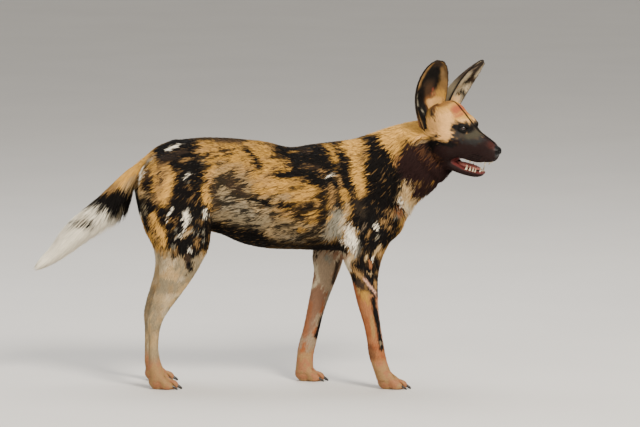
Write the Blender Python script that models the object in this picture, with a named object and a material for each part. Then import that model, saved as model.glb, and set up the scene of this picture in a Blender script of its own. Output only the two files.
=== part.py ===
"""African wild dog, life size, standing with its head turned to its right and its mouth a little open.

The animal faces +X, its left is +Y, +Z is up, and it stands on z = 0.
Lengths are in metres. The flesh is one smooth body, built as a signed distance
field from profiles and muscles, and parted at flat or domed seams.
"""

import math
import random
from dataclasses import dataclass

import bmesh
import bpy
import numpy as np
import openvdb
from mathutils import Matrix, Vector
from mathutils.bvhtree import BVHTree

# Driving dimensions
GAP = 0.0003  # clearance left at every seam
SEAM = 0.0004  # clearance round a part that sits in a curved seat
BODY_CELL = 0.006
LEG_CELL = 0.005
PAW_CELL = 0.003
HEAD_CELL = 0.0022
TAIL_CELL = 0.004

ELBOW_LEVEL = 0.352  # height of the seam between upper and lower foreleg
STIFLE_LEVEL = 0.350  # height of the seam between thigh and shank
WRIST_LEVEL = 0.072  # height of the seam between forearm and paw
FETLOCK_LEVEL = 0.066  # height of the seam between metatarsus and hind paw

HEAD_YAW = math.radians(-28)  # turned to its right
HEAD_PITCH = math.radians(12)  # nose down
EYES_MIDDLE = Vector((0.5630, -0.0725, 0.734))  # midway between the eyes
EYE_RADIUS = 0.0108
EYE_SPREAD = 0.0352  # from the middle line to an eye's centre

NECK_ROOT = Vector((0.357, 0.0, 0.602))
NECK_TOP = Vector((0.467, -0.020, 0.678))
NECK_SEAM = -0.015  # along the neck's axis from its root
HEAD_SEAM = 0.105  # along the neck's axis from its root
RUFF_DEPTH = 0.012  # how far the neck's core lies inside the tips of its coat

TAIL_ROOT = Vector((-0.300, 0.0, 0.670))
TAIL_TIP = Vector((-0.660, 0.0, 0.321))
TAIL_SEAM = 0.052  # along the tail's axis from its root
BRUSH_SEAM = 0.125

# Profiles. Each row is: place along the axis, upper or front edge, lower or back
# edge, half width, sideways shift.
TRUNK = (
    (-0.352, 0.598, 0.520, 0.036, 0.0),
    (-0.325, 0.648, 0.480, 0.066, 0.0),
    (-0.270, 0.684, 0.452, 0.084, 0.0),
    (-0.200, 0.698, 0.440, 0.094, 0.0),
    (-0.130, 0.699, 0.425, 0.099, 0.0),
    (-0.070, 0.695, 0.399, 0.107, 0.0),
    (0.000, 0.687, 0.384, 0.115, 0.0),
    (0.066, 0.672, 0.381, 0.118, 0.0),
    (0.120, 0.679, 0.380, 0.114, 0.0),
    (0.180, 0.687, 0.379, 0.106, 0.0),
    (0.240, 0.694, 0.376, 0.098, 0.0),
    (0.290, 0.702, 0.378, 0.090, 0.0),
    (0.335, 0.700, 0.405, 0.078, 0.0),
    (0.375, 0.672, 0.450, 0.062, 0.0),
    (0.402, 0.630, 0.500, 0.040, 0.0),
)
NECK = (
    (-0.090, 0.098, -0.098, 0.062, 0.0),
    (-0.040, 0.112, -0.112, 0.070, 0.0),
    (0.000, 0.117, -0.113, 0.074, 0.0),
    (0.040, 0.116, -0.110, 0.076, 0.0),
    (0.085, 0.106, -0.105, 0.074, 0.0),
    (0.130, 0.088, -0.096, 0.068, 0.0),
    (0.165, 0.066, -0.080, 0.060, 0.0),
)
TAIL = (
    (-0.040, -0.018, -0.044, 0.016, 0.0),
    (0.000, -0.002, -0.032, 0.019, 0.0),
    (0.045, 0.010, -0.021, 0.018, 0.0),
    (0.093, 0.016, -0.016, 0.018, 0.0),
    (0.130, 0.017, -0.022, 0.023, 0.0),
    (0.165, 0.018, -0.058, 0.032, 0.0),
    (0.200, 0.019, -0.080, 0.036, 0.0),
    (0.250, 0.021, -0.080, 0.036, 0.0),
    (0.290, 0.025, -0.068, 0.034, 0.0),
    (0.330, 0.029, -0.057, 0.030, 0.0),
    (0.375, 0.025, -0.047, 0.026, 0.0),
    (0.410, 0.016, -0.041, 0.021, 0.0),
    (0.443, 0.009, -0.032, 0.015, 0.0),
    (0.475, 0.006, -0.020, 0.009, 0.0),
    (0.501, 0.001, -0.005, 0.002, 0.0),
)
TAIL_CORE = TAIL[:5] + (
    (0.200, 0.012, -0.020, 0.018, 0.0),
    (0.300, 0.006, -0.014, 0.010, 0.0),
)
BRUSH_CORE = (
    (0.080, 0.018, -0.015, 0.018, 0.0),
    (0.125, 0.017, -0.021, 0.022, 0.0),
    (0.160, 0.013, -0.028, 0.020, 0.0),
    (0.220, 0.010, -0.036, 0.018, 0.0),
    (0.300, 0.010, -0.028, 0.014, 0.0),
    (0.370, 0.006, -0.016, 0.008, 0.0),
)
HIND_LEG = (
    (0.640, -0.205, -0.318, 0.028, 0.050),
    (0.600, -0.182, -0.350, 0.044, 0.056),
    (0.560, -0.168, -0.359, 0.050, 0.060),
    (0.520, -0.163, -0.356, 0.050, 0.064),
    (0.470, -0.161, -0.344, 0.047, 0.068),
    (0.425, -0.162, -0.328, 0.042, 0.072),
    (0.385, -0.167, -0.309, 0.036, 0.075),
    (0.350, -0.182, -0.300, 0.030, 0.077),
    (0.310, -0.206, -0.302, 0.025, 0.078),
    (0.265, -0.238, -0.314, 0.020, 0.078),
    (0.225, -0.268, -0.326, 0.017, 0.078),
    (0.192, -0.288, -0.332, 0.0165, 0.078),
    (0.150, -0.299, -0.330, 0.0155, 0.078),
    (0.090, -0.298, -0.330, 0.0165, 0.078),
    (0.050, -0.286, -0.330, 0.022, 0.078),
    (0.026, -0.280, -0.326, 0.024, 0.078),
)
NEAR_FORELEG = (
    (0.640, 0.335, 0.250, 0.020, 0.045),
    (0.600, 0.355, 0.235, 0.034, 0.055),
    (0.550, 0.370, 0.225, 0.042, 0.062),
    (0.500, 0.374, 0.215, 0.045, 0.066),
    (0.450, 0.362, 0.208, 0.044, 0.070),
    (0.400, 0.340, 0.207, 0.039, 0.073),
    (0.365, 0.324, 0.213, 0.035, 0.076),
    (0.316, 0.313, 0.235, 0.030, 0.077),
    (0.279, 0.312, 0.244, 0.027, 0.077),
    (0.244, 0.313, 0.2525, 0.024, 0.077),
    (0.172, 0.3205, 0.273, 0.0195, 0.076),
    (0.129, 0.328, 0.281, 0.0205, 0.076),
    (0.108, 0.331, 0.283, 0.0205, 0.076),
    (0.085, 0.336, 0.288, 0.0195, 0.076),
    (0.050, 0.347, 0.300, 0.023, 0.076),
    (0.026, 0.355, 0.308, 0.025, 0.076),
)
FAR_FORELEG = (
    (0.620, 0.335, 0.235, 0.030, 0.050),
    (0.550, 0.350, 0.205, 0.040, 0.060),
    (0.500, 0.340, 0.180, 0.044, 0.064),
    (0.450, 0.305, 0.155, 0.044, 0.068),
    (0.400, 0.258, 0.135, 0.038, 0.072),
    (0.357, 0.222, 0.127, 0.034, 0.074),
    (0.313, 0.206, 0.132, 0.030, 0.074),
    (0.266, 0.187, 0.125, 0.026, 0.074),
    (0.221, 0.170, 0.1165, 0.023, 0.073),
    (0.183, 0.158, 0.109, 0.020, 0.072),
    (0.145, 0.149, 0.101, 0.020, 0.071),
    (0.108, 0.140, 0.090, 0.0205, 0.070),
    (0.083, 0.134, 0.085, 0.0195, 0.070),
    (0.050, 0.131, 0.082, 0.023, 0.070),
    (0.026, 0.132, 0.080, 0.025, 0.070),
)
# The head's rows run along the muzzle from midway between the eyes.
SKULL = (
    (-0.112, 0.024, -0.070, 0.046, 0.0),
    (-0.088, 0.052, -0.088, 0.058, 0.0),
    (-0.060, 0.060, -0.100, 0.064, 0.0),
    (-0.030, 0.044, -0.100, 0.064, 0.0),
    (0.000, 0.022, -0.092, 0.052, 0.0),
    (0.020, 0.008, -0.087, 0.040, 0.0),
    (0.034, -0.001, -0.085, 0.0355, 0.0),
    (0.052, -0.008, -0.083, 0.0315, 0.0),
    (0.070, -0.0145, -0.081, 0.0295, 0.0),
    (0.086, -0.0215, -0.078, 0.0275, 0.0),
    (0.096, -0.0290, -0.072, 0.0235, 0.0),
    (0.101, -0.0340, -0.065, 0.0185, 0.0),
)
JAW = (
    (-0.075, -0.060, -0.128, 0.040, 0.0),
    (-0.040, -0.085, -0.131, 0.038, 0.0),
    (0.000, -0.101, -0.132, 0.032, 0.0),
    (0.030, -0.108, -0.132, 0.026, 0.0),
    (0.052, -0.109, -0.130, 0.0205, 0.0),
    (0.066, -0.107, -0.124, 0.0160, 0.0),
    (0.073, -0.106, -0.117, 0.0105, 0.0),
)


def unit(vector):
    return Vector(vector).normalized()


@dataclass
class Frame:
    """An origin and three axes: along a part, up or forward across it, and sideways."""

    origin: Vector
    along: Vector
    up: Vector
    side: Vector

    def place(self, along, up, side):
        return self.origin + self.along * along + self.up * up + self.side * side

    def local(self, points):
        offset = [p - o for p, o in zip(points, self.origin)]
        return [sum(a * b for a, b in zip(offset, axis)) for axis in (self.along, self.up, self.side)]

    def turned(self, vector):
        return self.along * vector[0] + self.up * vector[1] + self.side * vector[2]


def aimed(start, end):
    """A frame at start whose first axis points to end and whose second is as upright as can be."""
    along = unit(end - start)
    side = unit(Vector((0, 0, 1)).cross(along))
    return Frame(start, along, along.cross(side), side)


LEVEL = Frame(Vector((0, 0, 0)), Vector((1, 0, 0)), Vector((0, 0, 1)), Vector((0, 1, 0)))
UPRIGHT = Frame(Vector((0, 0, 0)), Vector((0, 0, 1)), Vector((1, 0, 0)), Vector((0, 1, 0)))


def head_frame():
    """The skull's frame, midway between the eyes: forward, up and left."""
    turn = Matrix.Rotation(HEAD_YAW, 3, "Z") @ Matrix.Rotation(HEAD_PITCH, 3, "Y")
    return Frame(EYES_MIDDLE, turn @ Vector((1, 0, 0)), turn @ Vector((0, 0, 1)), turn @ Vector((0, 1, 0)))


HEAD = head_frame()
NECK_FRAME = aimed(NECK_ROOT, NECK_TOP)
TAIL_FRAME = aimed(TAIL_ROOT, TAIL_TIP)


def curve_through(rows, samples=300):
    """Values of each column along the first one, on a smooth curve through the rows."""
    rows = np.array(rows, float)
    rows = rows[np.argsort(rows[:, 0])]
    at, values = rows[:, 0], rows[:, 1:]
    slope = np.gradient(values, at, axis=0)
    fine = np.linspace(at[0], at[-1], samples)
    i = np.clip(np.searchsorted(at, fine) - 1, 0, len(at) - 2)
    width = (at[i + 1] - at[i])[:, None]
    t = ((fine - at[i]) / (at[i + 1] - at[i]))[:, None]
    start, end = values[i], values[i + 1]
    leave, arrive = slope[i] * width, slope[i + 1] * width
    curve = (
        (2 * t**3 - 3 * t**2 + 1) * start
        + (t**3 - 2 * t**2 + t) * leave
        + (3 * t**2 - 2 * t**3) * end
        + (t**3 - t**2) * arrive
    )
    return fine, curve


class Loft:
    """A rounded bar whose edges follow a profile's rows."""

    def __init__(self, frame, rows, side=1, shift=0.0, squareness=2.0, keel=0.0):
        self.frame, self.side, self.squareness, self.keel = frame, side, squareness, keel
        self.at, self.columns = curve_through(rows)
        self.shift = shift

    def corners(self):
        ends = (self.at[0], self.at[-1])
        high, low = self.columns[:, 0].max() + self.shift, self.columns[:, 1].min() + self.shift
        reach = (self.columns[:, 2] + abs(self.columns[:, 3])).max()
        return [self.frame.place(a, u, s) for a in ends for u in (low, high) for s in (-reach, reach)]

    def distance(self, points):
        along, up, side = self.frame.local(points)
        up = up - self.shift
        spot = np.clip(along, self.at[0], self.at[-1])
        high, low, half, offset = (np.interp(spot, self.at, self.columns[:, c]) for c in range(4))
        tall = np.maximum((high - low) / 2, 1e-4)
        rise = (up - (high + low) / 2) / tall
        half = half * (1 + self.keel * np.clip(rise, -1, 1))
        across = np.abs(side - offset * self.side) / half
        n = self.squareness
        radius = (np.abs(rise) ** n + across**n) ** (1 / n)
        steep = np.sqrt((rise / tall) ** 2 + (across / half) ** 2) / np.maximum(
            np.sqrt(rise**2 + across**2), 1e-6
        )
        wall = (radius - 1) / np.maximum(steep, 1e-6)
        past = np.abs(along - spot)
        return np.where(past > 0, np.sqrt(np.maximum(wall, 0) ** 2 + past**2), wall)


class Ball:
    """An ellipsoid with its radii along a frame's axes."""

    def __init__(self, frame, centre, radii, tilt=0.0):
        """tilt turns it about the frame's side axis, front end down."""
        middle = frame.place(*centre)
        turn = Matrix.Rotation(tilt, 3, frame.side)
        self.frame = Frame(middle, turn @ frame.along, turn @ frame.up, frame.side.copy())
        self.radii = radii

    def corners(self):
        a, b, c = self.radii
        return [self.frame.place(i * a, j * b, k * c) for i in (-1, 1) for j in (-1, 1) for k in (-1, 1)]

    def distance(self, points):
        local = self.frame.local(points)
        near = np.sqrt(sum((p / r) ** 2 for p, r in zip(local, self.radii)))
        steep = np.sqrt(sum((p / (r * r)) ** 2 for p, r in zip(local, self.radii)))
        return near * (near - 1) / np.maximum(steep, 1e-6)


class Bone:
    """A rounded bar from one point to another, with a radius at each."""

    def __init__(self, start, end, start_radius, end_radius):
        self.start, self.end = Vector(start), Vector(end)
        self.radii = (start_radius, end_radius)

    def corners(self):
        reach = max(self.radii)
        corners = [Vector((i, j, k)) * reach for i in (-1, 1) for j in (-1, 1) for k in (-1, 1)]
        return [end + corner for end in (self.start, self.end) for corner in corners]

    def distance(self, points):
        line = self.end - self.start
        offset = [p - s for p, s in zip(points, self.start)]
        t = np.clip(sum(o * d for o, d in zip(offset, line)) / line.length_squared, 0, 1)
        away = np.sqrt(sum((o - d * t) ** 2 for o, d in zip(offset, line)))
        return away - (self.radii[0] + (self.radii[1] - self.radii[0]) * t)


def soft_min(a, b, blend):
    near = np.maximum(blend - np.abs(a - b), 0) / blend
    return np.minimum(a, b) - near * near * blend / 4


class Field:
    """Signed distances on a grid of cells laid along a frame, negative inside the flesh."""

    FAR = 0.05

    def __init__(self, frame, low, high, cell):
        self.frame, self.cell = frame, cell
        self.low = np.array(low, float)
        count = np.ceil((np.array(high) - self.low) / cell).astype(int) + 1
        self.values = np.full(count, self.FAR, np.float32)

    def window(self, shape, margin):
        corners = np.array([self.frame.local(p) for p in shape.corners()])
        first = np.floor((corners.min(0) - margin - self.low) / self.cell).astype(int)
        last = np.ceil((corners.max(0) + margin - self.low) / self.cell).astype(int) + 1
        first = np.clip(first, 0, self.values.shape)
        last = np.clip(last, first, self.values.shape)
        return tuple(slice(a, b) for a, b in zip(first, last))

    def points(self, window):
        local = [self.low[i] + self.cell * np.arange(w.start, w.stop) for i, w in enumerate(window)]
        a, b, c = np.meshgrid(*local, indexing="ij")
        f = self.frame
        return [f.origin[i] + a * f.along[i] + b * f.up[i] + c * f.side[i] for i in range(3)]

    def join(self, shape, blend=0.02):
        window = self.window(shape, self.FAR)
        if self.values[window].size:
            found = shape.distance(self.points(window)).astype(np.float32)
            self.values[window] = soft_min(self.values[window], found, blend)

    def carve(self, shape, blend=0.004):
        window = self.window(shape, 0.02)
        if self.values[window].size:
            found = shape.distance(self.points(window)).astype(np.float32)
            self.values[window] = -soft_min(-self.values[window], found, blend)

    def mesh(self, name, triangles):
        """A closed mesh of the surface, with about this many triangles."""
        for axis in range(3):
            edge = [slice(None)] * 3
            for end in (0, -1):
                edge[axis] = end
                self.values[tuple(edge)] = np.maximum(self.values[tuple(edge)], self.cell)
        grid = openvdb.FloatGrid(background=self.FAR)
        grid.copyFromArray(self.values)
        found, quads = grid.convertToQuads(0.0)
        a, b, c = (self.low[i] + self.cell * found[:, i] for i in range(3))
        f = self.frame
        world = np.stack([f.origin[i] + a * f.along[i] + b * f.up[i] + c * f.side[i] for i in range(3)], 1)
        data = bpy.data.meshes.new(name)
        data.from_pydata(world.tolist(), [], quads.tolist())
        obj = bpy.data.objects.new(name, data)
        bpy.context.scene.collection.objects.link(obj)
        largest_piece(obj)
        face_outwards(obj)
        thin_out(obj, triangles)
        return obj


def face_outwards(obj):
    mesh = bmesh.new()
    mesh.from_mesh(obj.data)
    bmesh.ops.recalc_face_normals(mesh, faces=mesh.faces)
    if mesh.calc_volume(signed=True) < 0:
        bmesh.ops.reverse_faces(mesh, faces=mesh.faces)
    mesh.to_mesh(obj.data)
    mesh.free()


def thin_out(obj, triangles):
    """Collapses edges where the surface is flattest, until about this many triangles are left."""
    mesh = bmesh.new()
    mesh.from_mesh(obj.data)
    bmesh.ops.triangulate(mesh, faces=mesh.faces)
    mesh.to_mesh(obj.data)
    mesh.free()
    if len(obj.data.polygons) > triangles:
        modifier = obj.modifiers.new("thin out", "DECIMATE")
        modifier.ratio = triangles / len(obj.data.polygons)
        apply_modifiers(obj)


def apply_modifiers(obj):
    graph = bpy.context.evaluated_depsgraph_get()
    data = bpy.data.meshes.new_from_object(obj.evaluated_get(graph))
    obj.modifiers.clear()
    old = obj.data
    obj.data = data
    bpy.data.meshes.remove(old)


def largest_piece(obj):
    """Keeps only the connected piece with the most faces."""
    mesh = bmesh.new()
    mesh.from_mesh(obj.data)
    unseen, best = set(mesh.verts), []
    while unseen:
        stack, piece = [unseen.pop()], []
        while stack:
            vert = stack.pop()
            piece.append(vert)
            for edge in vert.link_edges:
                other = edge.other_vert(vert)
                if other in unseen:
                    unseen.remove(other)
                    stack.append(other)
        if len(piece) > len(best):
            best = piece
    keep = set(best)
    bmesh.ops.delete(mesh, geom=[v for v in mesh.verts if v not in keep], context="VERTS")
    mesh.to_mesh(obj.data)
    mesh.free()


def clip(obj, point, outward):
    """Cuts the mesh by a plane, drops what lies on the outward side and closes the cut."""
    mesh = bmesh.new()
    mesh.from_mesh(obj.data)
    parts = list(mesh.verts) + list(mesh.edges) + list(mesh.faces)
    cut = bmesh.ops.bisect_plane(
        mesh, geom=parts, dist=1e-7, plane_co=point, plane_no=outward, clear_outer=True
    )["geom_cut"]
    edges = [g for g in cut if isinstance(g, bmesh.types.BMEdge)]
    bmesh.ops.holes_fill(mesh, edges=edges, sides=0)
    bmesh.ops.triangulate(mesh, faces=mesh.faces)
    mesh.to_mesh(obj.data)
    mesh.free()


def combine(obj, others, operation, solver="EXACT"):
    """Boolean of the object with a list of closed meshes, which are then removed."""
    group = bpy.data.collections.new("operands")
    bpy.context.scene.collection.children.link(group)
    for other in others:
        bpy.context.scene.collection.objects.unlink(other)
        group.objects.link(other)
    modifier = obj.modifiers.new(operation, "BOOLEAN")
    modifier.operation, modifier.solver = operation, solver
    modifier.operand_type, modifier.collection = "COLLECTION", group
    apply_modifiers(obj)
    for other in others:
        bpy.data.objects.remove(other)
    bpy.data.collections.remove(group)
    largest_piece(obj)


def copy_of(obj, name):
    twin = obj.copy()
    twin.data = obj.data.copy()
    twin.name = name
    bpy.context.scene.collection.objects.link(twin)
    return twin


def grown(obj, amount, name):
    """A copy with each vertex moved outwards."""
    twin = copy_of(obj, name)
    normals = [v.normal.copy() for v in twin.data.vertices]
    for vert, normal in zip(twin.data.vertices, normals):
        vert.co += normal * amount
    return twin


def dome(name, centre, radii, extra=0.0, sides=12):
    """A smooth closed egg shape."""
    mesh = bmesh.new()
    bmesh.ops.create_uvsphere(mesh, u_segments=sides, v_segments=sides * 2 // 3, radius=1)
    size = Matrix.Diagonal([r + extra for r in radii]).to_4x4()
    bmesh.ops.transform(mesh, matrix=Matrix.Translation(centre) @ size, verts=mesh.verts)
    bmesh.ops.triangulate(mesh, faces=mesh.faces)
    data = bpy.data.meshes.new(name)
    mesh.to_mesh(data)
    mesh.free()
    obj = bpy.data.objects.new(name, data)
    bpy.context.scene.collection.objects.link(obj)
    return obj


# The four toes of a paw: how far out, how far ahead of the paw's middle, and size.
TOES = ((-0.0215, 0.010, 0.92), (-0.0078, 0.022, 1.0), (0.0078, 0.022, 1.0), (0.0215, 0.010, 0.92))
TOE_RADII = (0.020, 0.0135, 0.0088)
TOE_DROOP = 0.15
PAD = ((-0.012, 0.020, 0), (0.030, 0.022, 0.024))  # centre and radii
HEEL_PAD = ((-0.012, 0.006, 0), (0.019, 0.012, 0.019))
CLAW_RADIUS = 0.0036


@dataclass
class Leg:
    """One leg: its profile, its side of the body and where its paw stands."""

    name: str
    rows: tuple
    side: int
    shift: float
    seam: float
    paw_seam: float
    paw_x: float

    @property
    def paw_y(self):
        return self.rows[-1][4]

    def loft(self):
        return Loft(UPRIGHT, self.rows, self.side, self.shift)

    def paw_frame(self):
        return Frame(Vector((self.paw_x, self.side * self.paw_y, 0)), LEVEL.along, LEVEL.up, LEVEL.side)

    def toes(self):
        """The paw's shapes: the pads, four toes in a fan and the knuckles above them."""
        at = self.paw_frame()
        shapes = [Ball(at, *PAD), Ball(at, *HEEL_PAD)]
        for across, ahead, size in TOES:
            radii = [radius * size for radius in TOE_RADII]
            shapes.append(Ball(at, (ahead, 0.012 * size, across), radii, TOE_DROOP))
            knuckle = at.place(ahead - 0.006, 0.018, across)
            shapes.append(Bone(knuckle, at.place(-0.010, 0.034, across * 0.6), 0.0085, 0.012))
        return shapes

    def claws(self):
        """Where each claw starts and ends."""
        at = self.paw_frame()
        for across, ahead, _ in TOES:
            yield at.place(ahead + 0.012, 0.0115, across), at.place(ahead + 0.0275, 0.0035, across * 1.04)


LEGS = (
    Leg("hind_right", HIND_LEG, -1, 0.0, STIFLE_LEVEL, FETLOCK_LEVEL, -0.288),
    Leg("hind_left", HIND_LEG, 1, -0.016, STIFLE_LEVEL, FETLOCK_LEVEL, -0.304),
    Leg("fore_right", NEAR_FORELEG, -1, 0.0, ELBOW_LEVEL, WRIST_LEVEL, 0.352),
    Leg("fore_left", FAR_FORELEG, 1, 0.0, ELBOW_LEVEL, WRIST_LEVEL, 0.121),
)
# Muscles and folds laid over the profiles: centre, radii, tilt, blend.
MUSCLES = (
    ((0.315, 0.585, 0.062), (0.055, 0.085, 0.032), -0.35, 0.03),
    ((0.345, 0.470, 0.052), (0.040, 0.050, 0.040), 0.0, 0.03),
    ((-0.245, 0.590, 0.058), (0.075, 0.060, 0.036), 0.2, 0.03),
    ((-0.190, 0.440, 0.074), (0.032, 0.060, 0.026), 0.0, 0.03),
)


def body_shapes():
    """Every shape of the flesh but the head, with the width of its blend."""
    yield Loft(LEVEL, TRUNK, keel=0.12), 0.02
    yield Loft(NECK_FRAME, NECK), 0.04
    yield Loft(TAIL_FRAME, TAIL_CORE), 0.03
    for leg in LEGS:
        yield leg.loft(), 0.028
    for (x, z, y), radii, tilt, blend in MUSCLES:
        for side in (-1, 1):
            yield Ball(LEVEL, (x, z, side * y), radii, tilt), blend


def head_shapes():
    """The skull's profiles and swellings, then what is hollowed out of them."""
    yield Loft(HEAD, SKULL, squareness=2.3, keel=-0.05), 0.02
    yield Loft(HEAD, JAW, squareness=2.3), 0.012
    for side in (-1, 1):
        yield Ball(HEAD, (-0.042, -0.058, side * 0.044), (0.036, 0.042, 0.024)), 0.022
        yield Ball(HEAD, (-0.026, -0.026, side * 0.052), (0.030, 0.011, 0.012), 0.15), 0.018
        yield Ball(HEAD, (-0.008, 0.0155, side * 0.030), (0.019, 0.009, 0.013), 0.35), 0.012
        yield Ball(HEAD, (-0.082, 0.012, side * 0.043), (0.030, 0.030, 0.024)), 0.03
        yield Ball(HEAD, (0.074, -0.062, side * 0.0135), (0.023, 0.0165, 0.0145)), 0.008
        yield Ball(HEAD, (0.036, -0.075, side * 0.022), (0.036, 0.012, 0.0105)), 0.010
    yield Ball(HEAD, (0.0965, -0.0415, 0), (0.0165, 0.0140, 0.0175), 0.12), 0.005


def mouth_shapes():
    """The gap between the lips, widening towards the front."""
    yield Bone(HEAD.place(0.000, -0.0915, -0.055), HEAD.place(0.000, -0.0915, 0.055), 0.0060, 0.0060)
    for ahead, rise, tall in ((0.024, -0.096, 0.0110), (0.048, -0.0965, 0.0125), (0.074, -0.095, 0.0120)):
        yield Ball(HEAD, (ahead, rise, 0), (0.028, tall, 0.060))


def eye_frame(side):
    """At an eye's centre, looking outwards and a little up."""
    look = unit(HEAD.turned((math.cos(math.radians(42)), 0.10, side * math.sin(math.radians(42)))))
    along = unit(HEAD.up.cross(look))
    return Frame(HEAD.place(-0.002, 0.0005, side * EYE_SPREAD), look, unit(look.cross(along)), along)


def ring_solid(name, rings):
    """A closed mesh through rings of equally many points. An end ring of one point is a tip."""
    mesh = bmesh.new()
    rows = [[mesh.verts.new(p) for p in ring] for ring in rings]
    count = max(len(row) for row in rows)
    for low, high in zip(rows, rows[1:]):
        for i in range(count):
            j = (i + 1) % count
            if len(high) == 1:
                mesh.faces.new((low[i], low[j], high[0]))
            else:
                mesh.faces.new((low[i], low[j], high[j], high[i]))
    for row in (rows[0], rows[-1]):
        if len(row) > 1:
            middle = mesh.verts.new(sum((v.co for v in row), Vector()) / count)
            for i in range(count):
                mesh.faces.new((row[i], row[(i + 1) % count], middle))
    bmesh.ops.triangulate(mesh, faces=mesh.faces)
    data = bpy.data.meshes.new(name)
    mesh.to_mesh(data)
    mesh.free()
    obj = bpy.data.objects.new(name, data)
    bpy.context.scene.collection.objects.link(obj)
    face_outwards(obj)
    return obj


def ellipse(frame, along, up, side, tall, wide, sides, turn=0.0):
    angles = [math.tau * (i + turn) / sides for i in range(sides)]
    return [frame.place(along, up + tall * math.sin(a), side + wide * math.cos(a)) for a in angles]


def sleeve(name, rows, side, extra, sides=20):
    """An upright egg-shaped cutter. A row is height, front, back, near edge and far edge."""
    rings = []
    for z, front, back, inner, outer in rows:
        frame = Frame(Vector((0, 0, z)), UPRIGHT.along, UPRIGHT.up, UPRIGHT.side)
        tall, wide = (front - back) / 2 + extra, (outer - inner) / 2 + extra
        rings.append(ellipse(frame, 0, (front + back) / 2, side * (outer + inner) / 2, tall, wide, sides))
    return ring_solid(name, rings)


def cone(name, frame, length, base, sides=5, sink=0.004):
    """A tapered, slightly bent peg standing on a frame's origin along its first axis."""
    rings = []
    for at, size, bend in ((-sink, 1.0, 0.0), (0.45, 0.8, 0.03), (0.85, 0.35, 0.10)):
        along = at * length if at > 0 else at
        radius = base * size
        rings.append(ellipse(frame, along, -bend * length, 0, radius, radius * 0.8, sides))
    return ring_solid(name, rings + [[frame.place(length, -0.14 * length, 0)]])


LOCK_THICK = 0.010
# How wide and thick a lock is on its way to the tip, as shares of its full width and thickness.
LOCK_STEPS = (0.0, 0.40, 0.76)
LOCK_WIDTHS = (0.80, 1.0, 0.62)
LOCK_THICKS = (1.0, 0.85, 0.5)


def lock(root, bend, tip, outward, width, thick):
    """One flat, tapered lock of hair along a curve from root to tip."""
    rings = []
    for t, wide, deep in zip(LOCK_STEPS, LOCK_WIDTHS, LOCK_THICKS):
        point = root * (1 - t) ** 2 + bend * (2 * t * (1 - t)) + tip * t**2
        along = unit((bend - root) * (1 - t) + (tip - bend) * t)
        side = unit(along.cross(outward))
        up = side.cross(along)
        reach = (side * wide * width / 2, up * deep * thick / 2)
        rings.append([point + reach[0], point + reach[1], point - reach[0], point - reach[1]])
    return ring_solid("lock", rings + [[tip]])


class Coat:
    """Rows of locks round a core, with their tips on the outer form of the coat."""

    SINK = 0.006

    def __init__(self, core, outer, frame, seed):
        graph = bpy.context.evaluated_depsgraph_get()
        self.core, self.outer = (BVHTree.FromObject(form, graph) for form in (core, outer))
        self.frame = frame
        self.random = random.Random(seed)
        self.locks = []

    def surface(self, tree, along, angle):
        """Where the form's surface lies at an angle round its own middle, and which way that is."""
        axis = self.frame.place(along, 0, 0)
        far = self.frame.up * 0.3
        top, bottom = (tree.ray_cast(axis + way * far, -way * far)[0] for way in (1, -1))
        start = top.lerp(bottom, 0.5) if top and bottom else axis
        outward = self.frame.up * math.cos(angle) + self.frame.side * math.sin(angle)
        hit = tree.ray_cast(start, outward)[0]
        return (hit if hit else start), outward

    def row(self, root_at, tip_at, count, around, width, thick, lift, turn=0.0):
        """Locks at even angles between the two of around, measured from the top of the frame."""
        start, end = around
        for i in range(count):
            angle = start + (end - start) * (i + 0.5 + turn) / count + self.random.uniform(-0.06, 0.06)
            reach = self.random.uniform(-0.05, 0.05)
            root, outward = self.surface(self.core, root_at, angle)
            tip, _ = self.surface(self.outer, tip_at + (tip_at - root_at) * reach, angle)
            root = root - outward * self.SINK
            bend = root.lerp(tip, 0.5) + outward * lift
            size = width * self.random.uniform(0.9, 1.15)
            self.locks.append(lock(root, bend, tip, outward, size, thick))


# Where each leg's upper part sits in the trunk: height, front, back, inner and outer edge.
SHOULDER_NEAR = (
    (0.300, 0.345, 0.195, 0.022, 0.170),
    (0.380, 0.352, 0.192, 0.022, 0.175),
    (0.460, 0.372, 0.198, 0.030, 0.180),
    (0.540, 0.366, 0.224, 0.048, 0.185),
    (0.600, 0.326, 0.244, 0.070, 0.180),
    (0.632, 0.300, 0.262, 0.090, 0.160),
)
SHOULDER_FAR = (
    (0.300, 0.262, 0.110, 0.022, 0.170),
    (0.380, 0.282, 0.118, 0.022, 0.175),
    (0.460, 0.338, 0.150, 0.030, 0.180),
    (0.540, 0.362, 0.196, 0.048, 0.185),
    (0.600, 0.326, 0.236, 0.070, 0.180),
    (0.632, 0.300, 0.262, 0.090, 0.160),
)
THIGH = (
    (0.300, -0.165, -0.345, 0.022, 0.170),
    (0.370, -0.145, -0.350, 0.022, 0.170),
    (0.450, -0.140, -0.368, 0.026, 0.175),
    (0.530, -0.142, -0.385, 0.030, 0.175),
    (0.590, -0.165, -0.375, 0.048, 0.170),
    (0.630, -0.205, -0.335, 0.075, 0.155),
)
SEATS = {"hind_right": THIGH, "hind_left": THIGH, "fore_right": SHOULDER_NEAR, "fore_left": SHOULDER_FAR}
# The names of each leg's three nodes, from the top down.
LEG_NODES = {"fore": ("shoulder", "forearm", "paw"), "hind": ("thigh", "shank", "paw")}

TAIL_CUT_RADIUS = 0.036
BODY_TRIANGLES = 2600
LEG_TRIANGLES = 240
PAW_TRIANGLES = 235
HEAD_TRIANGLES = 2250
TAIL_TRIANGLES = 200


def body_mesh():
    body = Field(LEVEL, (-0.47, 0.30, -0.19), (0.60, 0.83, 0.19), BODY_CELL)
    for shape, blend in body_shapes():
        body.join(shape, blend)
    obj = body.mesh("body", BODY_TRIANGLES)
    clip(obj, (0, 0, ELBOW_LEVEL + GAP / 2 - 0.02), (0, 0, -1))
    return obj


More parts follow.
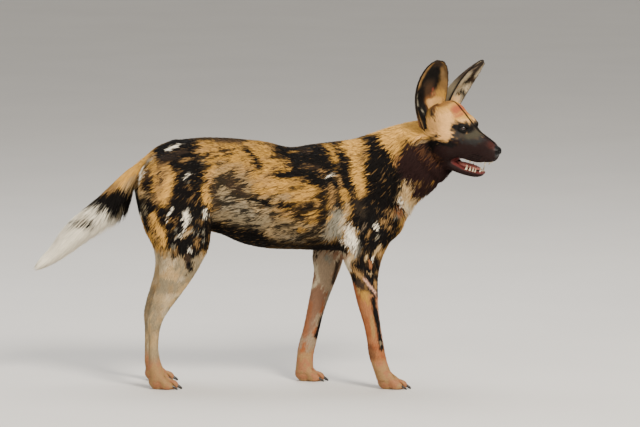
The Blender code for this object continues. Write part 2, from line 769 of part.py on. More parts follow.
def tail_cutter(name, extra):
    rings = [
        ellipse(TAIL_FRAME, a, 0, 0, TAIL_CUT_RADIUS + extra, TAIL_CUT_RADIUS + extra, 20)
        for a in (TAIL_SEAM - extra, BRUSH_SEAM + 0.06)
    ]
    return ring_solid(name, rings)


def build_trunk():
    """The torso, the neck, the tail's base and each leg's upper part, parted from one body."""
    body = body_mesh()
    parts = {}
    for leg in LEGS:
        upper = copy_of(body, node_name(leg, 0))
        combine(upper, [sleeve("seat", SEATS[leg.name], leg.side, 0.0)], "INTERSECT")
        clip(upper, (0, 0, leg.seam + GAP / 2), (0, 0, -1))
        parts[upper.name] = upper
    base = copy_of(body, "tail_base")
    combine(base, [tail_cutter("seat", 0.0)], "INTERSECT")
    clip(base, TAIL_FRAME.place(BRUSH_SEAM - GAP / 2, 0, 0), TAIL_FRAME.along)
    neck = copy_of(body, "neck")
    clip(neck, NECK_FRAME.place(NECK_SEAM + GAP / 2, 0, 0), -NECK_FRAME.along)
    clip(neck, NECK_FRAME.place(HEAD_SEAM - GAP / 2, 0, 0), NECK_FRAME.along)
    add_ruff(neck)
    torso = copy_of(body, "torso")
    clip(torso, NECK_FRAME.place(NECK_SEAM - GAP / 2, 0, 0), NECK_FRAME.along)
    seats = [sleeve("seat", SEATS[leg.name], leg.side, GAP) for leg in LEGS]
    for seat in seats + [tail_cutter("seat", GAP)]:
        combine(torso, [seat], "DIFFERENCE")
    bpy.data.objects.remove(body)
    parts.update({"tail_base": base, "neck": neck, "torso": torso})
    return parts


def node_name(leg, place):
    end, side = leg.name.split("_")
    return f"{end}_{LEG_NODES[end][place]}_{side}" if place == 2 else f"{LEG_NODES[end][place]}_{side}"


def build_lower_leg(leg):
    """The forearm or shank, and the paw with its claws."""
    y = leg.side * 0.076
    span = [row[1] + leg.shift for row in leg.rows if row[0] < leg.seam + 0.03]
    back = [row[2] + leg.shift for row in leg.rows if row[0] < leg.seam + 0.03]
    low = (-0.02, min(back) - 0.05, y - 0.07)
    high = (leg.seam + 0.03, max(span) + 0.07, y + 0.07)
    limb = Field(UPRIGHT, low, high, LEG_CELL)
    for shape, blend in body_shapes():
        limb.join(shape, blend)
    lower = limb.mesh(node_name(leg, 1), LEG_TRIANGLES)
    clip(lower, (0, 0, leg.seam - GAP / 2), (0, 0, 1))
    clip(lower, (0, 0, leg.paw_seam + GAP / 2), (0, 0, -1))
    foot = Field(UPRIGHT, low, (leg.paw_seam + 0.02, high[1], high[2]), PAW_CELL)
    foot.join(leg.loft(), 0.01)
    for toe in leg.toes():
        foot.join(toe, 0.006)
    paw = foot.mesh(node_name(leg, 2), PAW_TRIANGLES)
    clip(paw, (0, 0, leg.paw_seam - GAP / 2), (0, 0, 1))
    clip(paw, (0, 0, 0), (0, 0, -1))
    claws = []
    for root, tip in leg.claws():
        frame = aimed(root, tip)
        claws.append(cone("claw", frame, (tip - root).length, CLAW_RADIUS))
    combine(paw, claws, "UNION")
    return {lower.name: lower, paw.name: paw}


# The brush's rows of locks: root, tip, how many, and the angles they lie between.
ALL_ROUND = (0.0, math.tau)
UNDERSIDE = (math.radians(140), math.radians(220))
BRUSH_ROWS = (
    (0.130, 0.220, 5, ALL_ROUND),
    (0.175, 0.310, 4, ALL_ROUND),
    (0.230, 0.395, 4, ALL_ROUND),
    (0.310, 0.499, 3, ALL_ROUND),
    (0.150, 0.200, 1, UNDERSIDE),
    (0.200, 0.260, 1, UNDERSIDE),
)
BRUSH_LOCK = 0.046  # a lock's width


def tail_brush():
    """The brush: a slim core under long locks, whose tips lie on its outer form."""
    form = Field(TAIL_FRAME, (0.06, -0.10, -0.06), (0.53, 0.06, 0.06), TAIL_CELL)
    form.join(Loft(TAIL_FRAME, TAIL), 0.01)
    outer = form.mesh("brush form", TAIL_TRIANGLES * 2)
    inner = Field(TAIL_FRAME, (0.06, -0.10, -0.06), (0.53, 0.06, 0.06), TAIL_CELL)
    inner.join(Loft(TAIL_FRAME, BRUSH_CORE), 0.01)
    brush = inner.mesh("tail_brush", TAIL_TRIANGLES)
    coat = Coat(brush, outer, TAIL_FRAME, seed=11)
    for number, (root, tip, count, around) in enumerate(BRUSH_ROWS):
        coat.row(root, tip, count, around, BRUSH_LOCK, LOCK_THICK, 0.003, turn=0.5 * (number % 2))
    combine(brush, coat.locks, "UNION")
    clip(brush, TAIL_FRAME.place(BRUSH_SEAM + GAP / 2, 0, 0), -TAIL_FRAME.along)
    bpy.data.objects.remove(outer)
    return brush


# The ruff's rows of locks: root and tip along the neck, and number round it.
RUFF_ROWS = (
    (0.097, 0.040, 7),
    (0.066, 0.010, 6),
    (0.032, -0.013, 6),
)
RUFF_ROUND = (math.radians(42), math.radians(318))  # the mane along the top of the neck is short
RUFF_LOCK = 0.068  # a lock's width


def add_ruff(neck):
    """Sinks the neck's sides and throat and covers them with locks out to where they were."""
    outer = copy_of(neck, "neck form")
    span = HEAD_SEAM - NECK_SEAM
    for vert in neck.data.vertices:
        along, up, side = NECK_FRAME.local(vert.co)
        middle = math.sin(math.pi * min(max((along - NECK_SEAM) / span, 0), 1)) ** 0.7
        away = math.hypot(up, side)
        lower = min(max((1.1 - up / away) / 0.8, 0), 1)
        shrink = 1 - RUFF_DEPTH * middle * lower / away
        vert.co = NECK_FRAME.place(along, up * shrink, side * shrink)
    coat = Coat(neck, outer, NECK_FRAME, seed=5)
    for number, (root, tip, count) in enumerate(RUFF_ROWS):
        coat.row(root, tip, count, RUFF_ROUND, RUFF_LOCK, LOCK_THICK, 0.005, turn=0.5 * (number % 2))
    combine(neck, coat.locks, "UNION")
    clip(neck, NECK_FRAME.place(NECK_SEAM + GAP / 2, 0, 0), -NECK_FRAME.along)
    clip(neck, NECK_FRAME.place(HEAD_SEAM - GAP / 2, 0, 0), NECK_FRAME.along)
    bpy.data.objects.remove(outer)


# The ears: base in the head's frame, tip in the world, which way the cup faces, half width,
# depth at the base and how far it flattens to the tip.
EAR_LENGTH_STEPS = 9
EAR_WIDTH_STEPS = 7
EAR_THICK = 0.0034
EARS = {
    "ear_right": ((-0.094, -0.022, -0.043), (0.476, -0.108, 0.924), (0.62, -0.78, 0.05), 0.056, 0.040, 0.62),
    "ear_left": ((-0.090, -0.018, 0.043), (0.606, 0.014, 0.914), (0.95, -0.30, 0.05), 0.056, 0.056, 0.86),
}


def ear(name, base, tip, facing, half_width, depth, taper):
    """A rounded upright cup with a thin rim, open forwards."""
    root = HEAD.place(*base)
    along = unit(Vector(tip) - root)
    length = (Vector(tip) - root).length
    face = Vector(facing)
    face = unit(face - along * face.dot(along))
    frame = Frame(root, along, face, unit(along.cross(face)))
    outer, inner = [], []
    for i in range(EAR_LENGTH_STEPS + 1):
        u = i / EAR_LENGTH_STEPS
        u = 1 - (1 - u) ** 1.35
        swell = 0.50 + 0.50 * math.sin(min(u / 0.52, 1) * math.pi / 2)
        close = math.sqrt(max(1 - max((u - 0.52) / 0.48, 0) ** 2.2, 0.0))
        wide = max(half_width * swell * close, 0.004)
        deep = depth * (1 - taper * u) * max(close, 0.35)
        hollow = min(max((u - 0.10) / 0.28, 0), 1)
        hollow = hollow * hollow * (3 - 2 * hollow)
        lean = 0.010 * math.sin(u * math.pi)
        outer.append([])
        inner.append([])
        for j in range(EAR_WIDTH_STEPS + 1):
            t = (2 * j / EAR_WIDTH_STEPS - 1) * math.pi / 2
            across, back = math.sin(t), math.cos(t)
            outer[-1].append(frame.place(u * length, -deep * back - lean, wide * across))
            depth = max(deep - EAR_THICK, 0.001) * hollow
            rise = -depth * back - lean + 0.0012
            inner[-1].append(frame.place(u * length * 0.985, rise, (wide - 0.0016) * across))
    rings = [o + n[::-1] for o, n in zip(outer, inner)]
    return ring_solid(name, rings)


def build_head():
    """The head with its lids, nostrils and upper teeth, the lower jaw, the tongue, ears and eyes."""
    head = Field(HEAD, (-0.27, -0.25, -0.125), (0.130, 0.09, 0.115), HEAD_CELL)
    head.join(Loft(NECK_FRAME, NECK), 0.02)
    for shape, blend in head_shapes():
        head.join(shape, blend)
    for shape in mouth_shapes():
        head.carve(shape, 0.004)
    skull = head.mesh("head", HEAD_TRIANGLES)
    clip(skull, NECK_FRAME.place(HEAD_SEAM + GAP / 2, 0, 0), -NECK_FRAME.along)
    parts = {"head": skull}
    build_eyes(skull, parts)
    build_jaw(skull, parts)
    for name, sizes in EARS.items():
        cup = ear(name, *sizes)
        combine(cup, [grown(skull, GAP, "seat")], "DIFFERENCE")
        parts[name] = cup
    return parts


def build_eyes(skull, parts):
    """Each eye is a ball in a socket, under lids with an almond-shaped opening."""
    lids, openings = [], []
    for side, name in ((-1, "eye_right"), (1, "eye_left")):
        frame = eye_frame(side)
        reach = EYE_RADIUS + 0.0026
        lids.append(dome("lid", frame.origin, (reach,) * 3))
        almond = [
            (math.cos(a) * 0.0105, math.sin(a) * 0.0072 * (1 - 0.35 * abs(math.cos(a))))
            for a in (math.tau * i / 16 for i in range(16))
        ]
        rings = [[frame.place(d, u * s, w * s) for w, u in almond] for d, s in ((0.001, 0.9), (0.018, 1.1))]
        openings.append(ring_solid("opening", rings))
        openings.append(dome("socket", frame.origin, (EYE_RADIUS,) * 3, SEAM))
        parts[name] = dome(name, frame.origin, (EYE_RADIUS,) * 3)
    for side in (-1, 1):
        openings.append(dome("nostril", HEAD.place(0.1115, -0.0415, side * 0.0085), (0.0040,) * 3, sides=8))
        openings.append(dome("slit", HEAD.place(0.1080, -0.0455, side * 0.0140), (0.0030,) * 3, sides=8))
    for lid in lids:
        combine(skull, [lid], "UNION")
    for opening in openings:
        combine(skull, [opening], "DIFFERENCE")


JAW_HINGE = (0.000, -0.0925)
JAW_HEEL = (-0.066, -0.150)


def jaw_prism(extra):
    """What the lower jaw takes of the head: all below the mouth, back to a slanting seam."""
    corner, heel = Vector(JAW_HINGE), Vector(JAW_HEEL)
    slope = (heel - corner).normalized()
    normal = Vector((slope.y, -slope.x))
    if normal.x > 0:
        normal = -normal
    outline = (
        (0.20, JAW_HINGE[1] + extra),
        tuple(corner + normal * extra + Vector((0, extra * 0.5))),
        tuple(heel + normal * extra),
        tuple(heel + normal * extra + Vector((0, -0.10))),
        (0.20, -0.25),
    )
    return ring_solid("jaw cut", [[HEAD.place(a, u, s) for a, u in outline] for s in (-0.15, 0.15)])


def build_jaw(skull, parts):
    jaw = copy_of(skull, "lower_jaw")
    combine(jaw, [jaw_prism(0.0)], "INTERSECT")
    combine(skull, [jaw_prism(GAP)], "DIFFERENCE")
    combine(skull, list(teeth(UPPER_TEETH, 1)), "UNION")
    cut = dome("trough", Vector(), (0.046, 0.010, 0.016))
    cut.matrix_world = head_matrix((0.024, -0.1050, 0))
    bake_place(cut)
    combine(jaw, [cut], "DIFFERENCE")
    combine(jaw, list(teeth(LOWER_TEETH, -1)), "UNION")
    tongue = dome("tongue", Vector(), (0.043, 0.0080, 0.0135))
    tongue.matrix_world = head_matrix((0.022, -0.1050, 0))
    bake_place(tongue)
    combine(tongue, [grown(jaw, GAP, "seat")], "DIFFERENCE")
    combine(tongue, [grown(skull, GAP, "seat")], "DIFFERENCE")
    parts["lower_jaw"] = jaw
    parts["tongue"] = tongue


# Teeth of one side, in the head's frame: ahead, up, out, length and root radius.
UPPER_TEETH = (
    (0.0780, -0.0765, 0.0150, 0.0125, 0.0034),
    (0.0870, -0.0735, 0.0095, 0.0060, 0.0022),
    (0.0895, -0.0730, 0.0058, 0.0055, 0.0019),
    (0.0905, -0.0730, 0.0020, 0.0055, 0.0019),
    (0.0630, -0.0790, 0.0170, 0.0060, 0.0030),
    (0.0340, -0.0815, 0.0200, 0.0090, 0.0046),
)
LOWER_TEETH = (
    (0.0640, -0.1110, 0.0095, 0.0140, 0.0032),
    (0.0685, -0.1120, 0.0055, 0.0075, 0.0018),
    (0.0700, -0.1120, 0.0018, 0.0075, 0.0018),
    (0.0520, -0.1120, 0.0150, 0.0085, 0.0028),
    (0.0260, -0.1110, 0.0200, 0.0110, 0.0042),
)


def teeth(rows, down):
    """Pegs for both sides of a jaw, pointing down from the upper one or up from the lower one."""
    for ahead, up, out, length, radius in rows:
        for side in (-1, 1):
            root = HEAD.place(ahead, up, side * out)
            tip = HEAD.place(ahead + 0.12 * length * (-1 if down else 1), up - down * length, side * out)
            yield cone("tooth", aimed(root, tip), length, radius, sink=0.003)


def head_matrix(place):
    """A matrix whose X runs along the muzzle, Y up it and Z to its left."""
    matrix = Matrix((HEAD.along, HEAD.up, HEAD.side)).transposed().to_4x4()
    matrix.translation = HEAD.place(*place)
    return matrix


def bake_place(obj):
    obj.data.transform(obj.matrix_world)
    obj.matrix_world = Matrix()
    face_outwards(obj)


# Colours, taken from each part's look: base colour and roughness.
FINISHES = {
    "coat_black": ((0.030, 0.024, 0.020), 0.85),
    "coat_ochre": ((0.330, 0.200, 0.090), 0.85),
    "coat_tan": ((0.270, 0.140, 0.070), 0.85),
    "coat_white": ((0.620, 0.580, 0.500), 0.85),
    "coat_cream": ((0.450, 0.350, 0.220), 0.85),
    "eye_brown": ((0.060, 0.025, 0.010), 0.08),
    "mouth_pink": ((0.420, 0.130, 0.120), 0.40),
}
NODE_FINISHES = {
    "torso": "coat_ochre",
    "neck": "coat_black",
    "shoulder": "coat_black",
    "thigh": "coat_black",
    "forearm": "coat_tan",
    "fore_paw": "coat_tan",
    "shank": "coat_cream",
    "hind_paw": "coat_cream",
    "head": "coat_cream",
    "lower_jaw": "coat_black",
    "tongue": "mouth_pink",
    "tail_base": "coat_ochre",
    "tail_brush": "coat_white",
    "ear": "coat_black",
    "eye": "eye_brown",
}


def paint(parts):
    made = {}
    for name, (colour, roughness) in FINISHES.items():
        material = bpy.data.materials.new(name)
        material.use_nodes = True
        shader = material.node_tree.nodes["Principled BSDF"]
        shader.inputs["Base Color"].default_value = (*colour, 1)
        shader.inputs["Roughness"].default_value = roughness
        made[name] = material
    for name, obj in parts.items():
        obj.data.materials.clear()
        kind = name.removesuffix("_right").removesuffix("_left")
        obj.data.materials.append(made[NODE_FINISHES[kind]])
        obj.data.shade_smooth()
        obj.data.set_sharp_from_angle(angle=math.radians(40))


def main():
    for obj in list(bpy.data.objects):
        bpy.data.objects.remove(obj)
    parts = build_trunk()
    for leg in LEGS:
        parts.update(build_lower_leg(leg))
    parts.update(build_head())
    parts["tail_brush"] = tail_brush()
    paint(parts)


main()
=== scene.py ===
"""African wild dog, life size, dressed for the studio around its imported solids.

One smooth skin is built from the same profiles as the solids, a coat's depth
inside them. Joined meshes of tufts cover it, following the lie of the hair.
Lengths are in metres: +X is the way the animal faces, +Y its left, +Z up.
"""

import logging
import math
from dataclasses import dataclass, field
from enum import Enum
from typing import Callable, Iterator, Sequence

import bpy
import numpy as np
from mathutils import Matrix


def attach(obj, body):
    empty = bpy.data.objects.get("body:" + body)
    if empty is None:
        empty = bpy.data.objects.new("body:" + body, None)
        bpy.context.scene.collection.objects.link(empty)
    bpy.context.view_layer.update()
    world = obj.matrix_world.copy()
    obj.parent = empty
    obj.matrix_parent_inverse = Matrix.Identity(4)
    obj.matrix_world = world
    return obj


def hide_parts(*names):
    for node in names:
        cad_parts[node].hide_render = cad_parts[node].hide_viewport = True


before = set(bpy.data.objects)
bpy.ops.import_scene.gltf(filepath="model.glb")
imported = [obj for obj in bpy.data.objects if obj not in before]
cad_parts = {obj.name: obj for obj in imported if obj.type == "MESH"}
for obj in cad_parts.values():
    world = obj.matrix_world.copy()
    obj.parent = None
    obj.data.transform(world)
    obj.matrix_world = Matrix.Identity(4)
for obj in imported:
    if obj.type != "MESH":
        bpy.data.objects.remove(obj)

import openvdb
from mathutils import Matrix, Vector

LOG = logging.getLogger("wild_dog")
Array = np.ndarray
Row = tuple[float, float, float, float, float]
BODY = "root"


class Hue(Enum):
    """The coat's and the skin's colours, as linear red, green and blue."""

    BLACK = (0.0045, 0.0036, 0.0032)
    OCHRE = (0.400, 0.210, 0.042)
    GOLD = (0.590, 0.315, 0.070)
    TAN = (0.330, 0.185, 0.065)
    UMBER = (0.038, 0.023, 0.014)
    GREY = (0.240, 0.190, 0.115)
    SMOKE = (0.300, 0.215, 0.135)
    SILVER = (0.215, 0.195, 0.145)
    WHITE = (0.900, 0.810, 0.640)
    CREAM = (0.440, 0.300, 0.145)
    PALE = (0.540, 0.440, 0.290)
    PEACH = (0.780, 0.430, 0.150)
    MAROON = (0.0165, 0.0075, 0.0068)
    SLATE = (0.024, 0.023, 0.022)
    # A painted highlight on the muzzle's dark fur.
    OLIVE = (0.062, 0.054, 0.034)
    RUSSET = (0.190, 0.080, 0.030)
    RUST = (0.300, 0.095, 0.034)
    RUSTGREY = (0.230, 0.120, 0.070)
    # Pink of the paws and the tongue, also painted as a highlight on the near foreleg's front edge.
    ROSE = (0.560, 0.320, 0.220)
    CLAY = (0.350, 0.140, 0.055)
    BLOOD = (0.360, 0.075, 0.045)
    GUM = (0.120, 0.026, 0.024)
    NOSE = (0.0035, 0.0030, 0.0032)

    @property
    def row(self) -> Array:
        """The colour as an array."""
        return np.array(self.value)

    def rows(self, count: int) -> Array:
        """The colour repeated as rows."""
        return np.tile(self.value, (count, 1))


def unit(vector: Sequence[float] | Array) -> Array:
    """Gives a vector, or each row of an array of them, the length one."""
    vector = np.asarray(vector, float)
    return vector / np.maximum(np.linalg.norm(vector, axis=-1, keepdims=True), 1e-9)


def ramp(low: float, high: float, value: Array) -> Array:
    """Rises smoothly from 0 at low to 1 at high."""
    t = np.clip((value - low) / (high - low), 0, 1)
    return t * t * (3 - 2 * t)


def mix(a: Array, b: Array, share: Array) -> Array:
    """Blends two arrays by a share from 0 to 1."""
    return a + (b - a) * share


# Forms


@dataclass(frozen=True)
class Axes:
    """An origin and three axes: along a part, up or forward across it, and sideways."""

    origin: Array
    along: Array
    up: Array
    side: Array

    def place(self, along: float | Array, up: float | Array, side: float | Array) -> Array:
        """Turns a place in these axes into a point."""
        parts = (np.asarray(v, float)[..., None] for v in (along, up, side))
        a, u, s = parts
        return self.origin + self.along * a + self.up * u + self.side * s

    def local(self, points: Sequence[Array]) -> list[Array]:
        """Gives coordinates in these axes of points held as three arrays."""
        found = []
        for axis in (self.along, self.up, self.side):
            used = [(p - o) * c for p, o, c in zip(points, self.origin, axis) if abs(c) > 1e-9]
            found.append(sum(used[1:], used[0]))
        return found

    def turned(self, vector: Sequence[float]) -> Array:
        """Turns a direction in these axes into one of the row's frame."""
        return self.along * vector[0] + self.up * vector[1] + self.side * vector[2]


def aimed(start: Sequence[float], end: Sequence[float]) -> Axes:
    """Axes at start whose first one points to end and whose second is as upright as can be."""
    along = unit(np.subtract(end, start))
    side = unit(np.cross((0, 0, 1), along))
    return Axes(np.array(start, float), along, np.cross(along, side), side)


def turned_head(origin: Sequence[float], yaw: float, pitch: float) -> Axes:
    """Axes of a head turned by yaw to its left and by pitch nose down."""
    cy, sy, cp, sp = math.cos(yaw), math.sin(yaw), math.cos(pitch), math.sin(pitch)
    along = np.array((cy * cp, sy * cp, -sp))
    up = np.array((cy * sp, sy * sp, cp))
    return Axes(np.array(origin, float), along, up, np.array((-sy, cy, 0.0)))


LEVEL = Axes(np.zeros(3), np.array((1.0, 0, 0)), np.array((0, 0, 1.0)), np.array((0, 1.0, 0)))
UPRIGHT = Axes(np.zeros(3), np.array((0, 0, 1.0)), np.array((1.0, 0, 0)), np.array((0, 1.0, 0)))


def curve_through(rows: Sequence[Row], samples: int = 300) -> tuple[Array, Array]:
    """Runs a smooth curve through a profile's rows.

    Args:
        rows: Place along the axis, then the values there.
        samples: How many places the curve is given at.

    Returns:
        The places along the axis and the values there.
    """
    table = np.array(rows, float)
    table = table[np.argsort(table[:, 0])]
    at, values = table[:, 0], table[:, 1:]
    slope = np.gradient(values, at, axis=0)
    fine = np.linspace(at[0], at[-1], samples)
    i = np.clip(np.searchsorted(at, fine) - 1, 0, len(at) - 2)
    width = (at[i + 1] - at[i])[:, None]
    t = ((fine - at[i]) / (at[i + 1] - at[i]))[:, None]
    leave, arrive = slope[i] * width, slope[i + 1] * width
    curve = (
        (2 * t**3 - 3 * t**2 + 1) * values[i]
        + (t**3 - 2 * t**2 + t) * leave
        + (3 * t**2 - 2 * t**3) * values[i + 1]
        + (t**3 - t**2) * arrive
    )
    return fine, curve


class Form:
    """A closed shape that knows how far a point is from its surface, negative inside."""

    def corners(self) -> Array:
        """Gives points whose box holds the shape."""
        raise NotImplementedError

    def distance(self, points: Sequence[Array]) -> Array:
        """Gives the distance of points held as three arrays."""
        raise NotImplementedError


class Loft(Form):
    """A rounded bar whose edges follow a profile's rows."""

    def __init__(self, axes: Axes, rows: Sequence[Row], side: int = 1, shift: float = 0.0,
                 squareness: float = 2.0, keel: float = 0.0) -> None:
        """Prepares the profile.

        Args:
            axes: The bar's axes.
            rows: Place along, upper or front edge, lower or back edge, half width, sideways shift.
            side: 1 or -1, which way the sideways shift goes.
            shift: Moves the upper and lower edges.
            squareness: 2 is an ellipse across, more is squarer.
            keel: How much wider it is above than below.
        """
        self.axes, self.side, self.shift = axes, side, shift
        self.squareness, self.keel = squareness, keel
        self.at, self.columns = curve_through(rows)

    def corners(self) -> Array:
        """Gives points whose box holds the shape."""
        high, low = self.columns[:, 0].max() + self.shift, self.columns[:, 1].min() + self.shift
        reach = (self.columns[:, 2] + abs(self.columns[:, 3])).max()
        ends = (self.at[0], self.at[-1])
        return np.array([self.axes.place(a, u, s) for a in ends for u in (low, high) for s in (-reach, reach)])

    def distance(self, points: Sequence[Array]) -> Array:
        """Gives the distance of points held as three arrays."""
        along, up, side = self.axes.local(points)
        up = up - self.shift
        spot = np.clip(along, self.at[0], self.at[-1])
        high, low, half, offset = (np.interp(spot, self.at, self.columns[:, c]) for c in range(4))
        tall = np.maximum((high - low) / 2, 1e-4)
        rise = (up - (high + low) / 2) / tall
        half = half * (1 + self.keel * np.clip(rise, -1, 1))
        across = np.abs(side - offset * self.side) / half
        n = self.squareness
        radius = (np.abs(rise) ** n + across**n) ** (1 / n)
        steep = np.sqrt((rise / tall) ** 2 + (across / half) ** 2) / np.maximum(np.sqrt(rise**2 + across**2), 1e-6)
        wall = (radius - 1) / np.maximum(steep, 1e-6)
        past = np.abs(along - spot)
        return np.where(past > 0, np.sqrt(np.maximum(wall, 0) ** 2 + past**2), wall)


class Ball(Form):
    """An ellipsoid with its radii along given axes."""

    def __init__(self, axes: Axes, centre: Sequence[float], radii: Sequence[float], tilt: float = 0.0) -> None:
        """Places the ellipsoid; tilt turns it about the sideways axis, front end down."""
        c, s = math.cos(tilt), math.sin(tilt)
        middle = axes.place(*centre)
        handed = float(np.dot(np.cross(axes.side, axes.along), axes.up))
        along = axes.along * c + handed * axes.up * s
        up = axes.up * c - handed * axes.along * s
        self.axes = Axes(middle, along, up, axes.side)
        self.radii = tuple(radii)

    def corners(self) -> Array:
        """Gives points whose box holds the shape."""
        a, b, c = self.radii
        signs = (-1, 1)
        return np.array([self.axes.place(i * a, j * b, k * c) for i in signs for j in signs for k in signs])

    def distance(self, points: Sequence[Array]) -> Array:
        """Gives the distance of points held as three arrays."""
        local = self.axes.local(points)
        near = np.sqrt(sum((p / r) ** 2 for p, r in zip(local, self.radii)))
        steep = np.sqrt(sum((p / (r * r)) ** 2 for p, r in zip(local, self.radii)))
        return near * (near - 1) / np.maximum(steep, 1e-6)


class Bone(Form):
    """A rounded bar from one point to another, with a radius at each."""

    def __init__(self, start: Sequence[float], end: Sequence[float], start_radius: float, end_radius: float) -> None:
        """Places the bar."""
        self.start, self.end = np.array(start, float), np.array(end, float)
        self.radii = (start_radius, end_radius)

    def corners(self) -> Array:
        """Gives points whose box holds the shape."""
        reach = max(self.radii)
        signs = (-reach, reach)
        shifts = np.array([(i, j, k) for i in signs for j in signs for k in signs])
        return np.concatenate((self.start + shifts, self.end + shifts))

    def distance(self, points: Sequence[Array]) -> Array:
        """Gives the distance of points held as three arrays."""
        line = self.end - self.start
        offset = [p - s for p, s in zip(points, self.start)]
        t = np.clip(sum(o * d for o, d in zip(offset, line)) / float(line @ line), 0, 1)
        away = np.sqrt(sum((o - d * t) ** 2 for o, d in zip(offset, line)))
        return away - (self.radii[0] + (self.radii[1] - self.radii[0]) * t)


@dataclass
class EyeOpening(Form):
    """The almond between an eye's lids, opening outwards from the eye's centre."""

    axes: Axes
    half_width: float
    half_height: float

    def corners(self) -> Array:
        """Gives points whose box holds the shape."""
        reach = self.half_width * 1.5
        signs = (-reach, reach)
        return np.array([self.axes.place(a, u, s) for a in (0, 0.03) for u in signs for s in signs])

    def distance(self, points: Sequence[Array]) -> Array:
        """Gives the distance of points held as three arrays."""
        out, up, side = self.axes.local(points)
        spread = np.maximum(out, 0.002) / 0.0125
        across = side / (self.half_width * spread)
        height = self.half_height * spread * (np.maximum(1 - across**2, 0) ** 0.75)
        wall = np.abs(up) - height
        return np.maximum(np.maximum(wall, (np.abs(across) - 1) * self.half_width), 0.003 - out)


def soft_min(a: Array, b: Array, blend: float) -> Array:
    """The lesser of two distances, rounded where they meet."""
    near = np.maximum(blend - np.abs(a - b), 0) / blend
    return np.minimum(a, b) - near * near * blend / 4


class Field:
    """Signed distances on a grid of cells laid along given axes."""

    FAR = 0.05

    def __init__(self, axes: Axes, low: Sequence[float], high: Sequence[float], cell: float) -> None:
        """Makes an empty grid between two corners given in the axes."""
        self.axes, self.cell = axes, cell
        self.low = np.array(low, float)
        count = np.ceil((np.array(high) - self.low) / cell).astype(int) + 1
        self.values = np.full(count, self.FAR, np.float32)

    def window(self, shape: Form, margin: float) -> tuple[slice, ...]:
        """Finds the cells within a margin of a shape."""
        corners = np.stack(self.axes.local(shape.corners().T), 1)
        first = np.floor((corners.min(0) - margin - self.low) / self.cell).astype(int)
        last = np.ceil((corners.max(0) + margin - self.low) / self.cell).astype(int) + 1
        first = np.clip(first, 0, self.values.shape)
        last = np.clip(last, first, self.values.shape)
        return tuple(slice(a, b) for a, b in zip(first, last))

    def points(self, window: tuple[slice, ...] | None = None) -> list[Array]:
        """Gives the cells' points as three arrays that broadcast together."""
        window = window or tuple(slice(0, n) for n in self.values.shape)
        steps = []
        for i, span in enumerate(window):
            shape = [1, 1, 1]
            shape[i] = span.stop - span.start
            steps.append((self.low[i] + self.cell * np.arange(span.start, span.stop)).reshape(shape))
        found = []
        for i in range(3):
            parts = [s * axis[i] for s, axis in zip(steps, (self.axes.along, self.axes.up, self.axes.side))
                     if abs(axis[i]) > 1e-9]
            found.append(sum(parts[1:], parts[0] + self.axes.origin[i]))
        return found

    def join(self, shape: Form, blend: float = 0.02) -> None:
        """Adds a shape, rounded by blend where it meets what is there."""
        window = self.window(shape, self.FAR)
        if self.values[window].size:
            found = shape.distance(self.points(window)).astype(np.float32)
            self.values[window] = soft_min(self.values[window], found, blend)

    def carve(self, shape: Form, blend: float = 0.004) -> None:
        """Hollows a shape out of what is there."""
        window = self.window(shape, 0.02)
        if self.values[window].size:
            found = shape.distance(self.points(window)).astype(np.float32)
            self.values[window] = -soft_min(-self.values[window], found, blend)

    def sink(self, depth: Callable[[Sequence[Array]], Array]) -> None:
        """Moves the surface inwards by a depth that may vary from place to place."""
        self.values += depth(self.points()).astype(np.float32)

    def cut(self, axes: Axes, at: float, beyond: bool) -> None:
        """Cuts across an axis, dropping what lies beyond the place or, if not beyond, before it."""
        along = axes.local(self.points())[0] - at
        self.values = np.maximum(self.values, (along if beyond else -along).astype(np.float32))

    def sample(self, points: Array) -> Array:
        """Reads the distance at points given as rows."""
        local = np.stack(self.axes.local(points.T), 1)
        at = (local - self.low) / self.cell
        i = np.clip(np.floor(at).astype(int), 0, np.array(self.values.shape) - 2)
        f = np.clip(at - i, 0, 1)
        total = np.zeros(len(points))
        for dx in (0, 1):
            for dy in (0, 1):
                for dz in (0, 1):
                    share = (f[:, 0] if dx else 1 - f[:, 0]) * (f[:, 1] if dy else 1 - f[:, 1])
                    share = share * (f[:, 2] if dz else 1 - f[:, 2])
                    total += share * self.values[i[:, 0] + dx, i[:, 1] + dy, i[:, 2] + dz]
        return total

    def slope(self, points: Array) -> Array:
        """Gives the outward direction at points given as rows."""
        step = self.cell
        steps = [np.eye(3)[i] * step for i in range(3)]
        return unit(np.stack([self.sample(points + s) - self.sample(points - s) for s in steps], 1))

    def surface(self) -> tuple[Array, Array]:
        """Finds the closed surface.

        Returns:
            The points as rows, and the quads as rows of point numbers.
        """
        for axis in range(3):
            edge = [slice(None)] * 3
            for end in (0, -1):
                edge[axis] = end
                self.values[tuple(edge)] = np.maximum(self.values[tuple(edge)], self.cell * 0.5)
        grid = openvdb.FloatGrid(background=self.FAR)
        grid.copyFromArray(self.values)
        found, quads = grid.convertToQuads(0.0)
        local = self.low + self.cell * found
        points = self.axes.place(local[:, 0], local[:, 1], local[:, 2])
        a, b, c, _ = (points[quads[:, k]] for k in range(4))
        centre = points[quads].mean(1)
        facing = np.einsum("ij,ij->i", np.cross(b - a, c - a), self.slope(centre))
        if (facing < 0).mean() > 0.5:
            quads = quads[:, ::-1]
        return points, quads.astype(np.int32)


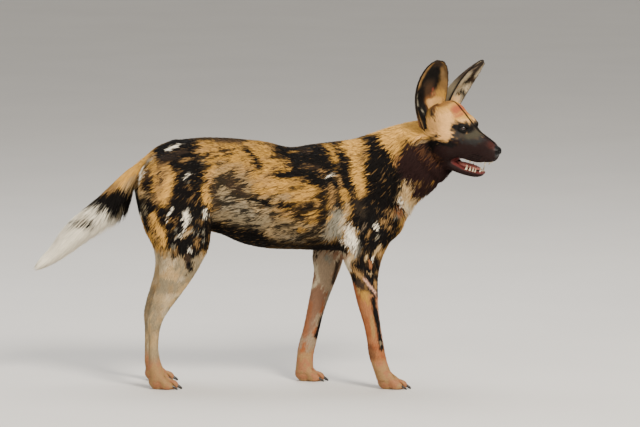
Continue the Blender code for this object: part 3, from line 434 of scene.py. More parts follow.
@dataclass
class Noise:
    """Smooth random values in space, from 0 to 1, on a lattice that repeats."""

    seed: int
    size: int = 32
    lattice: Array = field(init=False)

    def __post_init__(self) -> None:
        """Draws the lattice."""
        self.lattice = np.random.default_rng(self.seed).random((self.size,) * 3)

    def at(self, points: Array, scale: float | Sequence[float]) -> Array:
        """Reads the values at points given as rows, with lattice cells of a given size."""
        place = points / np.asarray(scale, float)
        first = np.floor(place).astype(int)
        f = place - first
        f = f * f * (3 - 2 * f)
        total = np.zeros(len(points))
        for dx in (0, 1):
            for dy in (0, 1):
                for dz in (0, 1):
                    share = (f[:, 0] if dx else 1 - f[:, 0]) * (f[:, 1] if dy else 1 - f[:, 1])
                    share = share * (f[:, 2] if dz else 1 - f[:, 2])
                    i = (first + (dx, dy, dz)) % self.size
                    total += share * self.lattice[i[:, 0], i[:, 1], i[:, 2]]
        return total

    def rough(self, points: Array, scale: float) -> Array:
        """Two layers of the noise, from -1 to 1."""
        return 1.34 * (self.at(points, scale) - 0.5) + 0.66 * (self.at(points + 3.7, scale * 0.45) - 0.5)


# The animal's measures, the same as its solids'

EYES_MIDDLE = (0.5630, -0.0725, 0.734)
HEAD = turned_head(EYES_MIDDLE, math.radians(-28), math.radians(12))
NECK_AXES = aimed((0.357, 0.0, 0.602), (0.467, -0.020, 0.678))
TAIL_AXES = aimed((-0.300, 0.0, 0.670), (-0.660, 0.0, 0.321))
EYE_RADIUS = 0.0108
EYE_SPREAD = 0.0352  # from the middle line to an eye's centre
EYE_TURN = math.radians(42)  # how far an eye looks out from straight ahead
HEAD_SEAM = 0.098  # where the head's skin takes over, along the neck's axis
SKIN_LAP = 0.006  # how far two skins lie over each other
PAW_TOP = 0.076  # where a paw's finer skin takes over

# Profiles. Each row is: place along the axis, upper or front edge, lower or back
# edge, half width, sideways shift.
TRUNK: tuple[Row, ...] = (
    (-0.352, 0.598, 0.520, 0.036, 0.0),
    (-0.325, 0.648, 0.480, 0.066, 0.0),
    (-0.270, 0.684, 0.452, 0.084, 0.0),
    (-0.200, 0.698, 0.440, 0.094, 0.0),
    (-0.130, 0.699, 0.425, 0.099, 0.0),
    (-0.070, 0.695, 0.399, 0.107, 0.0),
    (0.000, 0.687, 0.384, 0.115, 0.0),
    (0.066, 0.672, 0.381, 0.118, 0.0),
    (0.120, 0.679, 0.380, 0.114, 0.0),
    (0.180, 0.687, 0.379, 0.106, 0.0),
    (0.240, 0.694, 0.376, 0.098, 0.0),
    (0.290, 0.702, 0.378, 0.090, 0.0),
    (0.335, 0.700, 0.405, 0.078, 0.0),
    (0.375, 0.672, 0.450, 0.062, 0.0),
    (0.402, 0.630, 0.500, 0.040, 0.0),
)
NECK: tuple[Row, ...] = (
    (-0.090, 0.098, -0.098, 0.062, 0.0),
    (-0.040, 0.112, -0.112, 0.070, 0.0),
    (0.000, 0.117, -0.113, 0.074, 0.0),
    (0.040, 0.116, -0.110, 0.076, 0.0),
    (0.085, 0.106, -0.105, 0.074, 0.0),
    (0.130, 0.088, -0.096, 0.068, 0.0),
    (0.165, 0.066, -0.080, 0.060, 0.0),
)
TAIL: tuple[Row, ...] = (
    (-0.040, -0.018, -0.044, 0.016, 0.0),
    (0.000, -0.002, -0.032, 0.019, 0.0),
    (0.045, 0.010, -0.021, 0.018, 0.0),
    (0.093, 0.016, -0.016, 0.018, 0.0),
    (0.130, 0.017, -0.022, 0.023, 0.0),
    (0.165, 0.018, -0.058, 0.032, 0.0),
    (0.200, 0.019, -0.080, 0.036, 0.0),
    (0.250, 0.021, -0.080, 0.036, 0.0),
    (0.290, 0.025, -0.068, 0.034, 0.0),
    (0.330, 0.029, -0.057, 0.030, 0.0),
    (0.375, 0.025, -0.047, 0.026, 0.0),
    (0.410, 0.016, -0.041, 0.021, 0.0),
    (0.443, 0.009, -0.032, 0.015, 0.0),
    (0.475, 0.006, -0.020, 0.009, 0.0),
    (0.501, 0.001, -0.005, 0.002, 0.0),
)
TAIL_CORE: tuple[Row, ...] = (
    (-0.040, -0.018, -0.044, 0.016, 0.0),
    (0.000, -0.002, -0.032, 0.019, 0.0),
    (0.045, 0.010, -0.021, 0.018, 0.0),
    (0.090, 0.015, -0.016, 0.017, 0.0),
    (0.160, 0.013, -0.024, 0.016, 0.0),
    (0.220, 0.010, -0.030, 0.014, 0.0),
    (0.300, 0.010, -0.026, 0.012, 0.0),
    (0.370, 0.006, -0.016, 0.008, 0.0),
)
HIND_LEG: tuple[Row, ...] = (
    (0.640, -0.205, -0.318, 0.028, 0.050),
    (0.600, -0.182, -0.350, 0.044, 0.056),
    (0.560, -0.168, -0.359, 0.050, 0.060),
    (0.520, -0.163, -0.356, 0.050, 0.064),
    (0.470, -0.161, -0.344, 0.047, 0.068),
    (0.425, -0.162, -0.328, 0.042, 0.072),
    (0.385, -0.167, -0.309, 0.036, 0.075),
    (0.350, -0.182, -0.300, 0.030, 0.077),
    (0.310, -0.206, -0.302, 0.025, 0.078),
    (0.265, -0.238, -0.314, 0.020, 0.078),
    (0.225, -0.268, -0.326, 0.017, 0.078),
    (0.192, -0.288, -0.332, 0.0165, 0.078),
    (0.150, -0.299, -0.330, 0.0155, 0.078),
    (0.090, -0.298, -0.330, 0.0165, 0.078),
    (0.050, -0.286, -0.330, 0.022, 0.078),
    (0.026, -0.280, -0.326, 0.024, 0.078),
)
NEAR_FORELEG: tuple[Row, ...] = (
    (0.640, 0.335, 0.250, 0.020, 0.045),
    (0.600, 0.355, 0.235, 0.034, 0.055),
    (0.550, 0.370, 0.225, 0.042, 0.062),
    (0.500, 0.374, 0.215, 0.045, 0.066),
    (0.450, 0.362, 0.208, 0.044, 0.070),
    (0.400, 0.340, 0.207, 0.039, 0.073),
    (0.365, 0.324, 0.213, 0.035, 0.076),
    (0.316, 0.313, 0.235, 0.030, 0.077),
    (0.279, 0.312, 0.244, 0.027, 0.077),
    (0.244, 0.313, 0.2525, 0.024, 0.077),
    (0.172, 0.3205, 0.273, 0.0195, 0.076),
    (0.129, 0.328, 0.281, 0.0205, 0.076),
    (0.108, 0.331, 0.283, 0.0205, 0.076),
    (0.085, 0.336, 0.288, 0.0195, 0.076),
    (0.050, 0.347, 0.300, 0.023, 0.076),
    (0.026, 0.355, 0.308, 0.025, 0.076),
)
FAR_FORELEG: tuple[Row, ...] = (
    (0.620, 0.335, 0.235, 0.030, 0.050),
    (0.550, 0.350, 0.205, 0.040, 0.060),
    (0.500, 0.340, 0.180, 0.044, 0.064),
    (0.450, 0.305, 0.155, 0.044, 0.068),
    (0.400, 0.258, 0.135, 0.038, 0.072),
    (0.357, 0.222, 0.127, 0.034, 0.074),
    (0.313, 0.206, 0.132, 0.030, 0.074),
    (0.266, 0.187, 0.125, 0.026, 0.074),
    (0.221, 0.170, 0.1165, 0.023, 0.073),
    (0.183, 0.158, 0.109, 0.020, 0.072),
    (0.145, 0.149, 0.101, 0.020, 0.071),
    (0.108, 0.140, 0.090, 0.0205, 0.070),
    (0.083, 0.134, 0.085, 0.0195, 0.070),
    (0.050, 0.131, 0.082, 0.023, 0.070),
    (0.026, 0.132, 0.080, 0.025, 0.070),
)
# The head's rows run along the muzzle from midway between the eyes.
SKULL: tuple[Row, ...] = (
    (-0.112, 0.024, -0.070, 0.046, 0.0),
    (-0.088, 0.052, -0.088, 0.058, 0.0),
    (-0.060, 0.060, -0.100, 0.064, 0.0),
    (-0.030, 0.044, -0.100, 0.064, 0.0),
    (0.000, 0.022, -0.092, 0.052, 0.0),
    (0.020, 0.008, -0.087, 0.040, 0.0),
    (0.034, -0.001, -0.085, 0.0355, 0.0),
    (0.052, -0.008, -0.083, 0.0315, 0.0),
    (0.070, -0.0145, -0.081, 0.0295, 0.0),
    (0.086, -0.0215, -0.078, 0.0275, 0.0),
    (0.096, -0.0290, -0.072, 0.0235, 0.0),
    (0.101, -0.0340, -0.065, 0.0185, 0.0),
)
JAW: tuple[Row, ...] = (
    (-0.075, -0.060, -0.128, 0.040, 0.0),
    (-0.040, -0.085, -0.131, 0.038, 0.0),
    (0.000, -0.101, -0.132, 0.032, 0.0),
    (0.030, -0.108, -0.132, 0.026, 0.0),
    (0.052, -0.109, -0.130, 0.0205, 0.0),
    (0.066, -0.107, -0.124, 0.0160, 0.0),
    (0.073, -0.106, -0.117, 0.0105, 0.0),
)
# The four toes of a paw: how far out, how far ahead of the paw's middle, and size.
TOES = ((-0.0215, 0.010, 0.92), (-0.0078, 0.022, 1.0), (0.0078, 0.022, 1.0), (0.0215, 0.010, 0.92))


@dataclass(frozen=True)
class Leg:
    """One leg: its profile, its side of the body and where its paw stands."""

    name: str
    rows: tuple[Row, ...]
    side: int
    shift: float
    paw_x: float
    nodes: tuple[str, str]

    @property
    def paw_axes(self) -> Axes:
        """Axes at the paw's middle on the ground."""
        y = self.side * self.rows[-1][4]
        return Axes(np.array((self.paw_x, y, 0.0)), LEVEL.along, LEVEL.up, LEVEL.side)

    def loft(self) -> Loft:
        """The whole leg's bar."""
        return Loft(UPRIGHT, self.rows, self.side, self.shift)

    def middle(self, height: Array) -> Array:
        """How far forward the leg's middle lies at each height."""
        table = np.array(self.rows)[::-1]
        return np.interp(height, table[:, 0], (table[:, 1] + table[:, 2]) / 2) + self.shift

    def toes(self) -> Iterator[Form]:
        """The pads, four toes in a fan with the furrows between them, and the knuckles above."""
        at = self.paw_axes
        yield Ball(at, (-0.012, 0.020, 0), (0.030, 0.022, 0.024))
        yield Ball(at, (-0.012, 0.006, 0), (0.019, 0.012, 0.019))
        for across, ahead, size in TOES:
            radii = (0.020 * size, 0.0135 * size, 0.0088 * size)
            yield Ball(at, (ahead, 0.012 * size, across), radii, 0.15)
            yield Bone(at.place(ahead - 0.006, 0.018, across), at.place(-0.010, 0.034, across * 0.6), 0.0085, 0.012)

    def claws(self) -> Iterator[tuple[Array, Array]]:
        """Where each claw starts and ends."""
        at = self.paw_axes
        for across, ahead, _ in TOES:
            yield at.place(ahead + 0.011, 0.0125, across), at.place(ahead + 0.0275, 0.0035, across * 1.04)


LEGS = (
    Leg("hind_right", HIND_LEG, -1, 0.0, -0.288, ("thigh_right", "shank_right")),
    Leg("hind_left", HIND_LEG, 1, -0.016, -0.304, ("thigh_left", "shank_left")),
    Leg("fore_right", NEAR_FORELEG, -1, 0.0, 0.352, ("shoulder_right", "forearm_right")),
    Leg("fore_left", FAR_FORELEG, 1, 0.0, 0.121, ("shoulder_left", "forearm_left")),
)
# Muscles and folds laid over the profiles: centre, radii, tilt and blend.
MUSCLES = (
    ((0.315, 0.585, 0.062), (0.055, 0.085, 0.032), -0.35, 0.03),
    ((0.345, 0.470, 0.052), (0.040, 0.050, 0.040), 0.0, 0.03),
    ((-0.245, 0.590, 0.058), (0.075, 0.060, 0.036), 0.2, 0.03),
    ((-0.190, 0.440, 0.074), (0.032, 0.060, 0.026), 0.0, 0.03),
)


def trunk_shapes() -> Iterator[tuple[Form, float]]:
    """Every shape of the flesh but the head, with the width of its blend."""
    yield Loft(LEVEL, TRUNK, keel=0.12), 0.02
    yield Loft(NECK_AXES, NECK), 0.04
    yield Loft(TAIL_AXES, TAIL_CORE), 0.03
    for leg in LEGS:
        yield leg.loft(), 0.028
    for (x, z, y), radii, tilt, blend in MUSCLES:
        for side in (-1, 1):
            yield Ball(LEVEL, (x, z, side * y), radii, tilt), blend


def head_shapes() -> Iterator[tuple[Form, float]]:
    """The skull's profiles and swellings."""
    yield Loft(HEAD, SKULL, squareness=2.3, keel=-0.05), 0.02
    yield Loft(HEAD, JAW, squareness=2.3), 0.012
    for side in (-1, 1):
        yield Ball(HEAD, (-0.042, -0.058, side * 0.044), (0.036, 0.042, 0.024)), 0.022
        yield Ball(HEAD, (-0.026, -0.026, side * 0.052), (0.030, 0.011, 0.012), 0.15), 0.018
        yield Ball(HEAD, (-0.008, 0.0155, side * 0.030), (0.019, 0.009, 0.013), 0.35), 0.012
        yield Ball(HEAD, (-0.082, 0.012, side * 0.043), (0.030, 0.030, 0.024)), 0.03
        yield Ball(HEAD, (0.074, -0.062, side * 0.0135), (0.023, 0.0165, 0.0145)), 0.008
        yield Ball(HEAD, (0.036, -0.075, side * 0.022), (0.036, 0.012, 0.0105)), 0.010
    yield Ball(HEAD, (0.0965, -0.0415, 0), (0.0165, 0.0140, 0.0175), 0.12), 0.005


def eye_axes(side: int) -> Axes:
    """Axes at an eye's centre: outwards along its look, up and sideways."""
    look = unit(HEAD.turned((math.cos(EYE_TURN), 0.10, side * math.sin(EYE_TURN))))
    along = unit(np.cross(HEAD.up, look))
    return Axes(HEAD.place(-0.002, 0.0005, side * EYE_SPREAD), look, unit(np.cross(look, along)), along)


def neck_share(points: Sequence[Array]) -> Array:
    """How much of the ruff's long hair grows at points held as three arrays."""
    along, up, side = NECK_AXES.local(points)
    body = ramp(-0.075, 0.0, along) * (1 - ramp(0.125, 0.165, along))
    away = np.sqrt(up * up + side * side)
    lower = np.clip((1.1 - up / np.maximum(away, 1e-4)) / 0.8, 0.25, 1)
    near = 1 - ramp(0.13, 0.17, away)
    return body * lower * near


def face_share(points: Sequence[Array]) -> Array:
    """How much a point belongs to the short-haired face, from 0 to 1."""
    along, up, side = HEAD.local(points)
    ahead = ramp(-0.075, -0.015, along + 0.35 * (up + 0.03))
    near = 1 - ramp(0.20, 0.24, np.sqrt(along**2 + up**2 + side**2))
    return ahead * near


def leg_share(points: Sequence[Array]) -> Array:
    """How much a point belongs to a lower leg, from 0 to 1."""
    return 1 - ramp(0.31, 0.39, points[2])


def coat_depth(points: Sequence[Array]) -> Array:
    """How deep the coat is over the skin at points held as three arrays."""
    depth = 0.0045 + 0.0075 * neck_share(points)
    depth = mix(depth, 0.0012, face_share(points))
    depth = mix(depth, 0.0016, leg_share(points))
    depth = mix(depth, 0.0008, 1 - ramp(0.03, 0.09, points[2]))
    tail = 1 - ramp(-0.40, -0.345, points[0])
    return mix(depth, 0.0015, tail * ramp(0.33, 0.37, points[2]))


# Markings


@dataclass(frozen=True)
class Mark:
    """A rounded stroke of one colour, with its ends and its radii in centimetres."""

    hue: Hue
    start: tuple[float, float]
    end: tuple[float, float]
    start_radius: float
    end_radius: float
    strength: float = 1.0

    def depth(self, across: Array, up: Array) -> Array:
        """How far inside the stroke a place is, in centimetres."""
        line = np.subtract(self.end, self.start)
        a, b = across - self.start[0], up - self.start[1]
        t = np.clip((a * line[0] + b * line[1]) / max(float(line @ line), 1e-6), 0, 1)
        away = np.hypot(a - line[0] * t, b - line[1] * t)
        return self.start_radius + (self.end_radius - self.start_radius) * t - away


# What lies under both sides' markings: veils of colour, and where dark brindle crowds in.
VEILS: tuple[Mark, ...] = (
    Mark(Hue.OCHRE, (-14.0, 66.5), (-3.0, 66.0), 3.0, 3.0, 0.6),
    Mark(Hue.GREY, (-12.5, 62.5), (-7.0, 61.0), 1.8, 1.8, 0.35),
    Mark(Hue.GREY, (-12.5, 58.5), (-6.0, 57.0), 2.6, 2.8, 0.6),
    Mark(Hue.GREY, (-13.0, 54.0), (-2.0, 50.0), 3.6, 4.2, 0.85),
    Mark(Hue.CREAM, (-11.5, 53.0), (-3.5, 49.0), 2.6, 2.8, 0.4),
    Mark(Hue.SILVER, (-11.0, 52.5), (-4.5, 49.5), 2.0, 2.0, 0.6),
    Mark(Hue.GREY, (-13.5, 48.5), (-3.0, 46.0), 2.0, 2.2, 0.85),
    Mark(Hue.CREAM, (-2.0, 51.0), (0.0, 50.0), 1.0, 1.0, 0.6),
    Mark(Hue.GREY, (1.0, 46.5), (14.0, 43.5), 3.2, 3.0, 0.75),
    Mark(Hue.SILVER, (2.5, 42.6), (9.0, 41.6), 1.2, 1.4, 0.55),
    Mark(Hue.CREAM, (1.5, 42.5), (2.5, 41.5), 1.0, 0.9, 0.5),
    Mark(Hue.GREY, (2.5, 54.0), (6.5, 54.5), 1.2, 1.0, 0.5),
    Mark(Hue.GREY, (-18.4, 64.6), (-17.6, 62.6), 0.9, 0.9, 0.8),
    Mark(Hue.SILVER, (-34.9, 63.2), (-32.4, 63.9), 0.9, 0.8, 0.8),
)
BRINDLE: tuple[Mark, ...] = (
    Mark(Hue.BLACK, (-10.0, 58.5), (-7.5, 56.5), 2.4, 2.4, 0.45),
    Mark(Hue.BLACK, (-14.6, 57.0), (-14.0, 53.0), 1.0, 1.0, 0.4),
    Mark(Hue.BLACK, (-12.5, 52.0), (-4.0, 48.5), 3.0, 3.0, 0.18),
    Mark(Hue.BLACK, (-12.5, 46.6), (-4.0, 45.0), 1.4, 1.8, 0.45),
    Mark(Hue.BLACK, (-6.5, 55.5), (1.0, 52.5), 1.2, 1.2, 0.4),
    Mark(Hue.BLACK, (3.5, 52.0), (7.0, 51.6), 1.2, 1.2, 0.4),
    Mark(Hue.BLACK, (2.0, 49.5), (2.5, 46.5), 1.4, 1.4, 0.35),
    Mark(Hue.BLACK, (8.0, 49.0), (13.0, 51.0), 1.8, 1.6, 0.45),
    Mark(Hue.BLACK, (3.0, 46.0), (14.0, 43.0), 2.4, 2.8, 0.32),
    Mark(Hue.BLACK, (15.5, 57.0), (15.5, 45.0), 1.8, 1.8, 0.5),
    Mark(Hue.BLACK, (3.0, 60.3), (9.0, 61.0), 1.4, 1.4, 0.4),
    Mark(Hue.BLACK, (3.5, 66.0), (9.0, 63.0), 1.6, 1.6, 0.45),
    Mark(Hue.BLACK, (5.0, 56.0), (10.0, 58.6), 0.9, 1.0, 0.3),
    Mark(Hue.BLACK, (17.0, 56.0), (20.0, 51.0), 1.8, 1.6, 0.45),
    Mark(Hue.BLACK, (20.2, 68.0), (22.6, 63.0), 1.2, 1.6, 0.35),
    Mark(Hue.BLACK, (-16.5, 67.0), (-7.0, 67.5), 0.9, 0.9, 0.28),
    Mark(Hue.BLACK, (-19.0, 66.0), (-17.0, 62.0), 0.9, 0.9, 0.35),
    Mark(Hue.BLACK, (18.0, 47.0), (20.0, 44.0), 2.0, 2.0, 0.2),
)
# The right side's markings, from the side: forward and up, in centimetres.
RIGHT_MARKS: tuple[Mark, ...] = (
    Mark(Hue.BLACK, (-21.6, 51.0), (-21.9, 42.6), 5.0, 4.9),
    Mark(Hue.BLACK, (-29.4, 66.6), (-24.6, 69.4), 1.8, 1.8),
    Mark(Hue.BLACK, (-24.0, 66.0), (-18.6, 57.0), 2.8, 2.6),
    Mark(Hue.BLACK, (31.6, 57.0), (30.4, 51.0), 4.2, 4.6),
    Mark(Hue.BLACK, (29.6, 50.0), (30.4, 42.8), 4.5, 3.7),
    Mark(Hue.BLACK, (33.8, 52.0), (34.0, 44.6), 3.4, 2.6),
    Mark(Hue.UMBER, (25.4, 35.0), (29.4, 30.4), 2.0, 1.8, 0.75),
    Mark(Hue.BLACK, (38.6, 66.4), (39.6, 60.6), 1.5, 1.8),
    Mark(Hue.BLACK, (-28.5, 67.0), (-22.0, 68.3), 2.3, 2.4),
    Mark(Hue.BLACK, (-27.6, 64.9), (-21.5, 65.0), 2.1, 2.4),
    Mark(Hue.BLACK, (-24.0, 62.8), (-19.8, 62.0), 2.3, 2.7),
    Mark(Hue.BLACK, (-22.7, 60.0), (-19.0, 59.6), 2.5, 2.5),
    Mark(Hue.BLACK, (-23.2, 57.2), (-19.2, 57.0), 2.2, 1.5),
    Mark(Hue.BLACK, (-24.2, 54.9), (-20.0, 55.0), 2.0, 1.8),
    Mark(Hue.BLACK, (-25.3, 52.4), (-18.3, 52.0), 1.8, 1.7),
    Mark(Hue.UMBER, (-28.5, 64.4), (-25.5, 65.2), 0.9, 0.8, 0.35),
    Mark(Hue.UMBER, (-24.6, 66.2), (-22.4, 66.3), 0.5, 0.4, 0.7),
    Mark(Hue.UMBER, (-30.0, 63.5), (-29.2, 60.0), 0.9, 0.5, 0.8),
    Mark(Hue.TAN, (-23.3, 64.1), (-21.3, 64.7), 0.5, 0.4, 0.55),
    Mark(Hue.WHITE, (-27.0, 66.9), (-25.4, 67.7), 0.42, 0.32),
    Mark(Hue.WHITE, (-25.4, 67.7), (-23.7, 68.3), 0.32, 0.15),
    Mark(Hue.WHITE, (-22.7, 59.7), (-21.1, 60.7), 0.38, 0.3),
    Mark(Hue.SILVER, (-22.2, 58.6), (-21.4, 58.6), 0.35, 0.3, 0.5),
    Mark(Hue.TAN, (-23.2, 57.4), (-21.2, 57.1), 0.3, 0.25, 0.5),
    Mark(Hue.TAN, (-21.4, 56.8), (-20.1, 56.5), 0.3, 0.25, 0.8),
    Mark(Hue.TAN, (-20.6, 54.0), (-19.8, 55.2), 0.3, 0.25, 0.6),
    Mark(Hue.TAN, (-19.6, 51.4), (-19.4, 52.6), 0.4, 0.35, 0.5),
    Mark(Hue.TAN, (-21.9, 53.3), (-20.8, 53.6), 0.4, 0.3, 0.6),
    Mark(Hue.GOLD, (-16.8, 57.0), (-16.6, 53.2), 0.85, 1.0),
    Mark(Hue.GOLD, (-16.2, 52.8), (-15.7, 51.2), 0.7, 0.45),
    Mark(Hue.PEACH, (-15.3, 61.2), (-15.6, 58.2), 0.45, 0.4, 0.7),
    Mark(Hue.TAN, (-28.2, 60.4), (-28.8, 53.8), 2.4, 2.0, 0.7),
    Mark(Hue.GOLD, (-26.6, 60.0), (-27.3, 56.5), 0.95, 1.1),
    Mark(Hue.GOLD, (-28.0, 55.2), (-28.5, 53.4), 1.3, 0.9),
    Mark(Hue.BLACK, (-29.6, 61.2), (-29.4, 58.2), 0.5, 0.45, 0.9),
    Mark(Hue.BLACK, (-23.4, 60.0), (-22.8, 52.6), 1.0, 1.0, 0.9),
    Mark(Hue.OCHRE, (-31.0, 60.0), (-30.8, 56.2), 0.55, 0.5, 0.7),
    Mark(Hue.UMBER, (-29.6, 61.2), (-29.3, 58.4), 0.5, 0.45),
    Mark(Hue.TAN, (-30.2, 55.0), (-30.4, 51.0), 0.5, 0.4),
    Mark(Hue.UMBER, (-32.9, 61.0), (-33.2, 56.6), 1.1, 1.3),
    Mark(Hue.BLACK, (-32.9, 57.6), (-32.2, 51.5), 1.05, 1.1),
    Mark(Hue.UMBER, (-34.6, 54.4), (-33.2, 47.0), 0.9, 0.7),
    Mark(Hue.BLACK, (-34.6, 62.0), (-33.1, 62.4), 0.42, 0.38),
    Mark(Hue.BLACK, (-36.2, 60.6), (-36.5, 57.8), 0.5, 0.45),
    Mark(Hue.WHITE, (-34.5, 61.2), (-35.7, 57.2), 0.48, 0.38),
    Mark(Hue.OCHRE, (-35.7, 55.6), (-34.9, 53.6), 0.22, 0.2),
    Mark(Hue.BLACK, (-35.2, 52.4), (-32.8, 45.2), 0.55, 0.55),
    Mark(Hue.GOLD, (-31.4, 49.6), (-29.6, 45.0), 0.85, 0.95),
    Mark(Hue.GOLD, (-28.9, 45.2), (-28.3, 41.2), 0.85, 0.75),
    Mark(Hue.BLACK, (-29.3, 51.0), (-28.4, 47.2), 1.3, 1.3),
    Mark(Hue.BLACK, (-25.4, 51.0), (-18.2, 50.4), 1.9, 1.8),
    Mark(Hue.BLACK, (-24.4, 48.6), (-24.2, 44.0), 1.8, 1.6),
    Mark(Hue.BLACK, (-27.1, 46.2), (-26.7, 41.0), 0.85, 0.85),
    Mark(Hue.BLACK, (-25.6, 41.6), (-20.6, 41.3), 1.25, 1.2),
    Mark(Hue.BLACK, (-19.5, 48.4), (-18.4, 42.6), 1.9, 1.8),
    Mark(Hue.BLACK, (-24.6, 39.3), (-20.6, 38.7), 1.35, 1.25),
    Mark(Hue.BLACK, (-25.7, 37.6), (-24.8, 38.0), 0.5, 0.5),
    Mark(Hue.BLACK, (-17.2, 49.0), (-17.0, 40.2), 1.5, 1.1),
    Mark(Hue.WHITE, (-22.4, 49.4), (-22.0, 47.0), 0.9, 0.6),
    Mark(Hue.WHITE, (-22.4, 46.9), (-22.8, 45.0), 0.38, 0.28),
    Mark(Hue.WHITE, (-24.6, 43.2), (-23.1, 43.6), 0.28, 0.36),
    Mark(Hue.CREAM, (-22.8, 43.7), (-21.1, 44.6), 0.35, 0.32),
    Mark(Hue.SILVER, (-20.5, 45.1), (-19.2, 44.0), 0.3, 0.28),
    Mark(Hue.TAN, (-21.8, 45.3), (-20.6, 45.8), 0.45, 0.4, 0.45),
    Mark(Hue.TAN, (-25.5, 48.0), (-25.1, 46.7), 0.45, 0.4, 0.55),
    Mark(Hue.SILVER, (-25.1, 45.3), (-25.0, 44.8), 0.4, 0.35, 0.6),
    Mark(Hue.WHITE, (-26.1, 50.9), (-27.2, 49.2), 0.28, 0.25),
    Mark(Hue.WHITE, (-27.5, 47.9), (-27.5, 47.5), 0.28, 0.25),
    Mark(Hue.WHITE, (-17.2, 50.4), (-16.8, 48.2), 0.3, 0.38),
    Mark(Hue.TAN, (-18.9, 47.6), (-17.8, 47.2), 0.5, 0.45, 0.4),
    Mark(Hue.SILVER, (-17.5, 45.2), (-17.4, 44.5), 0.28, 0.25),
    Mark(Hue.SILVER, (-17.4, 43.2), (-17.4, 41.6), 0.22, 0.2, 0.7),
    Mark(Hue.TAN, (-19.4, 42.4), (-18.9, 40.6), 0.5, 0.45, 0.6),
    Mark(Hue.WHITE, (-21.6, 39.8), (-20.9, 39.3), 0.32, 0.28),
    Mark(Hue.SILVER, (-26.0, 40.3), (-25.8, 40.1), 0.55, 0.5, 0.6),
    Mark(Hue.TAN, (-25.3, 39.4), (-24.8, 39.0), 0.5, 0.5, 0.7),
    Mark(Hue.UMBER, (-22.0, 37.6), (-21.6, 34.6), 0.9, 0.95),
    Mark(Hue.BLACK, (-21.5, 35.6), (-20.9, 33.8), 0.65, 0.6),
    Mark(Hue.UMBER, (-22.3, 32.5), (-22.2, 32.1), 0.3, 0.25),
    Mark(Hue.BLACK, (-16.0, 46.4), (-11.0, 43.0), 1.3, 1.7),
    Mark(Hue.BLACK, (-11.2, 43.2), (-5.0, 41.4), 2.3, 3.0),
    Mark(Hue.BLACK, (-5.0, 41.9), (-1.5, 41.8), 3.2, 2.5),
    Mark(Hue.BLACK, (-0.4, 39.5), (14.0, 39.2), 0.9, 0.6),
    Mark(Hue.CREAM, (0.8, 43.4), (1.7, 46.2), 0.6, 0.55, 0.8),
    Mark(Hue.UMBER, (-14.6, 51.6), (-12.6, 51.0), 0.9, 0.8, 0.7),
    Mark(Hue.BLACK, (-5.9, 67.1), (-4.1, 66.2), 0.5, 0.55),
    Mark(Hue.BLACK, (-3.9, 65.8), (-2.6, 64.2), 0.5, 0.6),
    Mark(Hue.BLACK, (-2.1, 63.3), (-1.8, 62.7), 1.05, 1.05),
    Mark(Hue.UMBER, (-14.2, 69.0), (-7.0, 68.6), 0.45, 0.45, 0.8),
    Mark(Hue.BLACK, (-5.2, 53.8), (0.2, 53.1), 0.38, 0.4),
    Mark(Hue.BLACK, (-0.4, 52.6), (1.2, 52.0), 0.65, 0.6),
    Mark(Hue.BLACK, (3.9, 51.9), (6.2, 51.9), 0.65, 0.6),
    Mark(Hue.UMBER, (-10.0, 58.2), (-8.0, 57.0), 1.3, 1.2, 0.75),
    Mark(Hue.UMBER, (-14.6, 57.2), (-14.0, 53.8), 0.75, 0.75, 0.6),
    Mark(Hue.UMBER, (-6.6, 55.6), (-5.4, 54.6), 0.9, 0.8, 0.7),
    Mark(Hue.UMBER, (1.8, 48.4), (2.3, 47.6), 0.8, 0.7, 0.85),
    Mark(Hue.BLACK, (-0.4, 69.0), (1.4, 68.3), 0.75, 0.7, 0.8),
    Mark(Hue.BLACK, (4.2, 67.4), (12.0, 67.6), 1.5, 2.0),
    Mark(Hue.BLACK, (12.0, 66.8), (17.6, 67.0), 2.2, 1.7),
    Mark(Hue.BLACK, (8.6, 64.8), (16.6, 64.4), 1.8, 2.2),
    Mark(Hue.BLACK, (5.0, 65.6), (8.0, 64.6), 0.9, 1.2),
    Mark(Hue.BLACK, (9.2, 62.6), (17.2, 62.2), 1.3, 2.4),
    Mark(Hue.BLACK, (3.3, 60.2), (9.4, 61.0), 0.7, 1.0),
    Mark(Hue.BLACK, (9.4, 60.8), (17.2, 60.2), 1.2, 2.2),
    Mark(Hue.BLACK, (13.8, 58.8), (19.6, 57.6), 1.4, 1.6),
    Mark(Hue.BLACK, (16.4, 56.8), (16.0, 46.4), 1.3, 0.9, 0.85),
    Mark(Hue.BLACK, (20.9, 67.2), (21.3, 62.2), 0.5, 1.9),
    Mark(Hue.BLACK, (21.6, 61.2), (23.2, 56.2), 1.7, 1.1),
    Mark(Hue.BLACK, (23.7, 56.2), (24.6, 52.8), 1.0, 1.3),
    Mark(Hue.BLACK, (19.9, 56.2), (20.2, 51.4), 0.65, 0.65, 0.9),
    Mark(Hue.UMBER, (10.3, 66.6), (12.2, 66.0), 0.45, 0.35, 0.8),
    Mark(Hue.UMBER, (11.0, 62.9), (14.6, 62.2), 0.7, 0.6, 0.6),
    Mark(Hue.TAN, (15.3, 61.5), (16.5, 61.1), 0.5, 0.45, 0.6),
    Mark(Hue.OCHRE, (14.6, 68.7), (18.0, 67.4), 0.42, 0.45),
    Mark(Hue.OCHRE, (18.0, 67.2), (19.5, 64.2), 0.6, 0.75),
    Mark(Hue.WHITE, (17.0, 59.8), (18.9, 60.4), 0.26, 0.38),
    Mark(Hue.TAN, (20.6, 60.0), (20.9, 57.4), 0.38, 0.35),
    Mark(Hue.TAN, (18.2, 57.0), (18.4, 53.0), 0.6, 0.55, 0.8),
    Mark(Hue.OCHRE, (21.7, 56.0), (22.2, 53.0), 0.85, 0.8),
    Mark(Hue.CREAM, (22.8, 52.2), (22.6, 49.6), 0.75, 0.65, 0.7),
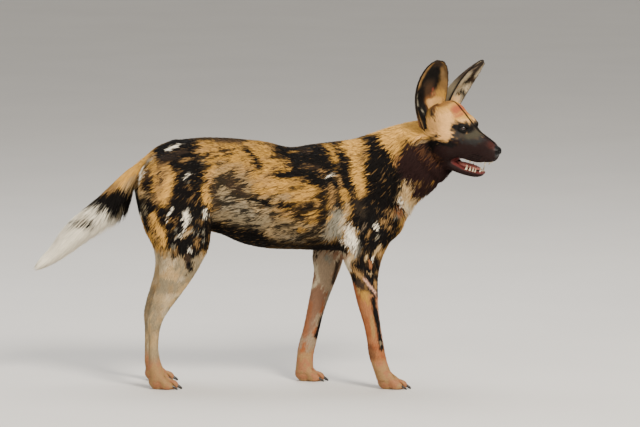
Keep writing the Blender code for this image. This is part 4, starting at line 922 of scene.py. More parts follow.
    Mark(Hue.GOLD, (9.4, 54.4), (12.4, 55.4), 1.5, 1.3, 0.8),
    Mark(Hue.GOLD, (2.0, 57.4), (5.5, 57.0), 1.8, 1.3, 0.6),
    Mark(Hue.OCHRE, (12.2, 47.6), (13.4, 48.2), 0.7, 0.65, 0.8),
    Mark(Hue.OCHRE, (9.4, 45.0), (10.6, 44.6), 0.7, 0.6, 0.8),
    Mark(Hue.BLACK, (8.2, 48.6), (10.4, 49.4), 0.75, 0.7, 0.8),
    Mark(Hue.BLACK, (9.2, 50.5), (12.8, 51.8), 0.5, 0.45, 0.8),
    Mark(Hue.BLACK, (5.0, 46.2), (7.8, 46.6), 0.38, 0.38, 0.8),
    Mark(Hue.BLACK, (9.4, 42.6), (13.6, 44.6), 0.8, 0.9, 0.8),
    Mark(Hue.BLACK, (12.0, 41.4), (15.0, 42.2), 0.7, 0.7, 0.8),
    Mark(Hue.GOLD, (22.6, 68.6), (27.0, 68.0), 1.6, 1.9),
    Mark(Hue.GOLD, (25.4, 66.4), (26.6, 60.5), 2.6, 2.1),
    Mark(Hue.GOLD, (26.4, 60.2), (27.0, 56.0), 2.0, 1.7),
    Mark(Hue.OCHRE, (27.0, 66.6), (27.5, 63.4), 1.2, 0.9, 0.8),
    Mark(Hue.TAN, (27.3, 66.6), (27.6, 64.6), 0.6, 0.5, 0.8),
    Mark(Hue.GOLD, (31.3, 70.0), (40.3, 74.6), 1.8, 2.4),
    Mark(Hue.GOLD, (34.0, 69.8), (36.3, 66.2), 2.4, 1.5),
    Mark(Hue.RUSSET, (36.6, 65.6), (37.3, 63.8), 0.7, 0.5, 0.8),
    Mark(Hue.GOLD, (38.4, 72.9), (41.6, 72.3), 2.6, 1.9),
    Mark(Hue.UMBER, (44.6, 80.4), (46.8, 82.4), 1.0, 1.2),
    Mark(Hue.RUSSET, (40.5, 76.4), (44.6, 78.6), 0.35, 0.5, 0.6),
    Mark(Hue.BLACK, (26.6, 70.4), (30.2, 70.2), 0.7, 1.5),
    Mark(Hue.BLACK, (28.6, 69.8), (30.6, 68.4), 1.2, 1.5),
    Mark(Hue.BLACK, (30.7, 67.8), (31.4, 63.4), 1.6, 2.7),
    Mark(Hue.BLACK, (31.0, 67.6), (33.6, 64.4), 1.8, 1.8),
    Mark(Hue.BLACK, (33.4, 64.8), (36.8, 61.6), 1.3, 1.3),
    Mark(Hue.BLACK, (31.9, 61.0), (34.8, 57.4), 3.2, 3.0),
    Mark(Hue.BLACK, (32.9, 64.4), (36.4, 60.8), 1.4, 1.8),
    Mark(Hue.BLACK, (36.6, 60.8), (38.2, 59.8), 1.6, 1.6),
    Mark(Hue.BLACK, (32.6, 55.0), (32.9, 53.2), 3.9, 3.4),
    Mark(Hue.BLACK, (26.3, 51.8), (31.2, 51.4), 2.2, 3.4),
    Mark(Hue.BLACK, (25.7, 49.2), (30.2, 49.0), 1.9, 2.4),
    Mark(Hue.BLACK, (25.3, 50.0), (25.5, 46.2), 1.4, 1.0),
    Mark(Hue.SMOKE, (25.4, 52.0), (26.8, 50.0), 1.4, 1.2, 0.06),
    Mark(Hue.MAROON, (40.3, 66.1), (49.9, 66.1), 2.7, 3.5),
    Mark(Hue.MAROON, (40.9, 61.6), (48.3, 61.6), 3.5, 3.5),
    Mark(Hue.MAROON, (43.2, 56.8), (46.1, 57.4), 2.4, 2.3),
    Mark(Hue.MAROON, (39.0, 68.1), (42.2, 68.1), 0.9, 1.3),
    Mark(Hue.CREAM, (38.7, 59.4), (40.4, 57.0), 0.65, 1.2),
    Mark(Hue.CREAM, (38.7, 55.2), (40.8, 53.6), 1.5, 1.7),
    Mark(Hue.WHITE, (37.5, 54.6), (37.6, 52.8), 0.5, 0.5),
    Mark(Hue.PALE, (39.4, 52.4), (40.3, 50.8), 1.1, 1.0),
    Mark(Hue.BLACK, (36.8, 51.6), (36.0, 48.4), 1.1, 1.0),
    Mark(Hue.TAN, (33.8, 50.7), (35.3, 50.0), 0.72, 0.66),
    Mark(Hue.UMBER, (34.4, 50.4), (34.7, 50.2), 0.28, 0.25),
    Mark(Hue.CLAY, (36.4, 51.6), (36.9, 50.4), 0.55, 0.45),
    Mark(Hue.SILVER, (36.2, 49.5), (37.2, 49.0), 0.45, 0.4, 0.8),
    Mark(Hue.TAN, (31.9, 47.7), (33.7, 47.3), 0.55, 0.5, 0.8),
    Mark(Hue.TAN, (33.8, 45.8), (34.7, 45.6), 0.42, 0.4),
    Mark(Hue.BLACK, (27.4, 42.4), (32.0, 43.4), 2.1, 2.3),
    Mark(Hue.BLACK, (27.2, 45.6), (27.7, 40.8), 1.3, 1.3),
    Mark(Hue.BLACK, (32.0, 44.6), (33.8, 41.8), 1.2, 0.9),
    Mark(Hue.BLACK, (29.0, 45.8), (31.0, 45.9), 1.3, 1.3),
    Mark(Hue.WHITE, (30.4, 46.6), (31.0, 44.7), 0.38, 0.3),
    Mark(Hue.SILVER, (31.0, 43.3), (31.0, 42.8), 0.26, 0.24),
    Mark(Hue.TAN, (28.9, 44.9), (28.1, 43.2), 0.45, 0.35, 0.8),
    Mark(Hue.SMOKE, (27.4, 46.2), (27.0, 45.4), 0.45, 0.4, 0.5),
    Mark(Hue.SILVER, (19.8, 49.2), (19.4, 44.2), 1.6, 2.2),
    Mark(Hue.SILVER, (18.2, 46.6), (17.2, 43.0), 1.2, 1.1, 0.8),
    Mark(Hue.PALE, (21.4, 48.4), (20.9, 44.6), 0.75, 0.65, 0.8),
    Mark(Hue.WHITE, (20.6, 41.8), (21.7, 41.6), 0.32, 0.32),
    Mark(Hue.WHITE, (23.1, 45.4), (24.1, 41.6), 1.05, 1.6),
    Mark(Hue.WHITE, (23.9, 41.6), (25.3, 39.2), 1.55, 1.2),
    Mark(Hue.UMBER, (22.8, 38.5), (23.8, 39.4), 0.2, 0.2, 0.8),
    Mark(Hue.UMBER, (23.9, 39.4), (24.9, 38.2), 0.2, 0.2, 0.8),
    Mark(Hue.CREAM, (23.5, 38.0), (24.2, 35.8), 0.8, 0.7),
    # Black band under the belly above the far foreleg: partly black hair, partly painted shadow under the belly and in
    # the armpit.
    Mark(Hue.BLACK, (14.0, 39.0), (21.6, 39.6), 1.2, 1.0),
    Mark(Hue.TAN, (22.4, 36.6), (22.8, 35.2), 0.6, 0.5),
    Mark(Hue.BLACK, (27.6, 39.4), (29.4, 31.0), 2.3, 1.5, 0.92),
    Mark(Hue.CREAM, (31.6, 40.2), (29.8, 38.0), 0.5, 0.42),
    Mark(Hue.TAN, (32.2, 39.4), (31.6, 37.4), 0.45, 0.36),
    Mark(Hue.CREAM, (28.1, 37.9), (27.6, 36.5), 0.4, 0.32),
    Mark(Hue.WHITE, (29.6, 37.1), (30.0, 36.6), 0.3, 0.28),
    Mark(Hue.BLACK, (29.4, 38.8), (28.5, 36.6), 0.3, 0.28),
    Mark(Hue.BLACK, (26.6, 38.4), (26.4, 36.6), 0.35, 0.35),
    Mark(Hue.BLACK, (24.6, 35.5), (29.6, 34.2), 0.9, 0.85),
    Mark(Hue.BLACK, (30.4, 37.0), (30.9, 33.6), 0.4, 0.35),
    Mark(Hue.CLAY, (28.8, 36.2), (29.0, 34.8), 0.42, 0.38),
    Mark(Hue.CREAM, (28.2, 32.9), (29.4, 32.7), 0.25, 0.22),
    Mark(Hue.BLACK, (28.4, 32.2), (30.6, 31.8), 0.4, 0.38),
    Mark(Hue.TAN, (30.4, 30.2), (30.8, 28.6), 0.5, 0.42),
    Mark(Hue.BLACK, (29.0, 31.4), (29.4, 30.6), 0.4, 0.35),
    Mark(Hue.BLACK, (31.1, 30.4), (31.2, 26.2), 0.3, 0.3),
    Mark(Hue.BLACK, (24.3, 32.4), (25.8, 29.8), 0.8, 1.1),
    Mark(Hue.UMBER, (26.0, 29.8), (27.3, 28.0), 1.15, 0.8),
    Mark(Hue.BLACK, (28.2, 29.0), (30.6, 26.2), 0.42, 0.45),
    Mark(Hue.TAN, (24.5, 33.9), (26.6, 31.8), 0.55, 0.55),
    Mark(Hue.ROSE, (27.2, 31.4), (30.6, 27.0), 0.38, 0.36),
    Mark(Hue.RUST, (24.4, 29.6), (25.4, 25.6), 0.42, 0.5),
    Mark(Hue.RUST, (25.5, 25.2), (27.8, 16.0), 0.32, 0.32),
    Mark(Hue.OCHRE, (27.5, 27.2), (27.6, 24.2), 0.95, 1.0),
    Mark(Hue.CLAY, (26.9, 24.2), (28.4, 20.0), 1.0, 1.0),
    Mark(Hue.RUST, (28.1, 19.6), (28.9, 15.6), 0.8, 0.8, 0.8),
    Mark(Hue.TAN, (29.4, 20.4), (30.0, 15.0), 0.5, 0.45),
    Mark(Hue.BLACK, (29.7, 25.6), (30.4, 21.6), 0.55, 0.75),
    Mark(Hue.BLACK, (30.6, 21.4), (31.4, 17.0), 0.8, 0.62),
    Mark(Hue.BLACK, (31.4, 17.0), (32.2, 11.6), 0.62, 0.6),
    Mark(Hue.GREY, (31.8, 13.6), (31.9, 12.8), 0.22, 0.2),
    # Painted highlight: a pale pink rim of light down the near foreleg's front edge.
    Mark(Hue.ROSE, (31.1, 24.8), (31.9, 19.4), 0.34, 0.3),
    Mark(Hue.ROSE, (32.0, 18.0), (33.2, 10.4), 0.24, 0.24),
    Mark(Hue.UMBER, (29.3, 11.4), (29.7, 9.4), 1.0, 1.0, 0.5),
    Mark(Hue.BLACK, (-14.0, 42.0), (2.0, 39.4), 1.5, 1.3, 0.85),
    Mark(Hue.BLACK, (31.2, 67.8), (34.2, 64.6), 1.0, 1.2),
    Mark(Hue.BLACK, (34.2, 64.6), (36.2, 60.6), 1.2, 1.7),
    Mark(Hue.BLACK, (29.8, 66.0), (32.6, 58.0), 1.6, 2.6, 0.9),
)
# The left side isn't in view. Its markings are made up in the same manner.
LEFT_MARKS: tuple[Mark, ...] = (
    Mark(Hue.BLACK, (-15.6, 45.7), (-6.6, 39.9), 1.2, 1.6),
    Mark(Hue.BLACK, (-6.6, 39.6), (21.9, 38.9), 1.5, 1.2),
    Mark(Hue.BLACK, (-20.0, 70.0), (-2.0, 69.8), 1.6, 1.2),
    Mark(Hue.BLACK, (6.0, 66.0), (12.0, 58.0), 2.6, 2.2),
    Mark(Hue.BLACK, (10.0, 56.0), (14.0, 49.0), 2.4, 2.8),
    Mark(Hue.BLACK, (-4.0, 62.0), (-7.0, 55.0), 1.6, 2.0),
    Mark(Hue.BLACK, (17.0, 69.0), (19.0, 60.0), 1.4, 1.8),
    Mark(Hue.GOLD, (23.0, 67.0), (24.0, 56.0), 2.8, 2.0),
    Mark(Hue.WHITE, (-8.0, 49.0), (-4.5, 47.0), 0.9, 0.6),
    Mark(Hue.BLACK, (-29.0, 66.5), (-20.0, 66.0), 1.8, 3.2),
    Mark(Hue.BLACK, (-22.0, 61.0), (-19.0, 52.0), 3.0, 2.4),
    Mark(Hue.OCHRE, (-27.5, 61.0), (-29.0, 55.0), 2.0, 1.8),
    Mark(Hue.BLACK, (-33.5, 58.0), (-32.5, 50.0), 1.6, 1.4),
    Mark(Hue.BLACK, (-27.0, 50.0), (-21.0, 42.0), 3.2, 3.0),
    Mark(Hue.WHITE, (-24.5, 47.0), (-21.5, 44.0), 1.1, 0.8),
    Mark(Hue.TAN, (-19.0, 46.0), (-18.0, 42.0), 1.0, 0.8),
    Mark(Hue.WHITE, (-25.0, 39.0), (-23.0, 37.5), 0.6, 0.5),
    Mark(Hue.GOLD, (31.3, 70.0), (40.3, 74.6), 1.8, 2.4),
    Mark(Hue.GOLD, (34.2, 70.4), (36.0, 66.0), 2.7, 1.6),
    Mark(Hue.BLACK, (28.0, 69.0), (30.0, 62.0), 1.6, 3.0),
    Mark(Hue.BLACK, (32.0, 60.0), (34.0, 50.0), 3.6, 3.4),
    Mark(Hue.MAROON, (40.3, 66.1), (49.9, 66.1), 2.7, 3.5),
    Mark(Hue.MAROON, (40.9, 61.6), (48.3, 61.6), 3.5, 3.5),
    Mark(Hue.MAROON, (43.2, 56.8), (46.1, 57.4), 2.4, 2.3),
    Mark(Hue.CREAM, (38.5, 57.0), (38.0, 51.0), 1.6, 2.0),
    Mark(Hue.TAN, (26.0, 52.0), (25.0, 46.0), 1.6, 1.2),
    Mark(Hue.BLACK, (28.0, 46.0), (20.0, 42.0), 3.0, 2.4),
    Mark(Hue.TAN, (24.0, 40.0), (22.0, 38.0), 1.2, 1.0),
    Mark(Hue.SILVER, (16.0, 44.0), (13.0, 41.0), 2.0, 1.6),
)
FAR_FORELEG_MARKS: tuple[Mark, ...] = (
    # Black across the far foreleg's top: partly black hair, partly painted shadow under the belly and in the armpit.
    Mark(Hue.BLACK, (13.4, 38.4), (21.5, 38.9), 1.1, 1.1),
    Mark(Hue.BLACK, (13.9, 36.1), (13.5, 32.6), 0.75, 0.54),
    Mark(Hue.SMOKE, (15.9, 34.6), (18.6, 32.6), 2.5, 2),
    Mark(Hue.SMOKE, (15.6, 31.2), (17.3, 27.1), 2.4, 2),
    Mark(Hue.SILVER, (16.9, 35.3), (17.9, 34.6), 0.81, 0.68),
    Mark(Hue.UMBER, (20.0, 33.9), (18.6, 27.8), 0.61, 0.48),
    Mark(Hue.RUSTGREY, (14.6, 25.0), (11.2, 14.1), 2, 1.7),
    Mark(Hue.SILVER, (17.8, 25.0), (15.9, 18.9), 0.44, 0.41),
    Mark(Hue.BLACK, (15.4, 17.8), (14.0, 12.7), 0.51, 0.58),
    Mark(Hue.PALE, (13.6, 33.0), (14.6, 28.5), 0.5, 0.4, 0.7),
    Mark(Hue.RUST, (12.4, 22.0), (10.6, 13.0), 0.7, 0.7, 0.6),
    Mark(Hue.BLACK, (16.6, 20.5), (14.4, 13.5), 0.45, 0.5),
)
# Both sides of the head, in its own axes: ahead of the eyes and above them, in centimetres.
HEAD_MARKS: tuple[Mark, ...] = (
    Mark(Hue.BLACK, (-7.1, -6.5), (-1.5, -5.6), 1.9, 2.6),
    Mark(Hue.MAROON, (-3.1, -8.7), (0.6, -8.7), 3.5, 3.5),
    Mark(Hue.MAROON, (2.2, -7.3), (12.5, -3.5), 4.0, 3.1),
    Mark(Hue.MAROON, (6.5, -1.1), (10.5, -2.7), 1.9, 1.9),
    Mark(Hue.MAROON, (0.5, -11.5), (9.5, -10.3), 1.9, 1.6),
    Mark(Hue.PEACH, (-9.1, -1.3), (-5.0, 0.4), 1.9, 2.9),
    Mark(Hue.PEACH, (-6.2, -2.9), (-3.3, -2.6), 1.3, 1.5),
    Mark(Hue.GOLD, (-4.6, 5.3), (-1.7, 4.0), 1.6, 1.9),
    Mark(Hue.BLOOD, (-3.7, 4.7), (-2.6, 3.5), 0.95, 0.9, 0.8),
    Mark(Hue.BLOOD, (-4.4, 5.5), (-3.8, 4.9), 0.9, 0.9, 0.35),
    Mark(Hue.GOLD, (-2.7, 3.2), (-2.4, 4.0), 0.25, 0.25, 0.6),
    Mark(Hue.BLOOD, (8.4, -2.4), (10.4, -3.2), 1.0, 0.9, 0.08),
    Mark(Hue.MAROON, (-0.4, -3.4), (4.6, -3.2), 1.0, 1.2),
    Mark(Hue.SLATE, (-0.8, 0.1), (2.9, 0.2), 1.6, 1.9, 0.95),
    Mark(Hue.SLATE, (0.0, -1.9), (4.2, -1.9), 1.6, 1.8, 0.95),
    # Painted highlight: lighter olive sheen on the dark fur of the muzzle's side and top.
    Mark(Hue.OLIVE, (2.0, -1.7), (3.6, -0.7), 0.8, 1.0, 0.8),
    Mark(Hue.OLIVE, (3.2, 0.5), (4.1, 0.0), 0.6, 0.6, 0.6),
    Mark(Hue.BLACK, (-1.7, 0.1), (1.4, 0.0), 0.6, 1.0),
    Mark(Hue.UMBER, (-11.6, 6.6), (-9.0, 3.2), 1.4, 1.2),
    Mark(Hue.RUSSET, (-9.2, 3.4), (-7.6, 1.6), 0.9, 0.7, 0.6),
    Mark(Hue.RUSSET, (-8.4, 4.6), (-6.6, 5.6), 0.9, 0.8, 0.7),
    Mark(Hue.UMBER, (-8.9, 2.1), (-7.8, 1.0), 0.64, 0.51),
    Mark(Hue.UMBER, (-6.8, -3.6), (-5.7, -3.4), 0.51, 0.39),
    Mark(Hue.MAROON, (-13.8, -0.3), (-10.5, -2.7), 1.2, 0.9),
    Mark(Hue.PEACH, (-12.2, -5.9), (-8.0, -3.3), 0.4, 0.35, 0.6),
    Mark(Hue.CREAM, (-13.4, -7.4), (-8.2, -5.5), 0.19, 0.19, 0.4),
    Mark(Hue.RUSSET, (-11.0, -8.0), (-4.5, -9.5), 0.32, 0.28, 0.35),
    Mark(Hue.RUSSET, (-9.5, -9.8), (-4.0, -11.2), 0.28, 0.24, 0.35),
)
# The tail, in its own axes: along it and above its middle, in centimetres.
TAIL_MARKS: tuple[Mark, ...] = (
    Mark(Hue.TAN, (15.3, 0.6), (19.2, 1.0), 0.55, 0.45),
    Mark(Hue.BLACK, (26.2, -2.6), (30.9, 1.9), 0.6, 0.5),
    Mark(Hue.WHITE, (24.2, 0.2), (26.4, 0.8), 0.7, 0.6),
)


@dataclass
class Markings:
    """Gives the colour of the skin and of every tuft from the animal's markings."""

    patches: Noise = field(default_factory=lambda: Noise(3))
    streaks: Noise = field(default_factory=lambda: Noise(7))
    edges: Noise = field(default_factory=lambda: Noise(19))

    def paint(self, colours: Array, marks: Sequence[Mark], across: Array, up: Array,
              where: Array, soft: float, ragged: Array | None = None) -> None:
        """Lays strokes over colours, in place.

        Args:
            colours: One row for each point.
            marks: The strokes, the last one on top.
            across: Where the points lie, in centimetres.
            up: Where the points lie, in centimetres.
            where: How much of each stroke shows at each point.
            soft: How wide the strokes' edges are, in centimetres.
            ragged: How far a broad stroke's edge is moved at each point, in centimetres.
        """
        for mark in marks:
            near = mark.depth(across, up)
            if ragged is not None:
                spread = 0.4 if mark.hue is Hue.BLACK else 0.0
                near = near + (ragged + spread) * min(1.0, (0.28 * (mark.start_radius + mark.end_radius)) ** 2)
            hit = near > -soft
            edge = min(soft, 0.6 * min(mark.start_radius, mark.end_radius))
            share = (ramp(-edge, edge, near[hit]) * where[hit])[:, None]
            colours[hit] = mix(colours[hit], mark.hue.row, share * mark.strength)

    def ground(self, points: Array) -> Array:
        """The colours under the strokes: brindled ochre, blotched legs, clay paws."""
        x, y, z = points.T
        hair = self.along_hair(points)
        colours = mix(self.trunk(points, hair), self.hind_shank(points, hair),
                      ((x < -0.05) * self.below(points, 0.385))[:, None])
        near, far = x > 0.235, (x > -0.05) & (x <= 0.235)
        for on_leg, height, dark, light, size in (
            (near, 0.385, Hue.UMBER, Hue.TAN, 0.016), (near, 0.265, Hue.RUST, Hue.CLAY, 0.018),
            (far, 0.375, Hue.RUSTGREY, Hue.PALE, 0.014), (far, 0.250, Hue.RUST, Hue.SMOKE, 0.014),
        ):
            share = (on_leg * self.below(points, height))[:, None]
            colours = mix(colours, self.mottled(points, hair, dark, light, size), share)
        foot = mix(self.mottled(points, hair, Hue.CLAY, Hue.TAN, 0.012), Hue.ROSE.row, 0.10)
        return mix(colours, foot, self.below(points, 0.085)[:, None])

    def trunk(self, points: Array, hair: Array) -> Array:
        """Ochre and grey under dark brindle, with a dark line along the spine and black along the belly's underside,
        partly black hair and partly painted shade.
        """
        x, y, z = points.T
        brown = mix(Hue.OCHRE.rows(len(x)), Hue.GOLD.row, 0.5 * ramp(0.45, 0.80, self.patches.at(points, 0.05))[:, None])
        dull = ramp(0.42, 0.70, self.patches.at(hair + 0.9, (0.030, 0.020, 0.010)))
        brown = mix(brown, Hue.TAN.row, 0.8 * dull[:, None])
        slide = self.streaks.at(hair + 3.0, (0.030, 0.012, 0.0055)) - 0.5
        across, up = x * 100 + 3.0 * slide, z * 100 + slide
        self.paint(brown, VEILS, across, up, np.ones(len(x)), 2.0)
        dark = 0.16 + 0.16 * ramp(0.58, 0.47, z)
        for mark in BRINDLE:
            dark = np.maximum(dark, 0.16 + mark.strength * ramp(-1.6, 1.6, mark.depth(across, up)))
        dark = dark + 0.5 * (self.patches.at(hair + 1.3, (0.040, 0.03, 0.013)) - 0.5)
        fleck = self.streaks.at(hair, (0.018, 0.008, 0.0036))
        colours = mix(brown, Hue.BLACK.row, 0.92 * ramp(-0.12, 0.08, dark - 0.85 * fleck)[:, None])
        spine = ramp(0.034, 0.020, np.abs(y) + 0.010 * self.edges.rough(hair, 0.012)) * ramp(0.60, 0.62, z)
        spine *= ramp(-0.29, -0.26, x) * ramp(0.27, 0.24, x) * (1 - 0.8 * ramp(-0.06, -0.04, x) * ramp(0.03, 0.01, x))
        # Black along the belly's underside: partly the coat's black hair, partly painted shade under the belly.
        keel = ramp(0.030, 0.010, z - 0.398 - 0.047 * ramp(-0.02, -0.17, x) + 0.010 * self.edges.rough(hair, 0.014))
        keel *= ramp(-0.17, -0.13, x) * ramp(0.24, 0.20, x)
        return mix(colours, Hue.BLACK.row, (0.9 * np.maximum(spine, keel))[:, None])

    def along_hair(self, points: Array) -> Array:
        """Coordinates along the hair, across it and out of the side."""
        x, y, z = points.T
        level = ramp(0.40, 0.46, z)
        slant = mix(2.2, 0.30, level)
        size = np.sqrt(1 + slant * slant)
        return np.stack(((x + slant * z) / size, y, (z - slant * x) / size), 1)

    def below(self, points: Array, height: float) -> Array:
        """How far below a ragged level points lie, from 0 to 1."""
        return ramp(height + 0.012, height - 0.012, points[:, 2] + 0.018 * self.edges.rough(points, 0.020))

    def mottled(self, points: Array, hair: Array, dark: Hue, light: Hue, size: float) -> Array:
        """Two colours in blotches, streaked along the hair."""
        blotch = self.patches.at(points + 0.6, size) + 0.5 * (self.streaks.at(hair, (0.016, 0.006, 0.004)) - 0.5)
        return mix(dark.rows(len(points)), light.row, ramp(0.34, 0.62, blotch)[:, None])

    def hind_shank(self, points: Array, hair: Array) -> Array:
        """Cream, mottled and streaked with grey."""
        cream = self.mottled(points, hair, Hue.GREY, Hue.CREAM, 0.022)
        cream = mix(cream, Hue.PALE.row, 0.6 * ramp(0.52, 0.70, self.patches.at(points + 5.2, 0.026))[:, None])
        cream = mix(cream, Hue.TAN.row, 0.35 * ramp(0.55, 0.75, self.patches.at(points + 2.7, 0.016))[:, None])
        shade = ramp(0.50, 0.75, self.streaks.at(hair + 4.0, (0.05, 0.012, 0.010)))[:, None]
        return mix(cream, Hue.GREY.row, 0.45 * shade)

    def tail(self, colours: Array, points: Array) -> None:
        """Lays the tail's golden root, black band and white brush over colours, in place."""
        along, up, side = TAIL_AXES.local(points.T)
        on_tail = ramp(-0.005, 0.03, along) * (points[:, 0] < -0.30) * (np.abs(up) < 0.11)
        on_tail = on_tail * (1 - ramp(0.002, -0.008, up + 0.2 * (along - 0.06)) * ramp(0.115, 0.100, along))
        place = along - 0.60 * up + 0.014 * self.edges.rough(points, 0.025)
        colour = mix(Hue.GOLD.row, Hue.OCHRE.row, self.patches.at(points, 0.02)[:, None])
        colour = mix(colour, Hue.SILVER.row, 0.5 * (ramp(0.11, 0.135, place) * ramp(0.0, -0.01, up))[:, None])
        colour = mix(colour, Hue.BLACK.row, ramp(0.145, 0.165, place)[:, None])
        colour = mix(colour, Hue.WHITE.row, ramp(0.228, 0.250, place)[:, None])
        strand = ramp(0.66, 0.74, self.streaks.at(points + 2.0, (0.05, 0.008, 0.05)))
        colour = mix(colour, Hue.GREY.row, (0.5 * strand * ramp(0.38, 0.27, place))[:, None])
        ragged = 0.5 * self.edges.rough(points, 0.012)
        self.paint(colour, TAIL_MARKS, along * 100 + ragged, up * 100, np.ones(len(along)), 0.5)
        colours[:] = mix(colours, colour, on_tail[:, None])

    def colours(self, points: Array) -> Array:
        """Gives the colour at each of many points.

        Args:
            points: The points, as rows.

        Returns:
            Linear red, green and blue, as rows.
        """
        colours = self.ground(points)
        x, y, z = points.T
        hair = self.along_hair(points)
        ragged = 2.6 * (self.streaks.at(hair + 7.0, (0.026, 0.012, 0.0050)) - 0.5)
        ragged = ragged + 0.3 * self.edges.rough(points, 0.010)
        across, up = x * 100 + 0.15 * self.edges.rough(points + 2.2, 0.008), z * 100
        left = ramp(-0.02, 0.02, y + 0.012 * self.edges.rough(points, 0.04))
        far_leg = (x < 0.235) & (x > 0.0) & (z < 0.395)
        tailward = 1 - ramp(-0.372, -0.385, x)
        self.paint(colours, RIGHT_MARKS, across, up, (1 - left) * ~far_leg * tailward, 0.7, ragged)
        self.paint(colours, LEFT_MARKS, across, up, left * ~far_leg * tailward, 0.7, ragged)
        self.tick(colours, points, hair)
        self.paint(colours, FAR_FORELEG_MARKS, across, up, far_leg * 1.0, 0.5, ragged)
        self.tail(colours, points)
        return colours

    def tick(self, colours: Array, points: Array, hair: Array) -> None:
        """Mixes single pale and dark hairs into the coat of the trunk, in place."""
        grain = self.edges.at(hair, (0.010, 0.0035, 0.0022))
        on_trunk = ramp(0.36, 0.42, points[:, 2]) * ramp(0.40, 0.34, points[:, 0])
        bright = colours.sum(1) > 0.3
        colours[:] = mix(colours, Hue.UMBER.row, (0.75 * bright * on_trunk * ramp(0.66, 0.80, grain))[:, None])
        colours[:] = mix(colours, Hue.TAN.row, (0.35 * ~bright * on_trunk * ramp(0.20, 0.12, grain))[:, None])

    def head_colours(self, points: Array) -> Array:
        """Gives the colour at points on the head, as rows."""
        colours = self.colours(points)
        along, up, side = HEAD.local(points.T)
        streaked = np.stack((along, 2.2 * up, 2.2 * side), 1)
        ragged = 1.8 * (self.streaks.at(streaked, 0.011) - 0.5) + 0.3 * self.edges.rough(points, 0.010)
        on_head = ramp(-0.125, -0.095, along - 0.5 * (up + 0.05))
        base = mix(Hue.GOLD.row, Hue.PEACH.row, ramp(-0.09, -0.05, along)[:, None])
        base = mix(base, Hue.OCHRE.row, 0.45 * ramp(0.5, 0.75, self.patches.at(streaked + 1.0, 0.016))[:, None])
        low = ramp(-0.052, -0.068, up + 0.10 * (along + 0.05) + 0.010 * ragged)
        base = mix(base, Hue.MAROON.row, low[:, None])
        colours = mix(colours, base, on_head[:, None])
        self.paint(colours, HEAD_MARKS, along * 100, up * 100, np.ones(len(points)), 0.6, ragged)
        middle = ramp(0.0056, 0.0034, np.abs(side) + 0.0012 * self.edges.rough(points, 0.01))
        middle *= ramp(-0.085, -0.07, along) * ramp(-0.03, 0.0, up + along)
        colours = mix(colours, Hue.BLACK.row, middle[:, None])
        nose = ramp(0.0, 0.003, 0.0185 - np.sqrt((along - 0.100) ** 2 + (up + 0.0415) ** 2 + side**2))
        nose = nose * ramp(0.0885, 0.0915, along - 0.25 * (up + 0.0415))
        colours = mix(colours, Hue.NOSE.row, nose[:, None])
        for eye in (-1, 1):
            rim = np.linalg.norm(points - eye_axes(eye).origin, axis=1)
            colours = mix(colours, Hue.BLACK.row, ramp(0.0185, 0.0155, rim)[:, None])
        return mix(colours, Hue.GUM.row, mouth_share(points)[:, None])


def mouth_share(points: Array) -> Array:
    """How much a point lies inside the mouth, behind the lips' edges."""
    along, up, side = HEAD.local(points.T)
    half = np.interp(along, (-0.01, 0.03, 0.06, 0.09), (0.030, 0.026, 0.021, 0.014))
    inside = ramp(0.0, 0.003, half - np.abs(side))
    inside *= ramp(-0.118, -0.113, up) * ramp(-0.070, -0.077, up)
    return inside * ramp(0.0885, 0.084, along) * ramp(-0.03, -0.02, along)


def bald_share(points: Array) -> Array:
    """Where the head carries no hair: the nose, the eyes' rims and the mouth."""
    along, up, side = HEAD.local(points.T)
    nose = np.sqrt((along - 0.100) ** 2 + (up + 0.0415) ** 2 + side**2) < 0.0195
    bald = nose & (along > 0.086)
    for eye in (-1, 1):
        bald |= np.linalg.norm(points - eye_axes(eye).origin, axis=1) < 0.0152
    half = np.interp(along, (-0.01, 0.03, 0.06, 0.09), (0.034, 0.030, 0.025, 0.018))
    mouth = (np.abs(side) < half) & (up < -0.0725) & (up > -0.1165) & (along < 0.092) & (along > -0.025)
    return bald | mouth


# Shaders


class Wire:
    """A shader value that sums, products and powers can be written with."""

    def __init__(self, graph: "Graph", socket: bpy.types.NodeSocket) -> None:
        """Wraps one output of a node."""
        self.graph, self.socket = graph, socket

    def _maths(self, operation: str, *values: "Wire | float") -> "Wire":
        """Adds one Math node."""
        return self.graph.node("ShaderNodeMath", {"operation": operation}, dict(enumerate(values)))

    def __add__(self, other: "Wire | float") -> "Wire":
        return self._maths("ADD", self, other)

    def __sub__(self, other: "Wire | float") -> "Wire":
        return self._maths("SUBTRACT", self, other)

    def __rsub__(self, other: "Wire | float") -> "Wire":
        return self._maths("SUBTRACT", other, self)

    def __mul__(self, other: "Wire | float") -> "Wire":
        return self._maths("MULTIPLY", self, other)

    def __truediv__(self, other: "Wire | float") -> "Wire":
        return self._maths("DIVIDE", self, other)

    __radd__ = __add__
    __rmul__ = __mul__

    def rise(self, low: float, high: float) -> "Wire":
        """Goes smoothly from 0 at low to 1 at high."""
        settings = {"interpolation_type": "SMOOTHSTEP"}
        return self.graph.node("ShaderNodeMapRange", settings, {0: self, 1: low, 2: high})


